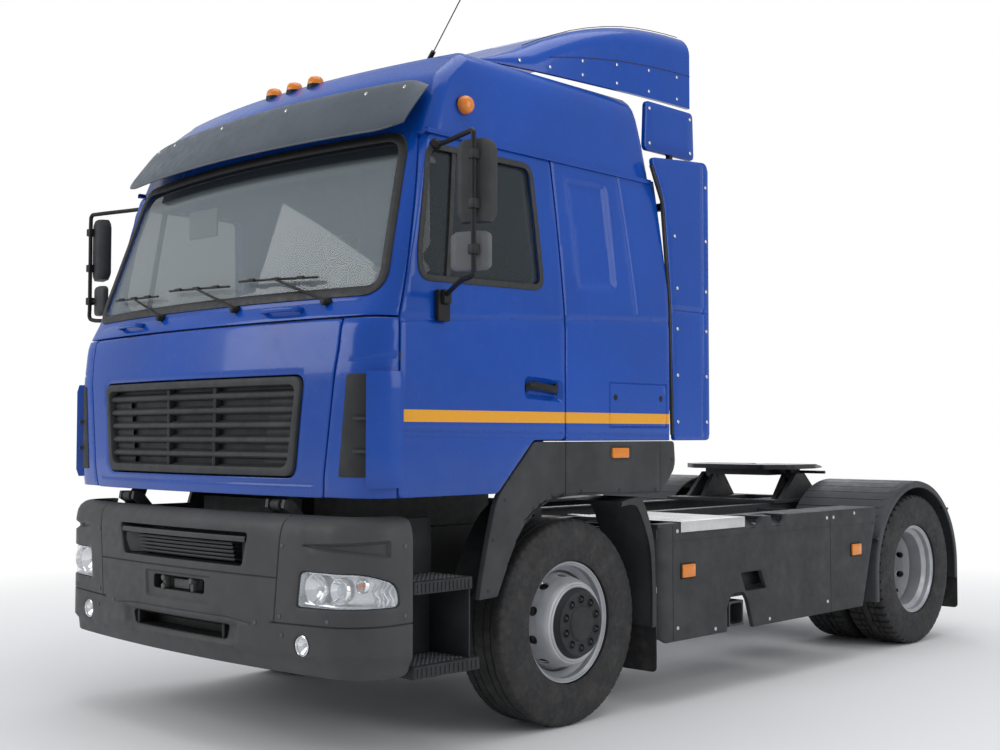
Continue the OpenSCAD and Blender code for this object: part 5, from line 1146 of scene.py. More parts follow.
for sign, tag in ((1, "left"), (-1, "right")):
    fix = for_side(sign)
    low = panel(rounded(DEFLECTOR, [0.02, 0.03, 0.06, 0.05, 0.08, 0.08]), deflector_lift, (), 0.04, 0.024,
        0.008, (), [([(CAB_REAR + 0.03, 2.10), (1.095, 2.10)], 0.006, 0.008),
        ([(1.045, SILL + 0.02), (1.045, 2.92)], 0.004, 0.01)])
    o = mesh("side_deflector_" + tag, *fix(*low), PAINT, "cab")
    if sign > 0:
        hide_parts("side_fairings")
    up = panel(rounded(UPPER, 0.035), upper_lift, (), 0.05, 0.024, 0.008)
    mesh("side_deflector_top_" + tag, *fix(*up), PAINT, "cab")
    strip = box_part((HALF - 0.022, 1.0985, SILL + 0.03), (HALF - 0.006, 1.1025, 2.90), 0.001)
    front = tube([(HALF - 0.016, y - 0.004, z) for y, z in ((CAB_REAR + 0.044, SILL + 0.03),
        (CAB_REAR + 0.024, 2.13), (CAB_REAR - 0.036, 2.68), (CAB_REAR - 0.130, 2.86))], 0.011, 8)
    mesh("deflector_edges_" + tag, *fix(*join([strip, front])), SEAL, "cab")
    stays = []
    for z in (1.56, 2.16, 2.64):
        stays.append(box_part((half_at(z) - 0.20, rear_at(z) - 0.002, z),
            (half_at(z) - 0.12, rear_at(z) + 0.09, z + 0.04)))
        stays.append(box_part((half_at(z) - 0.125, rear_at(z) + 0.05, z),
            (HALF - 0.028, rear_at(z) + 0.09, z + 0.04)))
    stays.append(box_part((HALF - 0.110, CAB_REAR + 0.12, 2.880), (HALF - 0.027, CAB_REAR + 0.15, 2.910)))
    stays.append(box_part((HALF - 0.110, CAB_REAR + 0.12, 2.880), (HALF - 0.082, CAB_REAR + 0.15, 2.975)))
    mesh("deflector_stays_" + tag, *fix(*join(stays)), BLACK, "cab")
    places = [((sign * (HALF - 0.002), 1.072, z), (sign, 0, 0)) for z in (1.50, 1.75, 2.0, 2.22, 2.5, 2.8)]
    places += [((sign * (HALF - 0.002), CAB_REAR + 0.075 - 0.02 * (z > 2.3) - 0.06 * (z > 2.6), z),
        (sign, 0, 0)) for z in (1.50, 1.75, 2.0, 2.22, 2.5)]
    places += [((sign * (HALF - 0.081), y, z), (sign, 0, 0)) for z in (3.0, 3.19)
        for y in (CAB_REAR - 0.06, 1.04)]
    mesh("deflector_screws_" + tag, *screw_heads(places, 0.010, 0.004), STEEL, "cab")

# rear wall with pressed ribs
rear_rows = []
for z in [SILL] + list(np.linspace(1.47, GUTTER, 40)):
    w = half_at(z) - 0.045
    row = []
    for x in np.linspace(-w, w, 41):
        rib = 0.010 * (0.5 - 0.5 * math.cos(2 * math.pi * (z
            - 1.5) / 0.26)) if abs(x) < 0.95 and 1.5 < z < 2.54 else 0
        row.append((x, rear_at(z) - 0.001 - rib * min(1, (0.95 - abs(x)) / 0.08 if abs(x) < 0.95 else 0),
            z))
    rear_rows.append(row)
v, f = grid_part(rear_rows)
k = len(v)
v2 = [(x, y - 0.04, z) for x, y, z in v]
f2 = [tuple(reversed([i + k for i in q])) for q in f]
n, m = len(rear_rows), 41
edge = [(j, j + 1) for j in range(m - 1)] + [((n - 1) * m + j + 1, (n - 1) * m + j) for j in range(m - 1)]
edge += [((i + 1) * m, i * m) for i in range(n - 1)] + [(i * m + m - 1, (i + 1) * m + m - 1)
    for i in range(n - 1)]
f = [tuple(reversed(q)) for q in f]
f2 = [tuple(reversed(q)) for q in f2]
rear = mesh("rear_wall_ribbed", v + v2, f + f2 + [(a, b, b + k, a + k) for a, b in edge], PAINT, "cab",
    angle=50)
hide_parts("cab_rear_wall")

# lamps on the roof and its sides
for k, x in enumerate((-0.174, 0.0, 0.174)):
    dome = lathe([(0.0, 0.056), (0.016, 0.055), (0.030, 0.050), (0.038, 0.040), (0.042, 0.024),
        (0.043, 0.004), (0.043, -0.02)], 40, "z", (x, -0.815, ROOF))
    base = lathe([(0.044, 0.012), (0.0445, 0.004), (0.0445, -0.018)], 40, "z", (x, -0.815, ROOF))
    o = mesh(f"roof_lamp_lens_{k}", dome[0], dome[1], AMBER, "cab")
    if k == 0:
        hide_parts("roof_lamps")
    mesh(f"roof_lamp_base_{k}", *base, BLACK, "cab")
x0 = half_at(2.945)
pair("side_lamp_lens", *lathe([(0.0, 0.049), (0.018, 0.047), (0.032, 0.041), (0.040, 0.030), (0.043, 0.016),
    (0.043, -0.012)], 40, "x", (x0, -0.750, 2.945)), AMBER, "cab")
pair("side_lamp_base", *lathe([(0.044, 0.006), (0.0445, 0.0), (0.0445, -0.012)], 40, "x",
    (x0, -0.750, 2.945)), BLACK, "cab")

base = Vector((0.830, -0.660, ROOF + 0.012))
tip = base + Vector((0.330, -0.040, 0.316))
rod = tube([base, base + Vector((0.02, -0.003, 0.022)), base + Vector((0.062, -0.008, 0.060))], 0.012, 16)
whip = tube([base + Vector((0.05, -0.006, 0.048)) + (tip - base - Vector((0.05, -0.006, 0.048))) * k / 10
    for k in range(11)], 0.0028, 8)
foot = lathe([(0.0, 0.022), (0.014, 0.018), (0.022, 0.006), (0.024, -0.012)], 24, "z", tuple(base))
ant = mesh("antenna_whip", *join([rod, whip, foot]), BLACK, "cab")
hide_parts("antenna")

# ---------------------------------------------------------------- wipers, handles and mirrors

WIPER_Z = SCREEN_LOW - 0.030
parts = []
for x in (-0.350, 0.293, 0.894):
    a = Vector((x - 0.620, 0, WIPER_Z + 0.136))
    b = Vector((x - 0.090, 0, WIPER_Z + 0.118))
    hub = on_nose(x, WIPER_Z, 0.0)
    parts.append(lathe([(0.0, -0.034), (0.012, -0.033), (0.016, -0.028), (0.017, -0.010), (0.020, 0.0),
        (0.020, 0.01)], 24, "y", (hub.x, hub.y - 0.002, hub.z)))
    mid_p = on_nose((a.x + b.x) / 2, (a.z + b.z) / 2, 0.034)
    parts.append(tube(curve_points([hub + Vector((0, -0.026, 0)),
        hub.lerp(mid_p, 0.12) + Vector((0, -0.006, 0.002)), hub.lerp(mid_p, 0.6), mid_p], 6), 0.0065, 8))
    ends = [on_nose(a.x + (b.x - a.x) * k / 16, a.z + (b.z - a.z) * k / 16, 0.024) for k in range(17)]
    rubber_edge = [on_nose(a.x + (b.x - a.x) * k / 16, a.z + (b.z - a.z) * k / 16, 0.006)
        for k in range(17)]
    parts.append(tube(ends, 0.0055, 8))
    parts.append(grid_part([[p + Vector((0, 0, 0.002)) for p in ends], rubber_edge,
        [p - Vector((0, 0, 0.002)) for p in ends]]))
    for k in (3, 8, 13):
        c = ends[k] + Vector((0, -0.008, 0.002))
        parts.append(box_part(c - Vector((0.025, 0.006, 0.007)), c + Vector((0.025, 0.006, 0.007)), 0.003))
o = mesh("wiper_arms_and_blades", *join(parts), BLACK, "cab")
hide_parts("wipers")

for x0 in (-0.64, 0.64):
    s = 1 if x0 > 0 else -1
    z = FLAP_TOP + 0.052
    pts = []
    for k, (dx, out) in enumerate(((-0.115, -0.004), (-0.112, 0.022), (-0.095, 0.036), (0.0, 0.040),
            (0.095, 0.036), (0.112, 0.022), (0.115, -0.004))):
        pts.append(on_nose(x0 + dx, z, out) + Vector((0, 0, 0.006 * math.sin(math.pi * k / 6))))
    o = mesh("grab_handle_" + ("left" if s > 0 else "right"), *tube(curve_points(pts, 6), 0.0125, 14),
        PAINT, "cab")


def housing(outline, z0, z1, r):
    """A mirror housing: an outline seen from above, lofted with rounded ends."""
    pts = rounded(outline, r, 8)
    c = Vector((sum(p[0] for p in pts) / len(pts), sum(p[1] for p in pts) / len(pts)))
    rows = []
    for k in range(15):
        s = k / 14
        e = min(s, 1 - s)
        grow = (1 - max(0, 1 - e / 0.13) ** 2.2 * 0.24)
        z = z0 + (z1 - z0) * s
        rows.append([(c.x + (p[0] - c.x) * grow, c.y + (p[1] - c.y) * grow, z) for p in pts])
    return capped(rows)


# where the upright stands; main and lower housing: middle, width, depth, foot and top; top of the tube;
# greys of the main and lower housings, the right side's one step darker than the left's as painted shade,
# and each lower housing one grey lighter than its main one
MIRROR_SETS = {tag: ((HALF + 0.330, -1.085), ((HALF + 0.293, -1.036), 0.180, 0.080, 2.330, 2.680),
    ((HALF + 0.273, -1.048), 0.190, 0.050, 2.125, 2.290), 2.722, *housing_greys_right_shaded)
    for tag, housing_greys_right_shaded in (("left", (GREY, GREY_LIGHT)), ("right", (GREY_DARK, GREY)))}
TURN = Matrix.Rotation(math.radians(17), 2)
for tag, (post, main, lower, post_top, colour, lower_housing_grey) in MIRROR_SETS.items():
    fix = for_side(1 if tag == "left" else -1)
    faces, clamps = [], []
    for part, ((cx, cy), w, d, z0, z1), housing_grey in (("main", main, colour), ("lower", lower, lower_housing_grey)):
        c = Vector((cx, cy))
        flat = [(-w / 2, d / 2), (-w / 2, -d / 10), (-w / 3, -d / 2), (w / 3, -d / 2), (w / 2, -d / 10),
            (w / 2, d / 2)]
        outline = [tuple(c + TURN @ Vector(p)) for p in flat]
        # painted shade: the right-hand mirror housings take darker greys than the left-hand ones
        o = mesh("mirror_" + part + "_shell_" + tag, *fix(*housing(outline, z0, z1, d / 4)), housing_grey,
            "door_" + tag, angle=50)
        if part == "main":
            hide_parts(tag + "_mirror")
        q = rounded([(-w / 2 + 0.018, z0 + 0.03), (w / 2 - 0.018, z0 + 0.03), (w / 2 - 0.018, z1 - 0.03),
            (-w / 2 + 0.018, z1 - 0.03)], 0.018)

        def rear(s, z, t, c=c, d=d):
            p = c + TURN @ Vector((s, d / 2 + 0.0012 - t))
            return Vector((p.x, p.y, z))
        faces.append(panel(q[::-1], rear, (), 0.04, 0.004, 0.0008))
        for z in ((z0 + 0.07, z1 - 0.07) if part == "main" else ((z0 + z1) / 2,)):
            clamps += [box_part((post[0] - 0.020, post[1] - 0.018, z - 0.022),
                (post[0] + 0.020, post[1] + 0.022, z + 0.022), 0.007),
                tube([(post[0], post[1], z), (cx, cy, z)], 0.011, 10)]
    mesh("mirror_glass_" + tag, *fix(*join(faces)), MIRROR, "door_" + tag)
    top = Vector((half_at(2.700) + 0.004, -0.952, 2.728))
    low = Vector((HALF + 0.030, -0.958, 2.045))
    arm = curve_points([top + Vector((0.012, 0, 0)), top + Vector((0.09, -0.015, 0.4 * (post_top - 2.728))),
        (post[0] - 0.05, post[1] + 0.02, post_top - 0.006),
        (post[0] - 0.008, post[1] + 0.003, post_top - 0.014), (*post, post_top - 0.06), (*post, 2.45),
        (*post, lower[3] + 0.06), (*post, lower[3] - 0.01),
        (post[0] - 0.03, post[1] + 0.01, lower[3] - 0.030),
        (post[0] - 0.12, post[1] + 0.04, lower[3] - 0.04), low], 8)
    mesh("mirror_arm_" + tag, *fix(*tube(arm, 0.0115, 14)), BLACK, "door_" + tag)
    foot = join([lathe([(0.0, 0.034), (0.012, 0.032), (0.020, 0.018), (0.026, 0.008), (0.027, 0.0)], 28,
        "x", tuple(top)), box_part((HALF + 0.0003, -1.000, 1.930), (HALF + 0.030, -0.925, 2.070), 0.010),
        box_part((HALF + 0.020, -0.985, 2.005), (HALF + 0.052, -0.938, 2.070), 0.010)])
    mesh("mirror_feet_" + tag, *fix(*foot), BLACK, "door_" + tag, angle=50)
    mesh("mirror_clamps_" + tag, *fix(*join(clamps)), BLACK, "door_" + tag)


# ---------------------------------------------------------------- bumper and its lamps

def bumper_across(x, z):
    """Distance round the bumper for a point seen from the front at (x, z)."""
    sign = -1 if x < 0 else 1
    return sign * halved(lambda m: bumper(m, z).x < abs(x), 0, abs(x) + 0.5)


def bumper_back(y, z):
    """Distance round the bumper's left half at which it reaches depth y."""
    return halved(lambda m: bumper(m, z).y < y, 0.9, 1.9)


def on_bumper(points):
    """Points seen from the front, as distance round the bumper and height."""
    return [(bumper_across(x, z), z) for x, z in points]


def bumper_lift(out=0.0):
    """The bumper's skin as a lift for panel(), moved outwards by out."""
    return lambda u, z, t: bumper(u, z, t - out)


LAMP_END = BUMPER_BACK - 0.075
END = bumper_back(BUMPER_BACK, 0.8)
LOW_SEAM, MID_SEAM = 0.612, 0.805
LAMP = [(bumper_across(0.862, 0.69), 0.687), (bumper_back(LAMP_END, 0.70), 0.697),
    (bumper_back(LAMP_END - 0.01, 0.80), 0.800), (bumper_across(1.190, 0.84), 0.843),
    (bumper_across(0.882, 0.84), 0.845)]
LAMP_ROUND = [0.018, 0.03, 0.06, 0.05, 0.03]
lamp_hole = rounded(LAMP, LAMP_ROUND)
lamp_mirror = [(-u, z) for u, z in lamp_hole]
FOG_U = bumper_across(0.897, 0.525)
upper_open = on_bumper(rounded([(-0.540, 0.992), (0.540, 0.992), (0.500, 0.842), (-0.500, 0.842)][::-1],
    0.02))
tow_open = on_bumper(rounded(rectangle(-0.210, 0.210, 0.695, 0.757), 0.014))
low_open = on_bumper(rounded([(-0.380, 0.510), (0.380, 0.510), (0.400, 0.567), (-0.400, 0.567)], 0.012))
holes = [upper_open, tow_open, low_open, lamp_hole, lamp_mirror, circle((FOG_U, 0.525), 0.0455),
    circle((-FOG_U, 0.525), 0.0455)]
bumper_outline = rounded([(-END, BUMPER_LOW), (END, BUMPER_LOW), (END, BUMPER_TOP), (-END, BUMPER_TOP)],
    [0.05, 0.05, 0.03, 0.03])
corner_seam = on_bumper([(0.765, BUMPER_TOP - 0.005), (0.752, 0.93), (0.722, LOW_SEAM)])
seams = []
for s in (1, -1):
    seams.append(([(s * u, z) for u, z in corner_seam], 0.007, 0.005))
    seams.append(([(s * END * 0.998, LOW_SEAM + 0.012), (s * bumper_across(1.0, 0.6), LOW_SEAM + 0.004),
        (s * bumper_across(0.70, 0.6), LOW_SEAM - 0.002)], 0.007, 0.005))
seams.append((on_bumper([(-0.737, MID_SEAM), (0.737, MID_SEAM)]), 0.006, 0.005))
seams.append((on_bumper([(-0.56, LOW_SEAM - 0.02), (-0.40, LOW_SEAM - 0.006), (0.40, LOW_SEAM - 0.006),
    (0.56, LOW_SEAM - 0.02)]), 0.005, 0.006))
recesses = [(on_bumper(rounded([(-0.270, 0.648), (0.270, 0.648), (0.282, 0.780), (-0.282, 0.780)], 0.02)),
    0.010, 0.010), (on_bumper(rounded([(-0.46, 0.482), (0.46, 0.482), (0.49, 0.594), (-0.49, 0.594)],
    0.03)), 0.016, 0.03)]
for s in (1, -1):
    a, b = bumper_across(0.90, 0.95), bumper_back(-1.235, 0.95)
    pocket = rounded([(a, 0.948), (b, 0.905), (b, 0.985), (a, 0.962)], [0.006, 0.02, 0.02, 0.006])
    recesses.append(([(s * u, z) for u, z in pocket], 0.020, 0.016))
v, f = panel(bumper_outline, bumper, holes, 0.024, 0.030, 0.008, recesses, seams)
front = mesh("bumper_skin", v, f, BUMPER_GREY, "chassis", angle=40)
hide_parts("front_bumper")

# lining, slats and bars behind the openings
parts = []
for hole_line, deep, cut in ((upper_open, 0.10, 0.10), (tow_open, 0.055, 0.05), (low_open, 0.09, 0.08)):
    loop = ccw(densify(ccw(hole_line), 0.04))
    ring0 = [bumper(u, z, 0.008) for u, z in loop]
    c = sum(ring0, Vector()) / len(ring0)
    ring1 = [Vector((c.x + (p.x - c.x) * (1 - cut), p.y + deep, c.z + (p.z - c.z) * 0.92)) for p in ring0]
    v, f = grid_part([ring0, ring1], True)
    f.append(tuple(range(len(loop), 2 * len(loop))))
    parts.append((v, f))
mesh("bumper_opening_linings", *join(parts), BLACK, "chassis")
parts = []
xs = np.linspace(-0.50, 0.50, 31)
for z, deep in ((0.962, 0.012), (0.935, 0.030), (0.916, 0.034), (0.897, 0.038), (0.878, 0.042),
        (0.860, 0.046)):
    w = 0.52 if z > 0.95 else 0.40
    prof = [(-0.006, deep + 0.03), (-0.006, deep), (0.0, deep - 0.004), (0.006, deep), (0.006, deep + 0.03)]
    if z > 0.95:
        prof = [(-0.012, 0.05), (-0.012, 0.005), (0.0, 0.001), (0.012, 0.005), (0.012, 0.05)]
    parts.append(grid_part([[bumper(bumper_across(w * x / 0.5, z), z + dz, t) for x in xs]
        for dz, t in prof]))
for s in (-1, 1):
    wall = [[Vector((s * x, bumper(bumper_across(x, z), z).y + 0.010 + (0.53 - x) * 0.55, z))
        for z in (0.848, 0.89, 0.945)] for x in np.linspace(0.40, 0.51, 6)]
    parts.append(grid_part(wall if s < 0 else wall[::-1]))
mesh("bumper_slats", *join(parts), BUMPER_GREY, "chassis", angle=50)
parts = [box_part((x - 0.012, bumper(x, 0.72).y + 0.014, 0.690),
    (x + 0.012, bumper(x, 0.72).y + 0.045, 0.762), 0.003) for x in (-0.125, 0.110)]
parts += [lathe([(0.0, -0.012), (0.013, -0.010), (0.016, 0.0), (0.016, 0.02)], 20, "y",
    (x, bumper(x, 0.72).y + 0.014, z)) for x, z in ((-0.125, 0.745), (-0.125, 0.705), (0.110, 0.745))]
parts.append(box_part((-0.07, BUMPER + 0.035, 0.700), (0.06, BUMPER + 0.05, 0.745), 0.004))
mesh("tow_recess_fittings", *join(parts), CAST, "chassis")
parts = [box_part((s * 0.36 - 0.010, BUMPER + 0.02, 0.505), (s * 0.36 + 0.010, BUMPER + 0.09, 0.572),
    0.003) for s in (-1, 1)]
mesh("low_opening_stays", *join(parts), BLACK, "chassis")
# screws round the bumper
places = []
for s in (1, -1):
    for x, z in ((0.775, 0.948), (0.760, 0.640), (0.60, 0.600), (1.05, 0.640), (0.775, 0.560)):
        u = bumper_across(x, z)
        p = bumper(u, z, -0.001)
        d = (bumper(u, z, -0.01) - bumper(u, z, 0.0))
        places.append(((s * p.x, p.y, p.z), (s * d.x, d.y, d.z)))
    p = bumper(END - 0.05, 0.955, -0.001)
    places.append(((s * p.x, p.y, p.z), (s, 0, 0)))
    p = bumper(END - 0.05, 0.66, -0.001)
    places.append(((s * p.x, p.y, p.z), (s, 0, 0)))
mesh("bumper_screws", *screw_heads(places, 0.010, 0.003), CAST, "chassis")

# headlamps: a clear cover over chrome bowls, an indicator bulb and a bright surround
COVER = rounded([(LAMP[0][0] + 0.004, LAMP[0][1] + 0.003), (LAMP[1][0] - 0.004, LAMP[1][1] + 0.003),
    (LAMP[2][0] - 0.004, LAMP[2][1] - 0.003), (LAMP[3][0] - 0.004, LAMP[3][1] - 0.003),
    (LAMP[4][0] + 0.003, LAMP[4][1] - 0.003)], LAMP_ROUND)
cover = panel(COVER, bumper_lift(-0.006), (), 0.02, 0.004, 0.004)
housing_rows = []
loop = ccw(densify(ccw(COVER), 0.02))
for t, shrink in ((0.012, 1.0), (0.030, 0.98), (0.058, 0.93)):
    cu, cz = sum(p[0] for p in loop) / len(loop), sum(p[1] for p in loop) / len(loop)
    housing_rows.append([bumper(cu + (u - cu) * shrink, cz + (z - cz) * shrink, t) for u, z in loop])
hv, hf = grid_part(housing_rows, True)
back_panel = panel([(cu + (u - cu) * 0.93, cz + (z - cz) * 0.93) for u, z in loop],
    lambda u, z, t: bumper(u, z, t + 0.056), (), 0.03, 0.006, 0.001)
bowls, rings, bulbs, orange = [], [], [], []


def bowl(x, z, r, deep, sink):
    """A parabolic reflector that faces forwards, with a rim."""
    y = bumper(bumper_across(x, z), z).y + sink
    prof = [(r * math.sqrt(k / 10) if k else 0.0, deep * (1 - k / 10)) for k in range(11)]
    prof += [(r + 0.004, -0.001), (r + 0.007, 0.004), (r + 0.007, 0.02)]
    return lathe(prof, 48, "y", (x, y, z))


for x, z, r in ((0.955, 0.768, 0.062), (1.083, 0.768, 0.050)):
    bowls.append(bowl(x, z, r, 0.038, 0.020 + (0.006 if x > 1 else 0)))
y2 = bumper(bumper_across(1.083, 0.768), 0.768).y + 0.030
bulbs.append(lathe([(0.0, -0.006), (0.012, -0.004), (0.022, 0.004), (0.026, 0.014), (0.026, 0.03)], 32, "y",
    (1.083, y2, 0.768)))
y1 = bumper(bumper_across(0.955, 0.768), 0.768).y + 0.030
bulbs.append(lathe([(0.0, -0.004), (0.007, -0.002), (0.009, 0.006), (0.009, 0.026)], 20, "y",
    (0.955, y1, 0.768)))
bowls.append(bowl(1.165, 0.792, 0.026, 0.02, 0.030))
y3 = bumper(bumper_across(1.165, 0.79), 0.79).y + 0.028
orange.append(lathe([(0.0, -0.010), (0.008, -0.008), (0.012, 0.0), (0.012, 0.016)], 24, "y",
    (1.165, y3, 0.792)))
pair("headlamp_bowls", *join(bowls), CHROME, "chassis")
pair("headlamp_surround", *join([(hv, hf), back_panel]), LAMP_INSIDE, "chassis")
pair("headlamp_lenses", *join(bulbs), LENS_SOLID, "chassis")
pair("headlamp_indicator_bulb", *join(orange), AMBER, "chassis")
a, b = pair("headlamp_cover", *cover, LENS, "chassis", angle=60)
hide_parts("chassis_lamps")
ridges = []
for x0, x1, z0, z1 in ((0.885, 1.185, 0.705, 0.700), (0.900, 1.175, 0.838, 0.834)):
    ridges.append(tube([bumper(bumper_across(x0 + (x1 - x0) * k / 12, z0), z0 + (z1 - z0) * k / 12, 0.030)
        for k in range(13)], 0.005, 8))
for u0 in (bumper_back(-1.285, 0.75), bumper_back(-1.245, 0.75), bumper_back(-1.215, 0.75)):
    ridges.append(tube([bumper(u0 + 0.012 * math.sin(k), 0.705 + 0.012 * k, 0.030) for k in range(9)],
        0.006, 8))
pair("headlamp_ridges", *join(ridges), CHROME, "chassis")
fog_y = bumper(FOG_U, 0.525).y
fog_glass = lathe([(0.0, 0.001), (0.02, 0.002), (0.036, 0.006), (0.040, 0.012)], 40, "y",
    (0.897, fog_y, 0.525))
fog_ring = lathe([(0.0395, 0.014), (0.0395, 0.004), (0.042, 0.0005), (0.0455, 0.003), (0.0455, 0.04)], 40,
    "y", (0.897, fog_y, 0.525))
fog_bowl = lathe([(0.0, 0.034), (0.016, 0.030), (0.030, 0.020), (0.040, 0.013)], 40, "y",
    (0.897, fog_y, 0.525))
fog_bulb = lathe([(0.0, 0.010), (0.007, 0.013), (0.009, 0.02), (0.009, 0.032)], 20, "y",
    (0.897, fog_y, 0.525))
pair("fog_lamp_glass", *fog_glass, LENS, "chassis")
pair("fog_lamp_bowl", *join([fog_bowl, fog_ring]), CHROME, "chassis")
pair("fog_lamp_bulb", *fog_bulb, LENS_SOLID, "chassis")

# ---------------------------------------------------------------- steps, skirts, mudguards and fenders

STEP_IN, STEP_Y, STEP_LOW_Y, STEP_Z = HALF - 0.290, (-1.100, -0.738), -0.692, (0.432, 0.796)


def lozenges(x0, x1, y0, y1, z, pitch=0.028, h=0.0022, skip=None):
    """Raised lozenges of tread plate, turned in alternate directions."""
    verts, faces = [], []
    i = 0
    y = y0 + pitch * 0.6
    row = 0
    while y < y1 - pitch * 0.4:
        x = x0 + pitch * (0.6 if row % 2 == 0 else 1.1)
        while x < x1 - pitch * 0.5:
            if skip is None or not skip(x, y):
                a = math.radians(45 if (i + row) % 2 else -45)
                k = len(verts)
                for lx, ly, lz in ((0.010, 0, 0), (0, 0.0034, 0), (-0.010, 0, 0), (0, -0.0034, 0),
                        (0.005, 0, h), (-0.005, 0, h)):
                    verts.append((x + lx * math.cos(a) - ly * math.sin(a),
                        y + lx * math.sin(a) + ly * math.cos(a), z + lz))
                faces += [(k, k + 1, k + 4), (k + 4, k + 1, k + 5), (k + 1, k + 2, k + 5),
                    (k + 2, k + 3, k + 5), (k + 5, k + 3, k + 4), (k + 3, k, k + 4)]
            i += 1
            x += pitch
        row += 1
        y += pitch * 0.5
    return verts, faces


tread, body_parts = [], []
for z, y1 in ((STEP_Z[0], STEP_LOW_Y), (STEP_Z[1], STEP_Y[1])):
    x1 = HALF - 0.014
    outline = rounded([(STEP_IN, STEP_Y[0]), (x1, STEP_Y[0]), (x1, y1), (STEP_IN, y1)], 0.016)
    body_parts.append(panel(outline, lambda x, y, t, z=z: Vector((x, y, z - 0.002 - t)), (), 0.05, 0.054,
        0.006))
    tread.append(lozenges(STEP_IN + 0.015, x1 - 0.012, STEP_Y[0] + 0.015, y1 - 0.012, z - 0.0021, 0.026,
        0.0022))
    n_teeth = 14
    for k in range(n_teeth):
        y = STEP_Y[0] + 0.025 + (y1 - STEP_Y[0] - 0.05) * k / (n_teeth - 1)
        body_parts.append(box_part((x1 - 0.001, y - 0.007, z - 0.050), (x1 + 0.004, y + 0.007, z - 0.010),
            0.002))
inner = panel(rounded([(STEP_Y[0], STEP_Z[0] - 0.06), (STEP_Y[1], STEP_Z[0] - 0.06),
    (STEP_Y[1], BUMPER_TOP - 0.03), (STEP_Y[0], BUMPER_TOP - 0.03)], 0.02),
    lambda y, z, t: Vector((STEP_IN - t, y, z)), (), 0.05, 0.018, 0.004)
body_parts.append(inner)
body_parts.append(box_part((STEP_IN, STEP_Y[1] - 0.014, STEP_Z[0] - 0.01),
    (HALF - 0.030, STEP_Y[1] - 0.004, STEP_Z[1] - 0.050), 0.003))
for y in (STEP_Y[0] + 0.02, STEP_Y[1] - 0.06):
    body_parts.append(box_part((0.431, y, FRAME_TOP - 0.220),
        (STEP_IN - 0.018, y + 0.04, FRAME_TOP - 0.160), 0.004))
a, b = pair("step_treads", *join(body_parts), GREY_DARK, "chassis")
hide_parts("cab_steps")
pair("step_lozenges", *join(tread), GREY_LIGHT, "chassis", smooth=False)

SKIRT_X = HALF - 0.008
SKIRT_T, SKIRT_Z0, SKIRT_TOP = 0.026, 0.330, FRAME_TOP + 0.008
SKIRT_Y0, SKIRT_Y1, SKIRT_LOW_Y1 = 0.640, WHEELBASE - TYRE_R - 0.098 - 0.018, WHEELBASE - 0.800
PLATE_Y = (0.830, 1.450)
SCOOPS = [PLATE_Y[1] + 0.010, 1.668 + 0.060]
FRONT_R = 0.070


def skirt_point(u, z, t=0.0):
    """u runs along the truck; ahead of SKIRT_Y0 + FRONT_R it turns round the rounded front end."""
    y0 = SKIRT_Y0 + FRONT_R
    if u >= y0:
        return Vector((SKIRT_X - t, u, z))
    a = min((y0 - u) / FRONT_R, math.pi / 2)
    extra = max(0, (y0 - u) - FRONT_R * math.pi / 2)
    r = FRONT_R - t
    return Vector((SKIRT_X - FRONT_R + r * math.cos(a) - extra, y0 - r * math.sin(a), z))


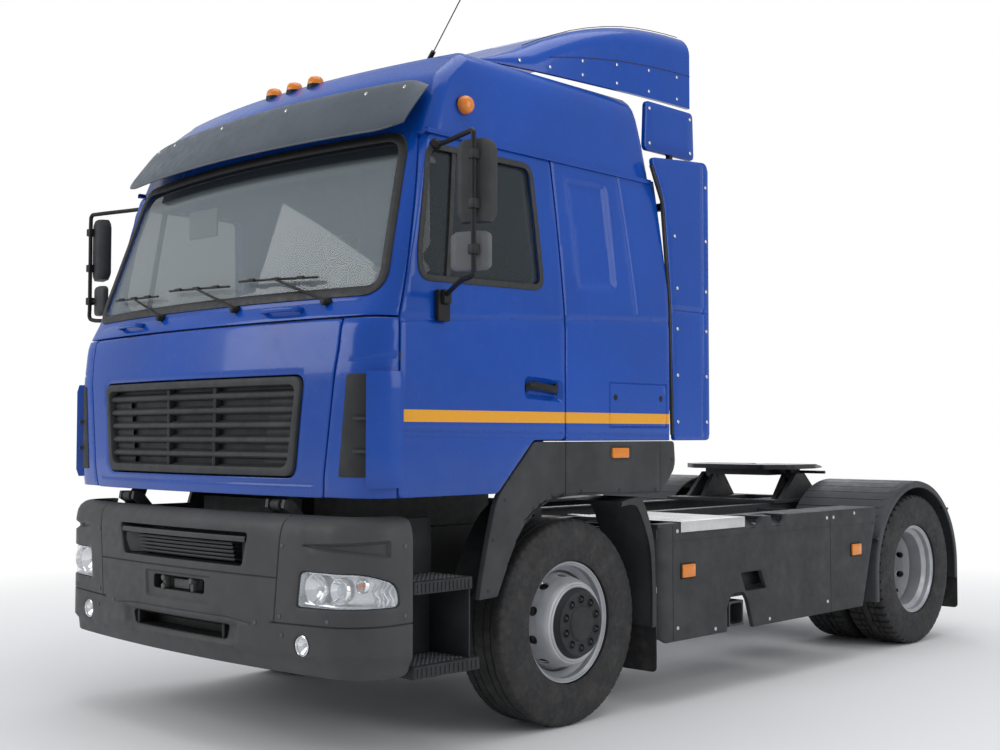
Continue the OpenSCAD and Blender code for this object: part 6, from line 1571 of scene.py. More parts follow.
U0 = SKIRT_Y0 + FRONT_R - FRONT_R * math.pi / 2 - 0.225
for sign, tag in ((1, "left"), (-1, "right")):
    fix = for_side(sign)
    top = [(SKIRT_Y1, SKIRT_TOP)]
    for y in reversed(SCOOPS):
        top += [(y + 0.172, SKIRT_TOP), (y + 0.150, SKIRT_TOP - 0.030), (y + 0.125, SKIRT_TOP - 0.055),
            (y + 0.100, SKIRT_TOP - 0.062), (y + 0.030, SKIRT_TOP - 0.062), (y + 0.008, SKIRT_TOP - 0.050),
            (y, SKIRT_TOP - 0.020), (y - 0.002, SKIRT_TOP)]
    top += [(PLATE_Y[1] - 0.004, SKIRT_TOP), (PLATE_Y[1] - 0.004, SKIRT_TOP - 0.052),
        (PLATE_Y[0], SKIRT_TOP - 0.052), (PLATE_Y[0], SKIRT_TOP), (U0, SKIRT_TOP)]
    outline = [(U0, SKIRT_Z0 + 0.04), (SKIRT_Y0 + 0.01, SKIRT_Z0 + 0.02), (SKIRT_Y0 + 0.06, SKIRT_Z0),
        (SKIRT_LOW_Y1, SKIRT_Z0), (SKIRT_Y1, SKIRT_TOP - 0.090)] + top
    holes = []
    if sign > 0:
        outline = [(U0, SKIRT_Z0 + 0.04), (SKIRT_Y0 + 0.01, SKIRT_Z0 + 0.02),
            (SKIRT_Y0 + 0.06, SKIRT_Z0)] + [(1.262, SKIRT_Z0), (1.268, 0.350), (1.268, 0.460),
            (1.285, 0.495), (1.318, 0.532), (1.345, 0.538), (1.415, 0.538), (1.440, 0.532), (1.474, 0.490),
            (1.488, 0.455), (1.524, 0.350), (1.532, SKIRT_Z0)] + [(SKIRT_LOW_Y1, SKIRT_Z0),
            (SKIRT_Y1, SKIRT_TOP - 0.090)] + top
        holes = [rounded([(1.455, 0.541), (1.668, 0.541), (1.612, 0.647), (1.404, 0.647)], 0.012)]
    creases = [([(SKIRT_Y0 + 0.06, 0.500), (SKIRT_Y1 - 0.30, 0.500)], 0.0, 0.01)]
    v, f = panel(outline, skirt_point, holes, 0.04, SKIRT_T, 0.006,
        [(rounded([(0.90, 0.560), (1.245, 0.560), (1.245, 0.400), (0.90, 0.400)], 0.03), 0.0, 0.02)],
        [([(0.760, SKIRT_Z0 + 0.01), (0.760, SKIRT_TOP - 0.02)], 0.005, 0.005),
        ([(2.40, 0.342), (2.40, SKIRT_TOP - 0.01)], 0.005, 0.005),
        ([(0.765, 0.86), (SKIRT_Y1 - 0.03, 0.86)], 0.003, 0.008)])
    o = mesh("skirt_panel_" + tag, *fix(v, f), GREY, "chassis")
    if sign > 0:
        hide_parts("side_skirts")
    # top shelf with the scoops' sloping floors
    parts = [box_part((SKIRT_X - 0.250, PLATE_Y[1], SKIRT_TOP - 0.022),
        (SKIRT_X - 0.160, SKIRT_Y1 - 0.002, SKIRT_TOP), 0.005)]
    edges = [(SCOOPS[0] - 0.002, SCOOPS[0] + 0.172), (SCOOPS[1] - 0.002, SCOOPS[1] + 0.172)]
    last = PLATE_Y[1]
    for a, b in edges + [(SKIRT_Y1 - 0.002, SKIRT_Y1 - 0.002)]:
        if a - last > 0.01:
            parts.append(box_part((SKIRT_X - 0.165, last, SKIRT_TOP - 0.022),
                (SKIRT_X - 0.010, a, SKIRT_TOP), 0.005))
        last = b
    for a, b in edges:
        parts.append(grid_part([[(SKIRT_X - 0.004 - 0.16 * k / 6, y,
            SKIRT_TOP - 0.060 + 0.058 * (k / 6) ** 1.5) for k in range(7)] for y in np.linspace(a, b, 6)]))
    parts.append(box_part((SKIRT_X - 0.070, PLATE_Y[0] - 0.19, SKIRT_TOP - 0.022),
        (SKIRT_X - 0.010, PLATE_Y[0], SKIRT_TOP), 0.005))
    for y in (SKIRT_Y0 + 0.008, WHEELBASE - 0.760):
        parts.append(box_part((0.431, y, FRAME_TOP - 0.070),
            (SKIRT_X - SKIRT_T, y + 0.018, FRAME_TOP - 0.024), 0.003))
    mesh("skirt_shelf_" + tag, *fix(*join(parts)), GREY, "chassis")
    places = [((sign * SKIRT_X, y, z), (sign, 0, 0))
        for y, z in ((0.80, 0.915), (0.80, 0.40), (2.36, 0.915), (2.36, 0.40), (2.44, 0.915), (2.70, 0.93),
        (1.70, 0.36), (1.15, 0.36))]
    mesh("skirt_screws_" + tag, *screw_heads(places, 0.011, 0.003), STEEL, "chassis")
    for k, y in enumerate((0.835, WHEELBASE - 0.945)):
        lamp = panel(rounded([(y, 0.664), (y + 0.115, 0.664), (y + 0.115, 0.734), (y, 0.734)], 0.008),
            lambda yy, z, t: Vector((SKIRT_X + 0.013 - t, yy, z)), (), 0.03, 0.012, 0.004)
        mesh(f"side_marker_{tag}_{k}", *fix(*lamp), AMBER, "chassis")
        rim_part = gasket([(y - 0.003, 0.661), (y + 0.118, 0.661), (y + 0.118, 0.737), (y - 0.003, 0.737)],
            lambda yy, z, t: Vector((SKIRT_X - t, yy, z)), 0.010, 0.005)
        mesh(f"side_marker_rim_{tag}_{k}", *fix(*rim_part), BLACK, "chassis")
    # tread plate on top, folded over the edge
    parts = [box_part((0.490, PLATE_Y[0], SKIRT_TOP + 0.0005),
        (SKIRT_X + 0.002, PLATE_Y[1] - 0.005, SKIRT_TOP + 0.006), 0.002),
        box_part((SKIRT_X + 0.0005, PLATE_Y[0], SKIRT_TOP - 0.052),
        (SKIRT_X + 0.003, PLATE_Y[1] - 0.005, SKIRT_TOP + 0.0055), 0.001),
        box_part((0.370, PLATE_Y[0] + 0.08, SKIRT_TOP + 0.0005),
        (0.492, PLATE_Y[0] + 0.13, SKIRT_TOP + 0.006), 0.002)]
    o = mesh("tread_plate_" + tag, *fix(*join(parts)), ALUMINIUM, "chassis")
    if sign > 0:
        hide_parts("catwalk")
    mesh("tread_lozenges_" + tag, *fix(*lozenges(0.50, SKIRT_X - 0.01, PLATE_Y[0] + 0.008,
        PLATE_Y[1] - 0.012, SKIRT_TOP + 0.006, 0.034, 0.0018)), ALUMINIUM, "chassis", smooth=False)


# ---------------------------------------------------------------- arches under the cab and the mudguards

ARCH_IN = [(0.649, 1.123), (-0.060, 1.134), (-0.170, 1.132), (-0.280, 1.105), (-0.375, 1.050),
    (-0.450, 0.960), (-0.520, 0.840), (-0.592, 0.689)]
ARCH_OUT = [(-0.715, 0.683), (-0.666, 0.921), (-0.603, 1.120), (-0.576, 1.165), (-0.340, SILL - 0.003)]
arch_outline = rounded([(0.768, SILL - 0.003), (0.780, 1.258)] + ARCH_IN + ARCH_OUT,
    [0.02, 0.05, 0.02, 0.15, 0.15, 0.15, 0.15, 0.15, 0.15, 0.012, 0.012, 0.2, 0.06, 0.05, 0.01])
arch_lip = [(-0.585, 0.700), (-0.512, 0.846), (-0.442, 0.966), (-0.367, 1.058), (-0.273, 1.114),
    (-0.165, 1.142), (-0.060, 1.144), (0.640, 1.133)]
v, f = panel(arch_outline, side, (), 0.025, 0.030, 0.007,
    [(rounded([(0.215, 1.300), (0.400, 1.296), (0.400, 1.374), (0.215, 1.378)], 0.012), 0.005, 0.008)],
    [([(-0.120, 1.150), (-0.117, SILL - 0.01)], 0.006, 0.004), (arch_lip, 0.006, 0.006),
    ([(-0.640, 1.140), (-0.500, 1.215), (-0.335, 1.360)], 0.0, 0.02),
    ([(0.640, 1.150), (0.640, SILL - 0.01)], 0.004, 0.005)])
left, _ = pair("wheel_arch_panel", v, f, GREY, "cab")
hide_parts("cab_fenders")
marker = panel(rounded([(0.240, 1.312), (0.374, 1.312), (0.374, 1.364), (0.240, 1.364)], 0.010),
    lambda y, z, t: side(y, z, t - 0.006), (), 0.03, 0.012, 0.005)
pair("arch_marker", *marker, AMBER, "cab")
liner_low = [(0.649, 1.123)] + ARCH_IN[1:]
line = curve_points([(p[0], 0, p[1]) for p in liner_low], 5)
pair("wheel_arch_liner", *grid_part([[(x, p.x, p.z + 0.012 * k)
    for k, x in ((0, HALF - 0.030), (0.2, HALF - 0.10), (0, HALF - 0.20), (0.6, HALF - 0.32))]
    for p in line]), GREY_DARK, "cab")
places = [((HALF, y, z), (1, 0, 0)) for y, z in ((-0.655, 0.72), (-0.625, 0.95), (-0.545, 1.13),
    (0.60, 1.145), (0.30, 1.150), (0.0, 1.156), (0.745, 1.30))]
pair("wheel_arch_screws", *screw_heads(places, 0.009, 0.003), GREY_DARK, "cab")

GUARD_R = TYRE_R + 0.080
GUARD_X = (HALF - 0.330, HALF - 0.004)
FLAP_Y = GUARD_R + 0.022
inner_line = [(GUARD_R, 0.430), (GUARD_R, 0.660), (GUARD_R - 0.022, 0.860), (GUARD_R - 0.107, 1.040),
    (GUARD_R - 0.167, 1.075), (GUARD_R - 0.257, 1.068)]
outer_line = [(FLAP_Y, 0.430), (FLAP_Y, 0.700), (GUARD_R + 0.003, 0.900), (GUARD_R - 0.082, 1.090),
    (GUARD_R - 0.167, 1.105), (GUARD_R - 0.257, 1.090)]
a = curve_points([(0, p[0], p[1]) for p in inner_line], 8)
b = curve_points([(0, p[0], p[1]) for p in outer_line], 8)
ring = []
for p, q in zip(a, b):
    m = (p + q) / 2
    ring.append([(GUARD_X[0], p.y, p.z), (GUARD_X[0] + 0.004, q.y, q.z), (GUARD_X[1] - 0.030, q.y, q.z),
        (GUARD_X[1] - 0.010, q.y - 0.002, q.z), (GUARD_X[1], q.y - 0.008, q.z - 0.002),
        (GUARD_X[1], (p.y + q.y) / 2 - 0.006, (p.z + q.z) / 2),
        (GUARD_X[1] - 0.002, p.y - 0.010, p.z - 0.004), (GUARD_X[1] - 0.018, p.y - 0.006, p.z - 0.004),
        (GUARD_X[1] - 0.024, p.y, p.z)])
v, f = capped(ring)
left, _ = pair("front_mudguard", v, f, GREY, "chassis", angle=35)
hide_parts("front_mudguards")


def mudflap(x0, x1, y, z0, z1, name, ribs=7):
    """A ribbed rubber flap with rounded lower corners."""
    outline = rounded([(x0, z0), (x1, z0), (x1, z1), (x0, z1)], [0.03, 0.03, 0.006, 0.006])
    lines = [([(x0 + 0.03 + (x1 - x0 - 0.06) * k / (ribs - 1), z0 + 0.05),
        (x0 + 0.03 + (x1 - x0 - 0.06) * k / (ribs - 1), z1 - 0.05)], 0.0015, 0.006) for k in range(ribs)]
    v, f = panel(outline, lambda x, z, t: Vector((x, y + 0.0085 - t, z)), (), 0.03, 0.008, 0.002, (), lines)
    return pair(name, *flip_faces(v, f), FLAP_RUBBER, "chassis")


def flip_faces(v, f):
    """The same piece with its faces turned over."""
    return v, [tuple(reversed(q)) for q in f]


mudflap(GUARD_X[0] + 0.010, GUARD_X[1] - 0.006, FLAP_Y + 0.0005, 0.190, 0.640, "front_mudflap")
strip = [box_part((GUARD_X[0] + 0.012, FLAP_Y + 0.009, 0.600), (GUARD_X[1] - 0.008, FLAP_Y + 0.013, 0.632),
    0.001)]
places = [((GUARD_X[0] + 0.05 + 0.11 * k, FLAP_Y + 0.013, 0.616), (0, 1, 0)) for k in range(3)]
pair("front_mudflap_strip", *join(strip + [screw_heads(places, 0.009, 0.004)]), STEEL, "chassis")
arms = [tube([(0.432, FLAP_Y - 0.022, FRAME_TOP - 0.045),
    (GUARD_X[0] + 0.05, FLAP_Y - 0.022, FRAME_TOP - 0.045)], 0.017, 12)]
arms.append(box_part((GUARD_X[0] - 0.004, FLAP_Y - 0.052, FRAME_TOP - 0.075),
    (GUARD_X[0] + 0.012, FLAP_Y - 0.004, FRAME_TOP - 0.012), 0.003))
pair("front_mudguard_arm", *join(arms), CHASSIS, "chassis")

# rear fenders: ribbed arches with a rolled outer lip, and their flaps
FEND_R = TYRE_R + 0.098
FEND_X = (0.540, HALF - 0.015)
w = FEND_X[1] - FEND_X[0]


def fender_row(a, y_extra, z_drop, rib):
    """One section of the fender at angle a from the front; rib sinks its top."""
    rows = []
    prof = [(FEND_R - 0.012, 0.0), (FEND_R - 0.004 - rib, 0.0), (FEND_R - rib, 0.012), (FEND_R - rib, 0.30),
        (FEND_R - rib, w - 0.075), (FEND_R - rib * 0.5, w - 0.060), (FEND_R - 0.002, w - 0.046),
        (FEND_R - 0.001, w - 0.020), (FEND_R - 0.006, w - 0.006), (FEND_R - 0.014, w), (FEND_R - 0.040, w),
        (FEND_R - 0.045, w - 0.003), (FEND_R - 0.045, w - 0.012), (FEND_R - 0.040, w - 0.014),
        (FEND_R - 0.020, w - 0.014), (FEND_R - 0.012, w - 0.022), (FEND_R - 0.012, 0.30)]
    return [(FEND_X[0] + x, WHEELBASE - r * math.cos(a) + y_extra, TYRE_R + r * math.sin(a) + z_drop)
        for r, x in prof]


rows = []
for z in (0.335, 0.40, 0.45):
    rows.append(fender_row(0.0, 0.0, z - TYRE_R, 0.0))
n_ribs = 24
for k in range(n_ribs):
    for da, rib in ((0.0, 0.0), (0.06, 0.0), (0.10, 0.0042), (0.14, 0.0)):
        rows.append(fender_row(math.pi * (k + da) / n_ribs, 0, 0, rib))
    rows.append(fender_row(math.pi * (k + 0.6) / n_ribs, 0, 0, 0.0))
rows.append(fender_row(math.pi, 0, 0, 0.0))
rows.append(fender_row(math.pi, 0, -0.10, 0.0))
v, f = capped(rows)
left, _ = pair("rear_fender", v, f, FENDER_GREY, "chassis", angle=28)
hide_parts("rear_fenders")
mudflap(FEND_X[0] + 0.012, FEND_X[1] - 0.010, WHEELBASE + FEND_R + 0.0005, 0.187, 0.470, "rear_mudflap", 12)
strip = [box_part((FEND_X[0] + 0.014, WHEELBASE + FEND_R - 0.0005, 0.452),
    (FEND_X[1] - 0.012, WHEELBASE + FEND_R + 0.0095, 0.472), 0.001)]
places = [((FEND_X[0] + 0.06 + 0.14 * k, WHEELBASE + FEND_R + 0.0088, 0.436), (0, 1, 0)) for k in range(5)]
pair("rear_mudflap_strip", *join(strip + [screw_heads(places, 0.009, 0.0035)]), STEEL, "chassis")
# clips on the lip and the tubes that hold the fenders
clips = []
for deg in (24, 90, 138):
    a = math.radians(deg)
    c = Vector((FEND_X[1] - 0.03, WHEELBASE - (FEND_R + 0.001) * math.cos(a),
        TYRE_R + (FEND_R + 0.001) * math.sin(a)))
    clips.append(box_part((c.x - 0.02, c.y - 0.022, c.z - 0.018), (c.x + 0.026, c.y + 0.022, c.z - 0.002),
        0.003))
arch_at = math.sqrt(FEND_R ** 2 - (0.690 + 0.020 - TYRE_R) ** 2)
for s in (-1, 1):
    y = WHEELBASE + s * (arch_at + 0.016)
    clips.append(tube([(0.431, y, 0.727), (FEND_X[0] + 0.02, y, 0.727)], 0.017, 14))
for deg in (52, 128):
    a = math.radians(deg)
    y, z = WHEELBASE - (FEND_R - 0.030) * math.cos(a), TYRE_R + (FEND_R - 0.030) * math.sin(a)
    if z > FRAME_TOP - 0.02:
        z0 = FRAME_TOP - 0.06
        clips.append(tube(curve_points([(0.431, y, z0), (0.50, y, z0), (0.545, y, z0 + 0.03), (0.56, y, z),
            (0.62, y, z)], 5), 0.016, 12))
pair("rear_fender_clips", *join(clips), CHASSIS, "chassis")

# ---------------------------------------------------------------- wheels

def tread_grooves(kind):
    """Columns (across, depth, zigzag, cross groove zone) of half a tread, middle outwards."""
    if kind == "rib":
        cols, zig = [(0.0, 0, 0, 0)], 0.0022
        for c, width in ((0.033, 0.010), (0.078, 0.011)):
            cols += [(c - width / 2, 0, zig, 0), (c - width / 2 + 0.002, 0.012, zig, 0),
                (c + width / 2 - 0.002, 0.012, zig, 0), (c + width / 2, 0, zig, 0)]
        cols += [(0.112, 0, 0, 0), (0.1155, 0.0, 0, 0.3), (0.1265, 0.0022, 0, 1), (0.1345, 0.0065, 0, 1),
            (0.1395, 0.0120, 0, 1)]
    else:
        cols, zig = [(0.0, 0, 0.004, 0), (0.002, 0, 0.004, 0)], 0.004
        cols += [(0.020, 0, zig, 0), (0.024, 0.014, zig, 0), (0.030, 0.014, zig, 0), (0.034, 0, zig, 0)]
        cols += [(0.036, 0, zig, 1), (0.062, 0, 0.003, 1), (0.065, 0.016, 0.003, 1),
            (0.073, 0.016, 0.003, 1), (0.076, 0, 0.003, 1), (0.079, 0, 0, 1), (0.108, 0, 0, 1),
            (0.1165, 0.0, 0, 1), (0.1275, 0.0026, 0, 1), (0.1355, 0.0075, 0, 1), (0.1400, 0.0145, 0, 1)]
    return cols


def tyre_mesh(kind, x, y):
    """A tyre with its middle plane at x: beads, side walls with raised bands, shoulders and tread."""
    cols = tread_grooves(kind)
    cells = 60 if kind == "rib" else 52
    mid_r, half_r = (TYRE_R + 0.2985) / 2 - 0.008, (TYRE_R - 0.2985) / 2 * 0.92
    wall = [(0.2865, 0.110), (0.3020, 0.1125), (0.3035, 0.1165)]
    for a in range(-78, 62, 7):
        rr, xx = mid_r + half_r * math.sin(math.radians(a)), 0.135 + 0.0195 * math.cos(math.radians(a))
        wall.append((rr, xx))
    wall = [(r, min(w, 0.1545)) for r, w in wall]
    bands = [(0.318, 0.322), (0.352, 0.3545), (0.436, 0.4385), (0.459, 0.4615)]
    wall = [(r, w + (0.0008 if any(a <= r <= b for a, b in bands) else 0)) for r, w in wall]
    steps = [(0.0, 0), (0.10, 1), (0.26, 1), (0.36, 0), (0.68, 0)]
    rows = []
    for k in range(cells):
        for da, cut in steps:
            th = 2 * math.pi * (k + da) / cells
            saw = 1 - 4 * abs(((k + da) / 2.0) % 1 - 0.5)
            half = []
            for wv, depth, zig, zone in cols:
                if cut and zone and kind == "rib":
                    depth += 0.004 * zone
                elif cut and zone:
                    depth = max(depth, 0.013) + (0.004 if wv > 0.12 else 0)
                half.append((TYRE_R - depth, wv, zig * saw))
            row = (wall + [(r, wv + dz) for r, wv, dz in reversed(half)]
                + [(r, -wv + dz) for r, wv, dz in half[1:]] + [(r, -wv) for r, wv in reversed(wall)])
            rows.append([(x + wv, y - r * math.cos(th), TYRE_R + r * math.sin(th)) for r, wv in row])
    m, n = len(rows[0]), len(rows)
    verts = [p for row in rows for p in row]
    faces = []
    for i in range(n):
        j = (i + 1) % n
        for k in range(m - 1):
            faces.append((i * m + k, i * m + k + 1, j * m + k + 1, j * m + k))
    return verts, faces


BEAD_R, RIM_R, RIM_HALF, OFFSET = 0.2855, 0.2985, 0.127, 0.175
SPINDLE_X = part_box("tyres_rear_left")[1].x - 0.155 - OFFSET
FRONT_X = mid("tyre_front_left").x
REAR_X = SPINDLE_X + OFFSET


def rim_barrel():
    """Flange, bead seat and drop centre, seen from inside and outside; radius and place along the axle."""
    return [(RIM_R - 0.0095, -RIM_HALF + 0.0005), (RIM_R - 0.003, -RIM_HALF), (RIM_R, -RIM_HALF + 0.003),
        (RIM_R - 0.0005, -RIM_HALF + 0.008), (BEAD_R + 0.004, -RIM_HALF + 0.0125),
        (BEAD_R, -RIM_HALF + 0.018), (BEAD_R, -RIM_HALF + 0.040), (BEAD_R - 0.026, -RIM_HALF + 0.060),
        (BEAD_R - 0.026, RIM_HALF - 0.060), (BEAD_R, RIM_HALF - 0.040), (BEAD_R, RIM_HALF - 0.018),
        (BEAD_R + 0.004, RIM_HALF - 0.0125), (RIM_R - 0.0005, RIM_HALF - 0.008), (RIM_R, RIM_HALF - 0.003),
        (RIM_R - 0.003, RIM_HALF), (RIM_R - 0.0085, RIM_HALF - 0.001), (RIM_R - 0.0115, RIM_HALF - 0.006),
        (BEAD_R - 0.008, RIM_HALF - 0.013), (BEAD_R - 0.010, RIM_HALF - 0.020),
        (BEAD_R - 0.010, RIM_HALF - 0.042), (BEAD_R - 0.014, RIM_HALF - 0.048),
        (BEAD_R - 0.032, RIM_HALF - 0.060), (BEAD_R - 0.036, RIM_HALF - 0.066),
        (BEAD_R - 0.036, RIM_HALF - 0.080), (BEAD_R - 0.036, 0.0), (BEAD_R - 0.036, -RIM_HALF + 0.064),
        (BEAD_R - 0.012, -RIM_HALF + 0.045), (BEAD_R - 0.010, -RIM_HALF + 0.040),
        (BEAD_R - 0.010, -RIM_HALF + 0.016), (RIM_R - 0.012, -RIM_HALF + 0.006)]


def disc_mesh(at, facing, bore=0.088, hole_r=0.024, holes=10, thick=0.013):
    """The wheel's dished disc with round hand holes; at is the rim's middle.

    facing is 1 if the dish opens outwards (+x).
    """
    prof = [(BEAD_R - 0.037, 0.026), (BEAD_R - 0.043, 0.040), (BEAD_R - 0.050, 0.060),
        (BEAD_R - 0.056, 0.076), (0.222, 0.108), (0.213, 0.140), (0.207, 0.158), (0.200, 0.170),
        (0.192, OFFSET), (0.180, OFFSET), (0.150, OFFSET), (bore + 0.02, OFFSET), (bore, OFFSET - 0.004)]
    radii, depths, total = [], [], 0.0
    for i, (r, xx) in enumerate(prof):
        if i:
            total += math.hypot(r - prof[i - 1][0], xx - prof[i - 1][1])
        radii.append((total, r))
        depths.append((total, xx))

    def at_s(s, t):
        """Radius and place along the axle at distance s down the dish, t behind its face."""
        s = min(max(s, 0), total)
        r, xx = lookup(s, radii), lookup(s, depths)
        dr = lookup(s + 0.004, radii) - lookup(s - 0.004, radii)
        dx = lookup(s + 0.004, depths) - lookup(s - 0.004, depths)
        d = math.hypot(dr, dx) or 1
        return r - t * dx / d, xx + t * dr / d

    hole_s = 0.062
    n = 12 * holes
    s_vals = [0.0, 0.012, 0.024] + [hole_s + hole_r * k for k in (-1.15, 0, 1.15)] + [0.100, 0.120, 0.140,
        0.155] + list(np.linspace(0.165, total, 6))
    verts, faces = [], []
    index = {}

    def vert(s, th, t):
        key = (round(s, 5), round(th % (2 * math.pi), 5), t)
        if key not in index:
            r, xx = at_s(s, t)
            index[key] = len(verts)
            verts.append((at[0] + facing * xx, at[1] - r * math.cos(th), at[2] + r * math.sin(th)))
        return index[key]

    half_cell = math.pi / holes
    r_mid = at_s(hole_s, 0)[0]
    for t, turn in ((0.0, 1), (thick, -1)):
        for k in range(holes):
            c = 2 * math.pi * (k + 0.5) / holes
            cell = np.linspace(c - half_cell, c + half_cell, 13)
            for i in range(len(s_vals) - 1):
                if s_vals[i] >= s_vals[3] - 1e-6 and s_vals[i + 1] <= s_vals[5] + 1e-6:
                    continue
                for j in range(12):
                    q = (vert(s_vals[i], cell[j], t), vert(s_vals[i + 1], cell[j], t),
                        vert(s_vals[i + 1], cell[j + 1], t), vert(s_vals[i], cell[j + 1], t))
                    faces.append(q if turn > 0 else q[::-1])
            # ring of faces round the hole, from the cell's border to the circle
            s0, s1 = s_vals[3], s_vals[5]
            border = [(s0, a) for a in cell] + [(s_vals[4], cell[12])] + [(s1, a)
                for a in cell[::-1]] + [(s_vals[4], cell[0])]
            m = len(border)
            inner = []
            for s, a in border:
                ang = math.atan2((a - c) * r_mid, s - hole_s)
                inner.append((hole_s + hole_r * math.cos(ang), c + hole_r * math.sin(ang) / r_mid))
            soft = [(hole_s + (s - hole_s) * 1.12, c + (a - c) * 1.12) for s, a in inner]
            for j in range(m):
                j2 = (j + 1) % m
                q = (vert(*border[j], t), vert(*soft[j], t), vert(*soft[j2], t), vert(*border[j2], t))
                faces.append(q[::-1] if turn > 0 else q)
                q = (vert(*soft[j], t), vert(*inner[j], t + (0.002 if turn > 0 else -0.002)),
                    vert(*inner[j2], t + (0.002 if turn > 0 else -0.002)), vert(*soft[j2], t))
                faces.append(q[::-1] if turn > 0 else q)
            if turn > 0:
                for j in range(m):
                    j2 = (j + 1) % m
                    faces.append((vert(*inner[j], 0.002), vert(*inner[j2], 0.002),
                        vert(*inner[j2], thick - 0.002), vert(*inner[j], thick - 0.002)))
    if facing < 0:
        faces = [tuple(reversed(q)) for q in faces]
    return verts, faces


def nuts(x, y, r, count, size, h, axis=1, collar=True):
    """Hexagon nuts with a pressed washer and a stud's end, on a circle about the axle."""
    parts = []
    for k in range(count):
        a = 2 * math.pi * (k + 0.5) / count
        cy, cz = y - r * math.cos(a), TYRE_R + r * math.sin(a)
        if collar:
            parts.append(lathe([(size * 1.28, 0.0), (size * 1.26, axis * 0.004),
                (size * 1.05, axis * 0.007)], 24, "x", (x, cy, cz)))
        v, f = lathe([(size * 1.12, axis * 0.003), (size * 1.12, axis * (h - 0.005)), (size, axis * h),
            (size * 0.62, axis * h)], 6, "x", (x, cy, cz))
        parts.append((v, f))
        parts.append(lathe([(size * 0.62, axis * (h - 0.002)), (size * 0.60, axis * (h + 0.008)),
            (size * 0.50, axis * (h + 0.010)), (0.0, axis * (h + 0.010))], 16, "x", (x, cy, cz)))
    return parts


def cover_plate(x0, y):
    """Black cover over the front hub: stepped edge, ten sunk cups for the nuts and a raised middle disc."""
    outer = circle((y, TYRE_R), 0.158, 96)
    holes = [circle((y - 0.118 * math.cos(2 * math.pi * (k + 0.5) / 10),
        TYRE_R + 0.118 * math.sin(2 * math.pi * (k + 0.5) / 10)), 0.0185, 20) for k in range(10)]
    v1, f1 = panel(outer, lambda a, b, t: Vector((x0 + 0.036 - t, a, b)), holes, 0.03, 0.020, 0.004, [], [])
    parts = [(v1, f1)]
    parts.append(lathe([(0.146, 0.020), (0.150, 0.034), (0.156, 0.033), (0.166, 0.012), (0.170, 0.002),
        (0.172, 0.000)][::-1], 96, "x", (x0, y, TYRE_R)))
    parts.append(lathe([(0.0, 0.046), (0.070, 0.046), (0.078, 0.0445), (0.084, 0.041),
        (0.087, 0.035)][::-1], 96, "x", (x0, y, TYRE_R)))
    for h in holes:
        cy, cz = sum(p[0] for p in h) / len(h), sum(p[1] for p in h) / len(h)
        parts.append(lathe([(0.0, 0.016), (0.0180, 0.016), (0.0187, 0.024), (0.0187, 0.0345)][::-1], 20,
            "x", (x0, cy, cz)))
        parts.append(lathe([(0.0185, 0.0345), (0.0205, 0.0385), (0.0235, 0.0385), (0.0255, 0.0355)][::-1],
            24, "x", (x0, cy, cz)))
    return parts


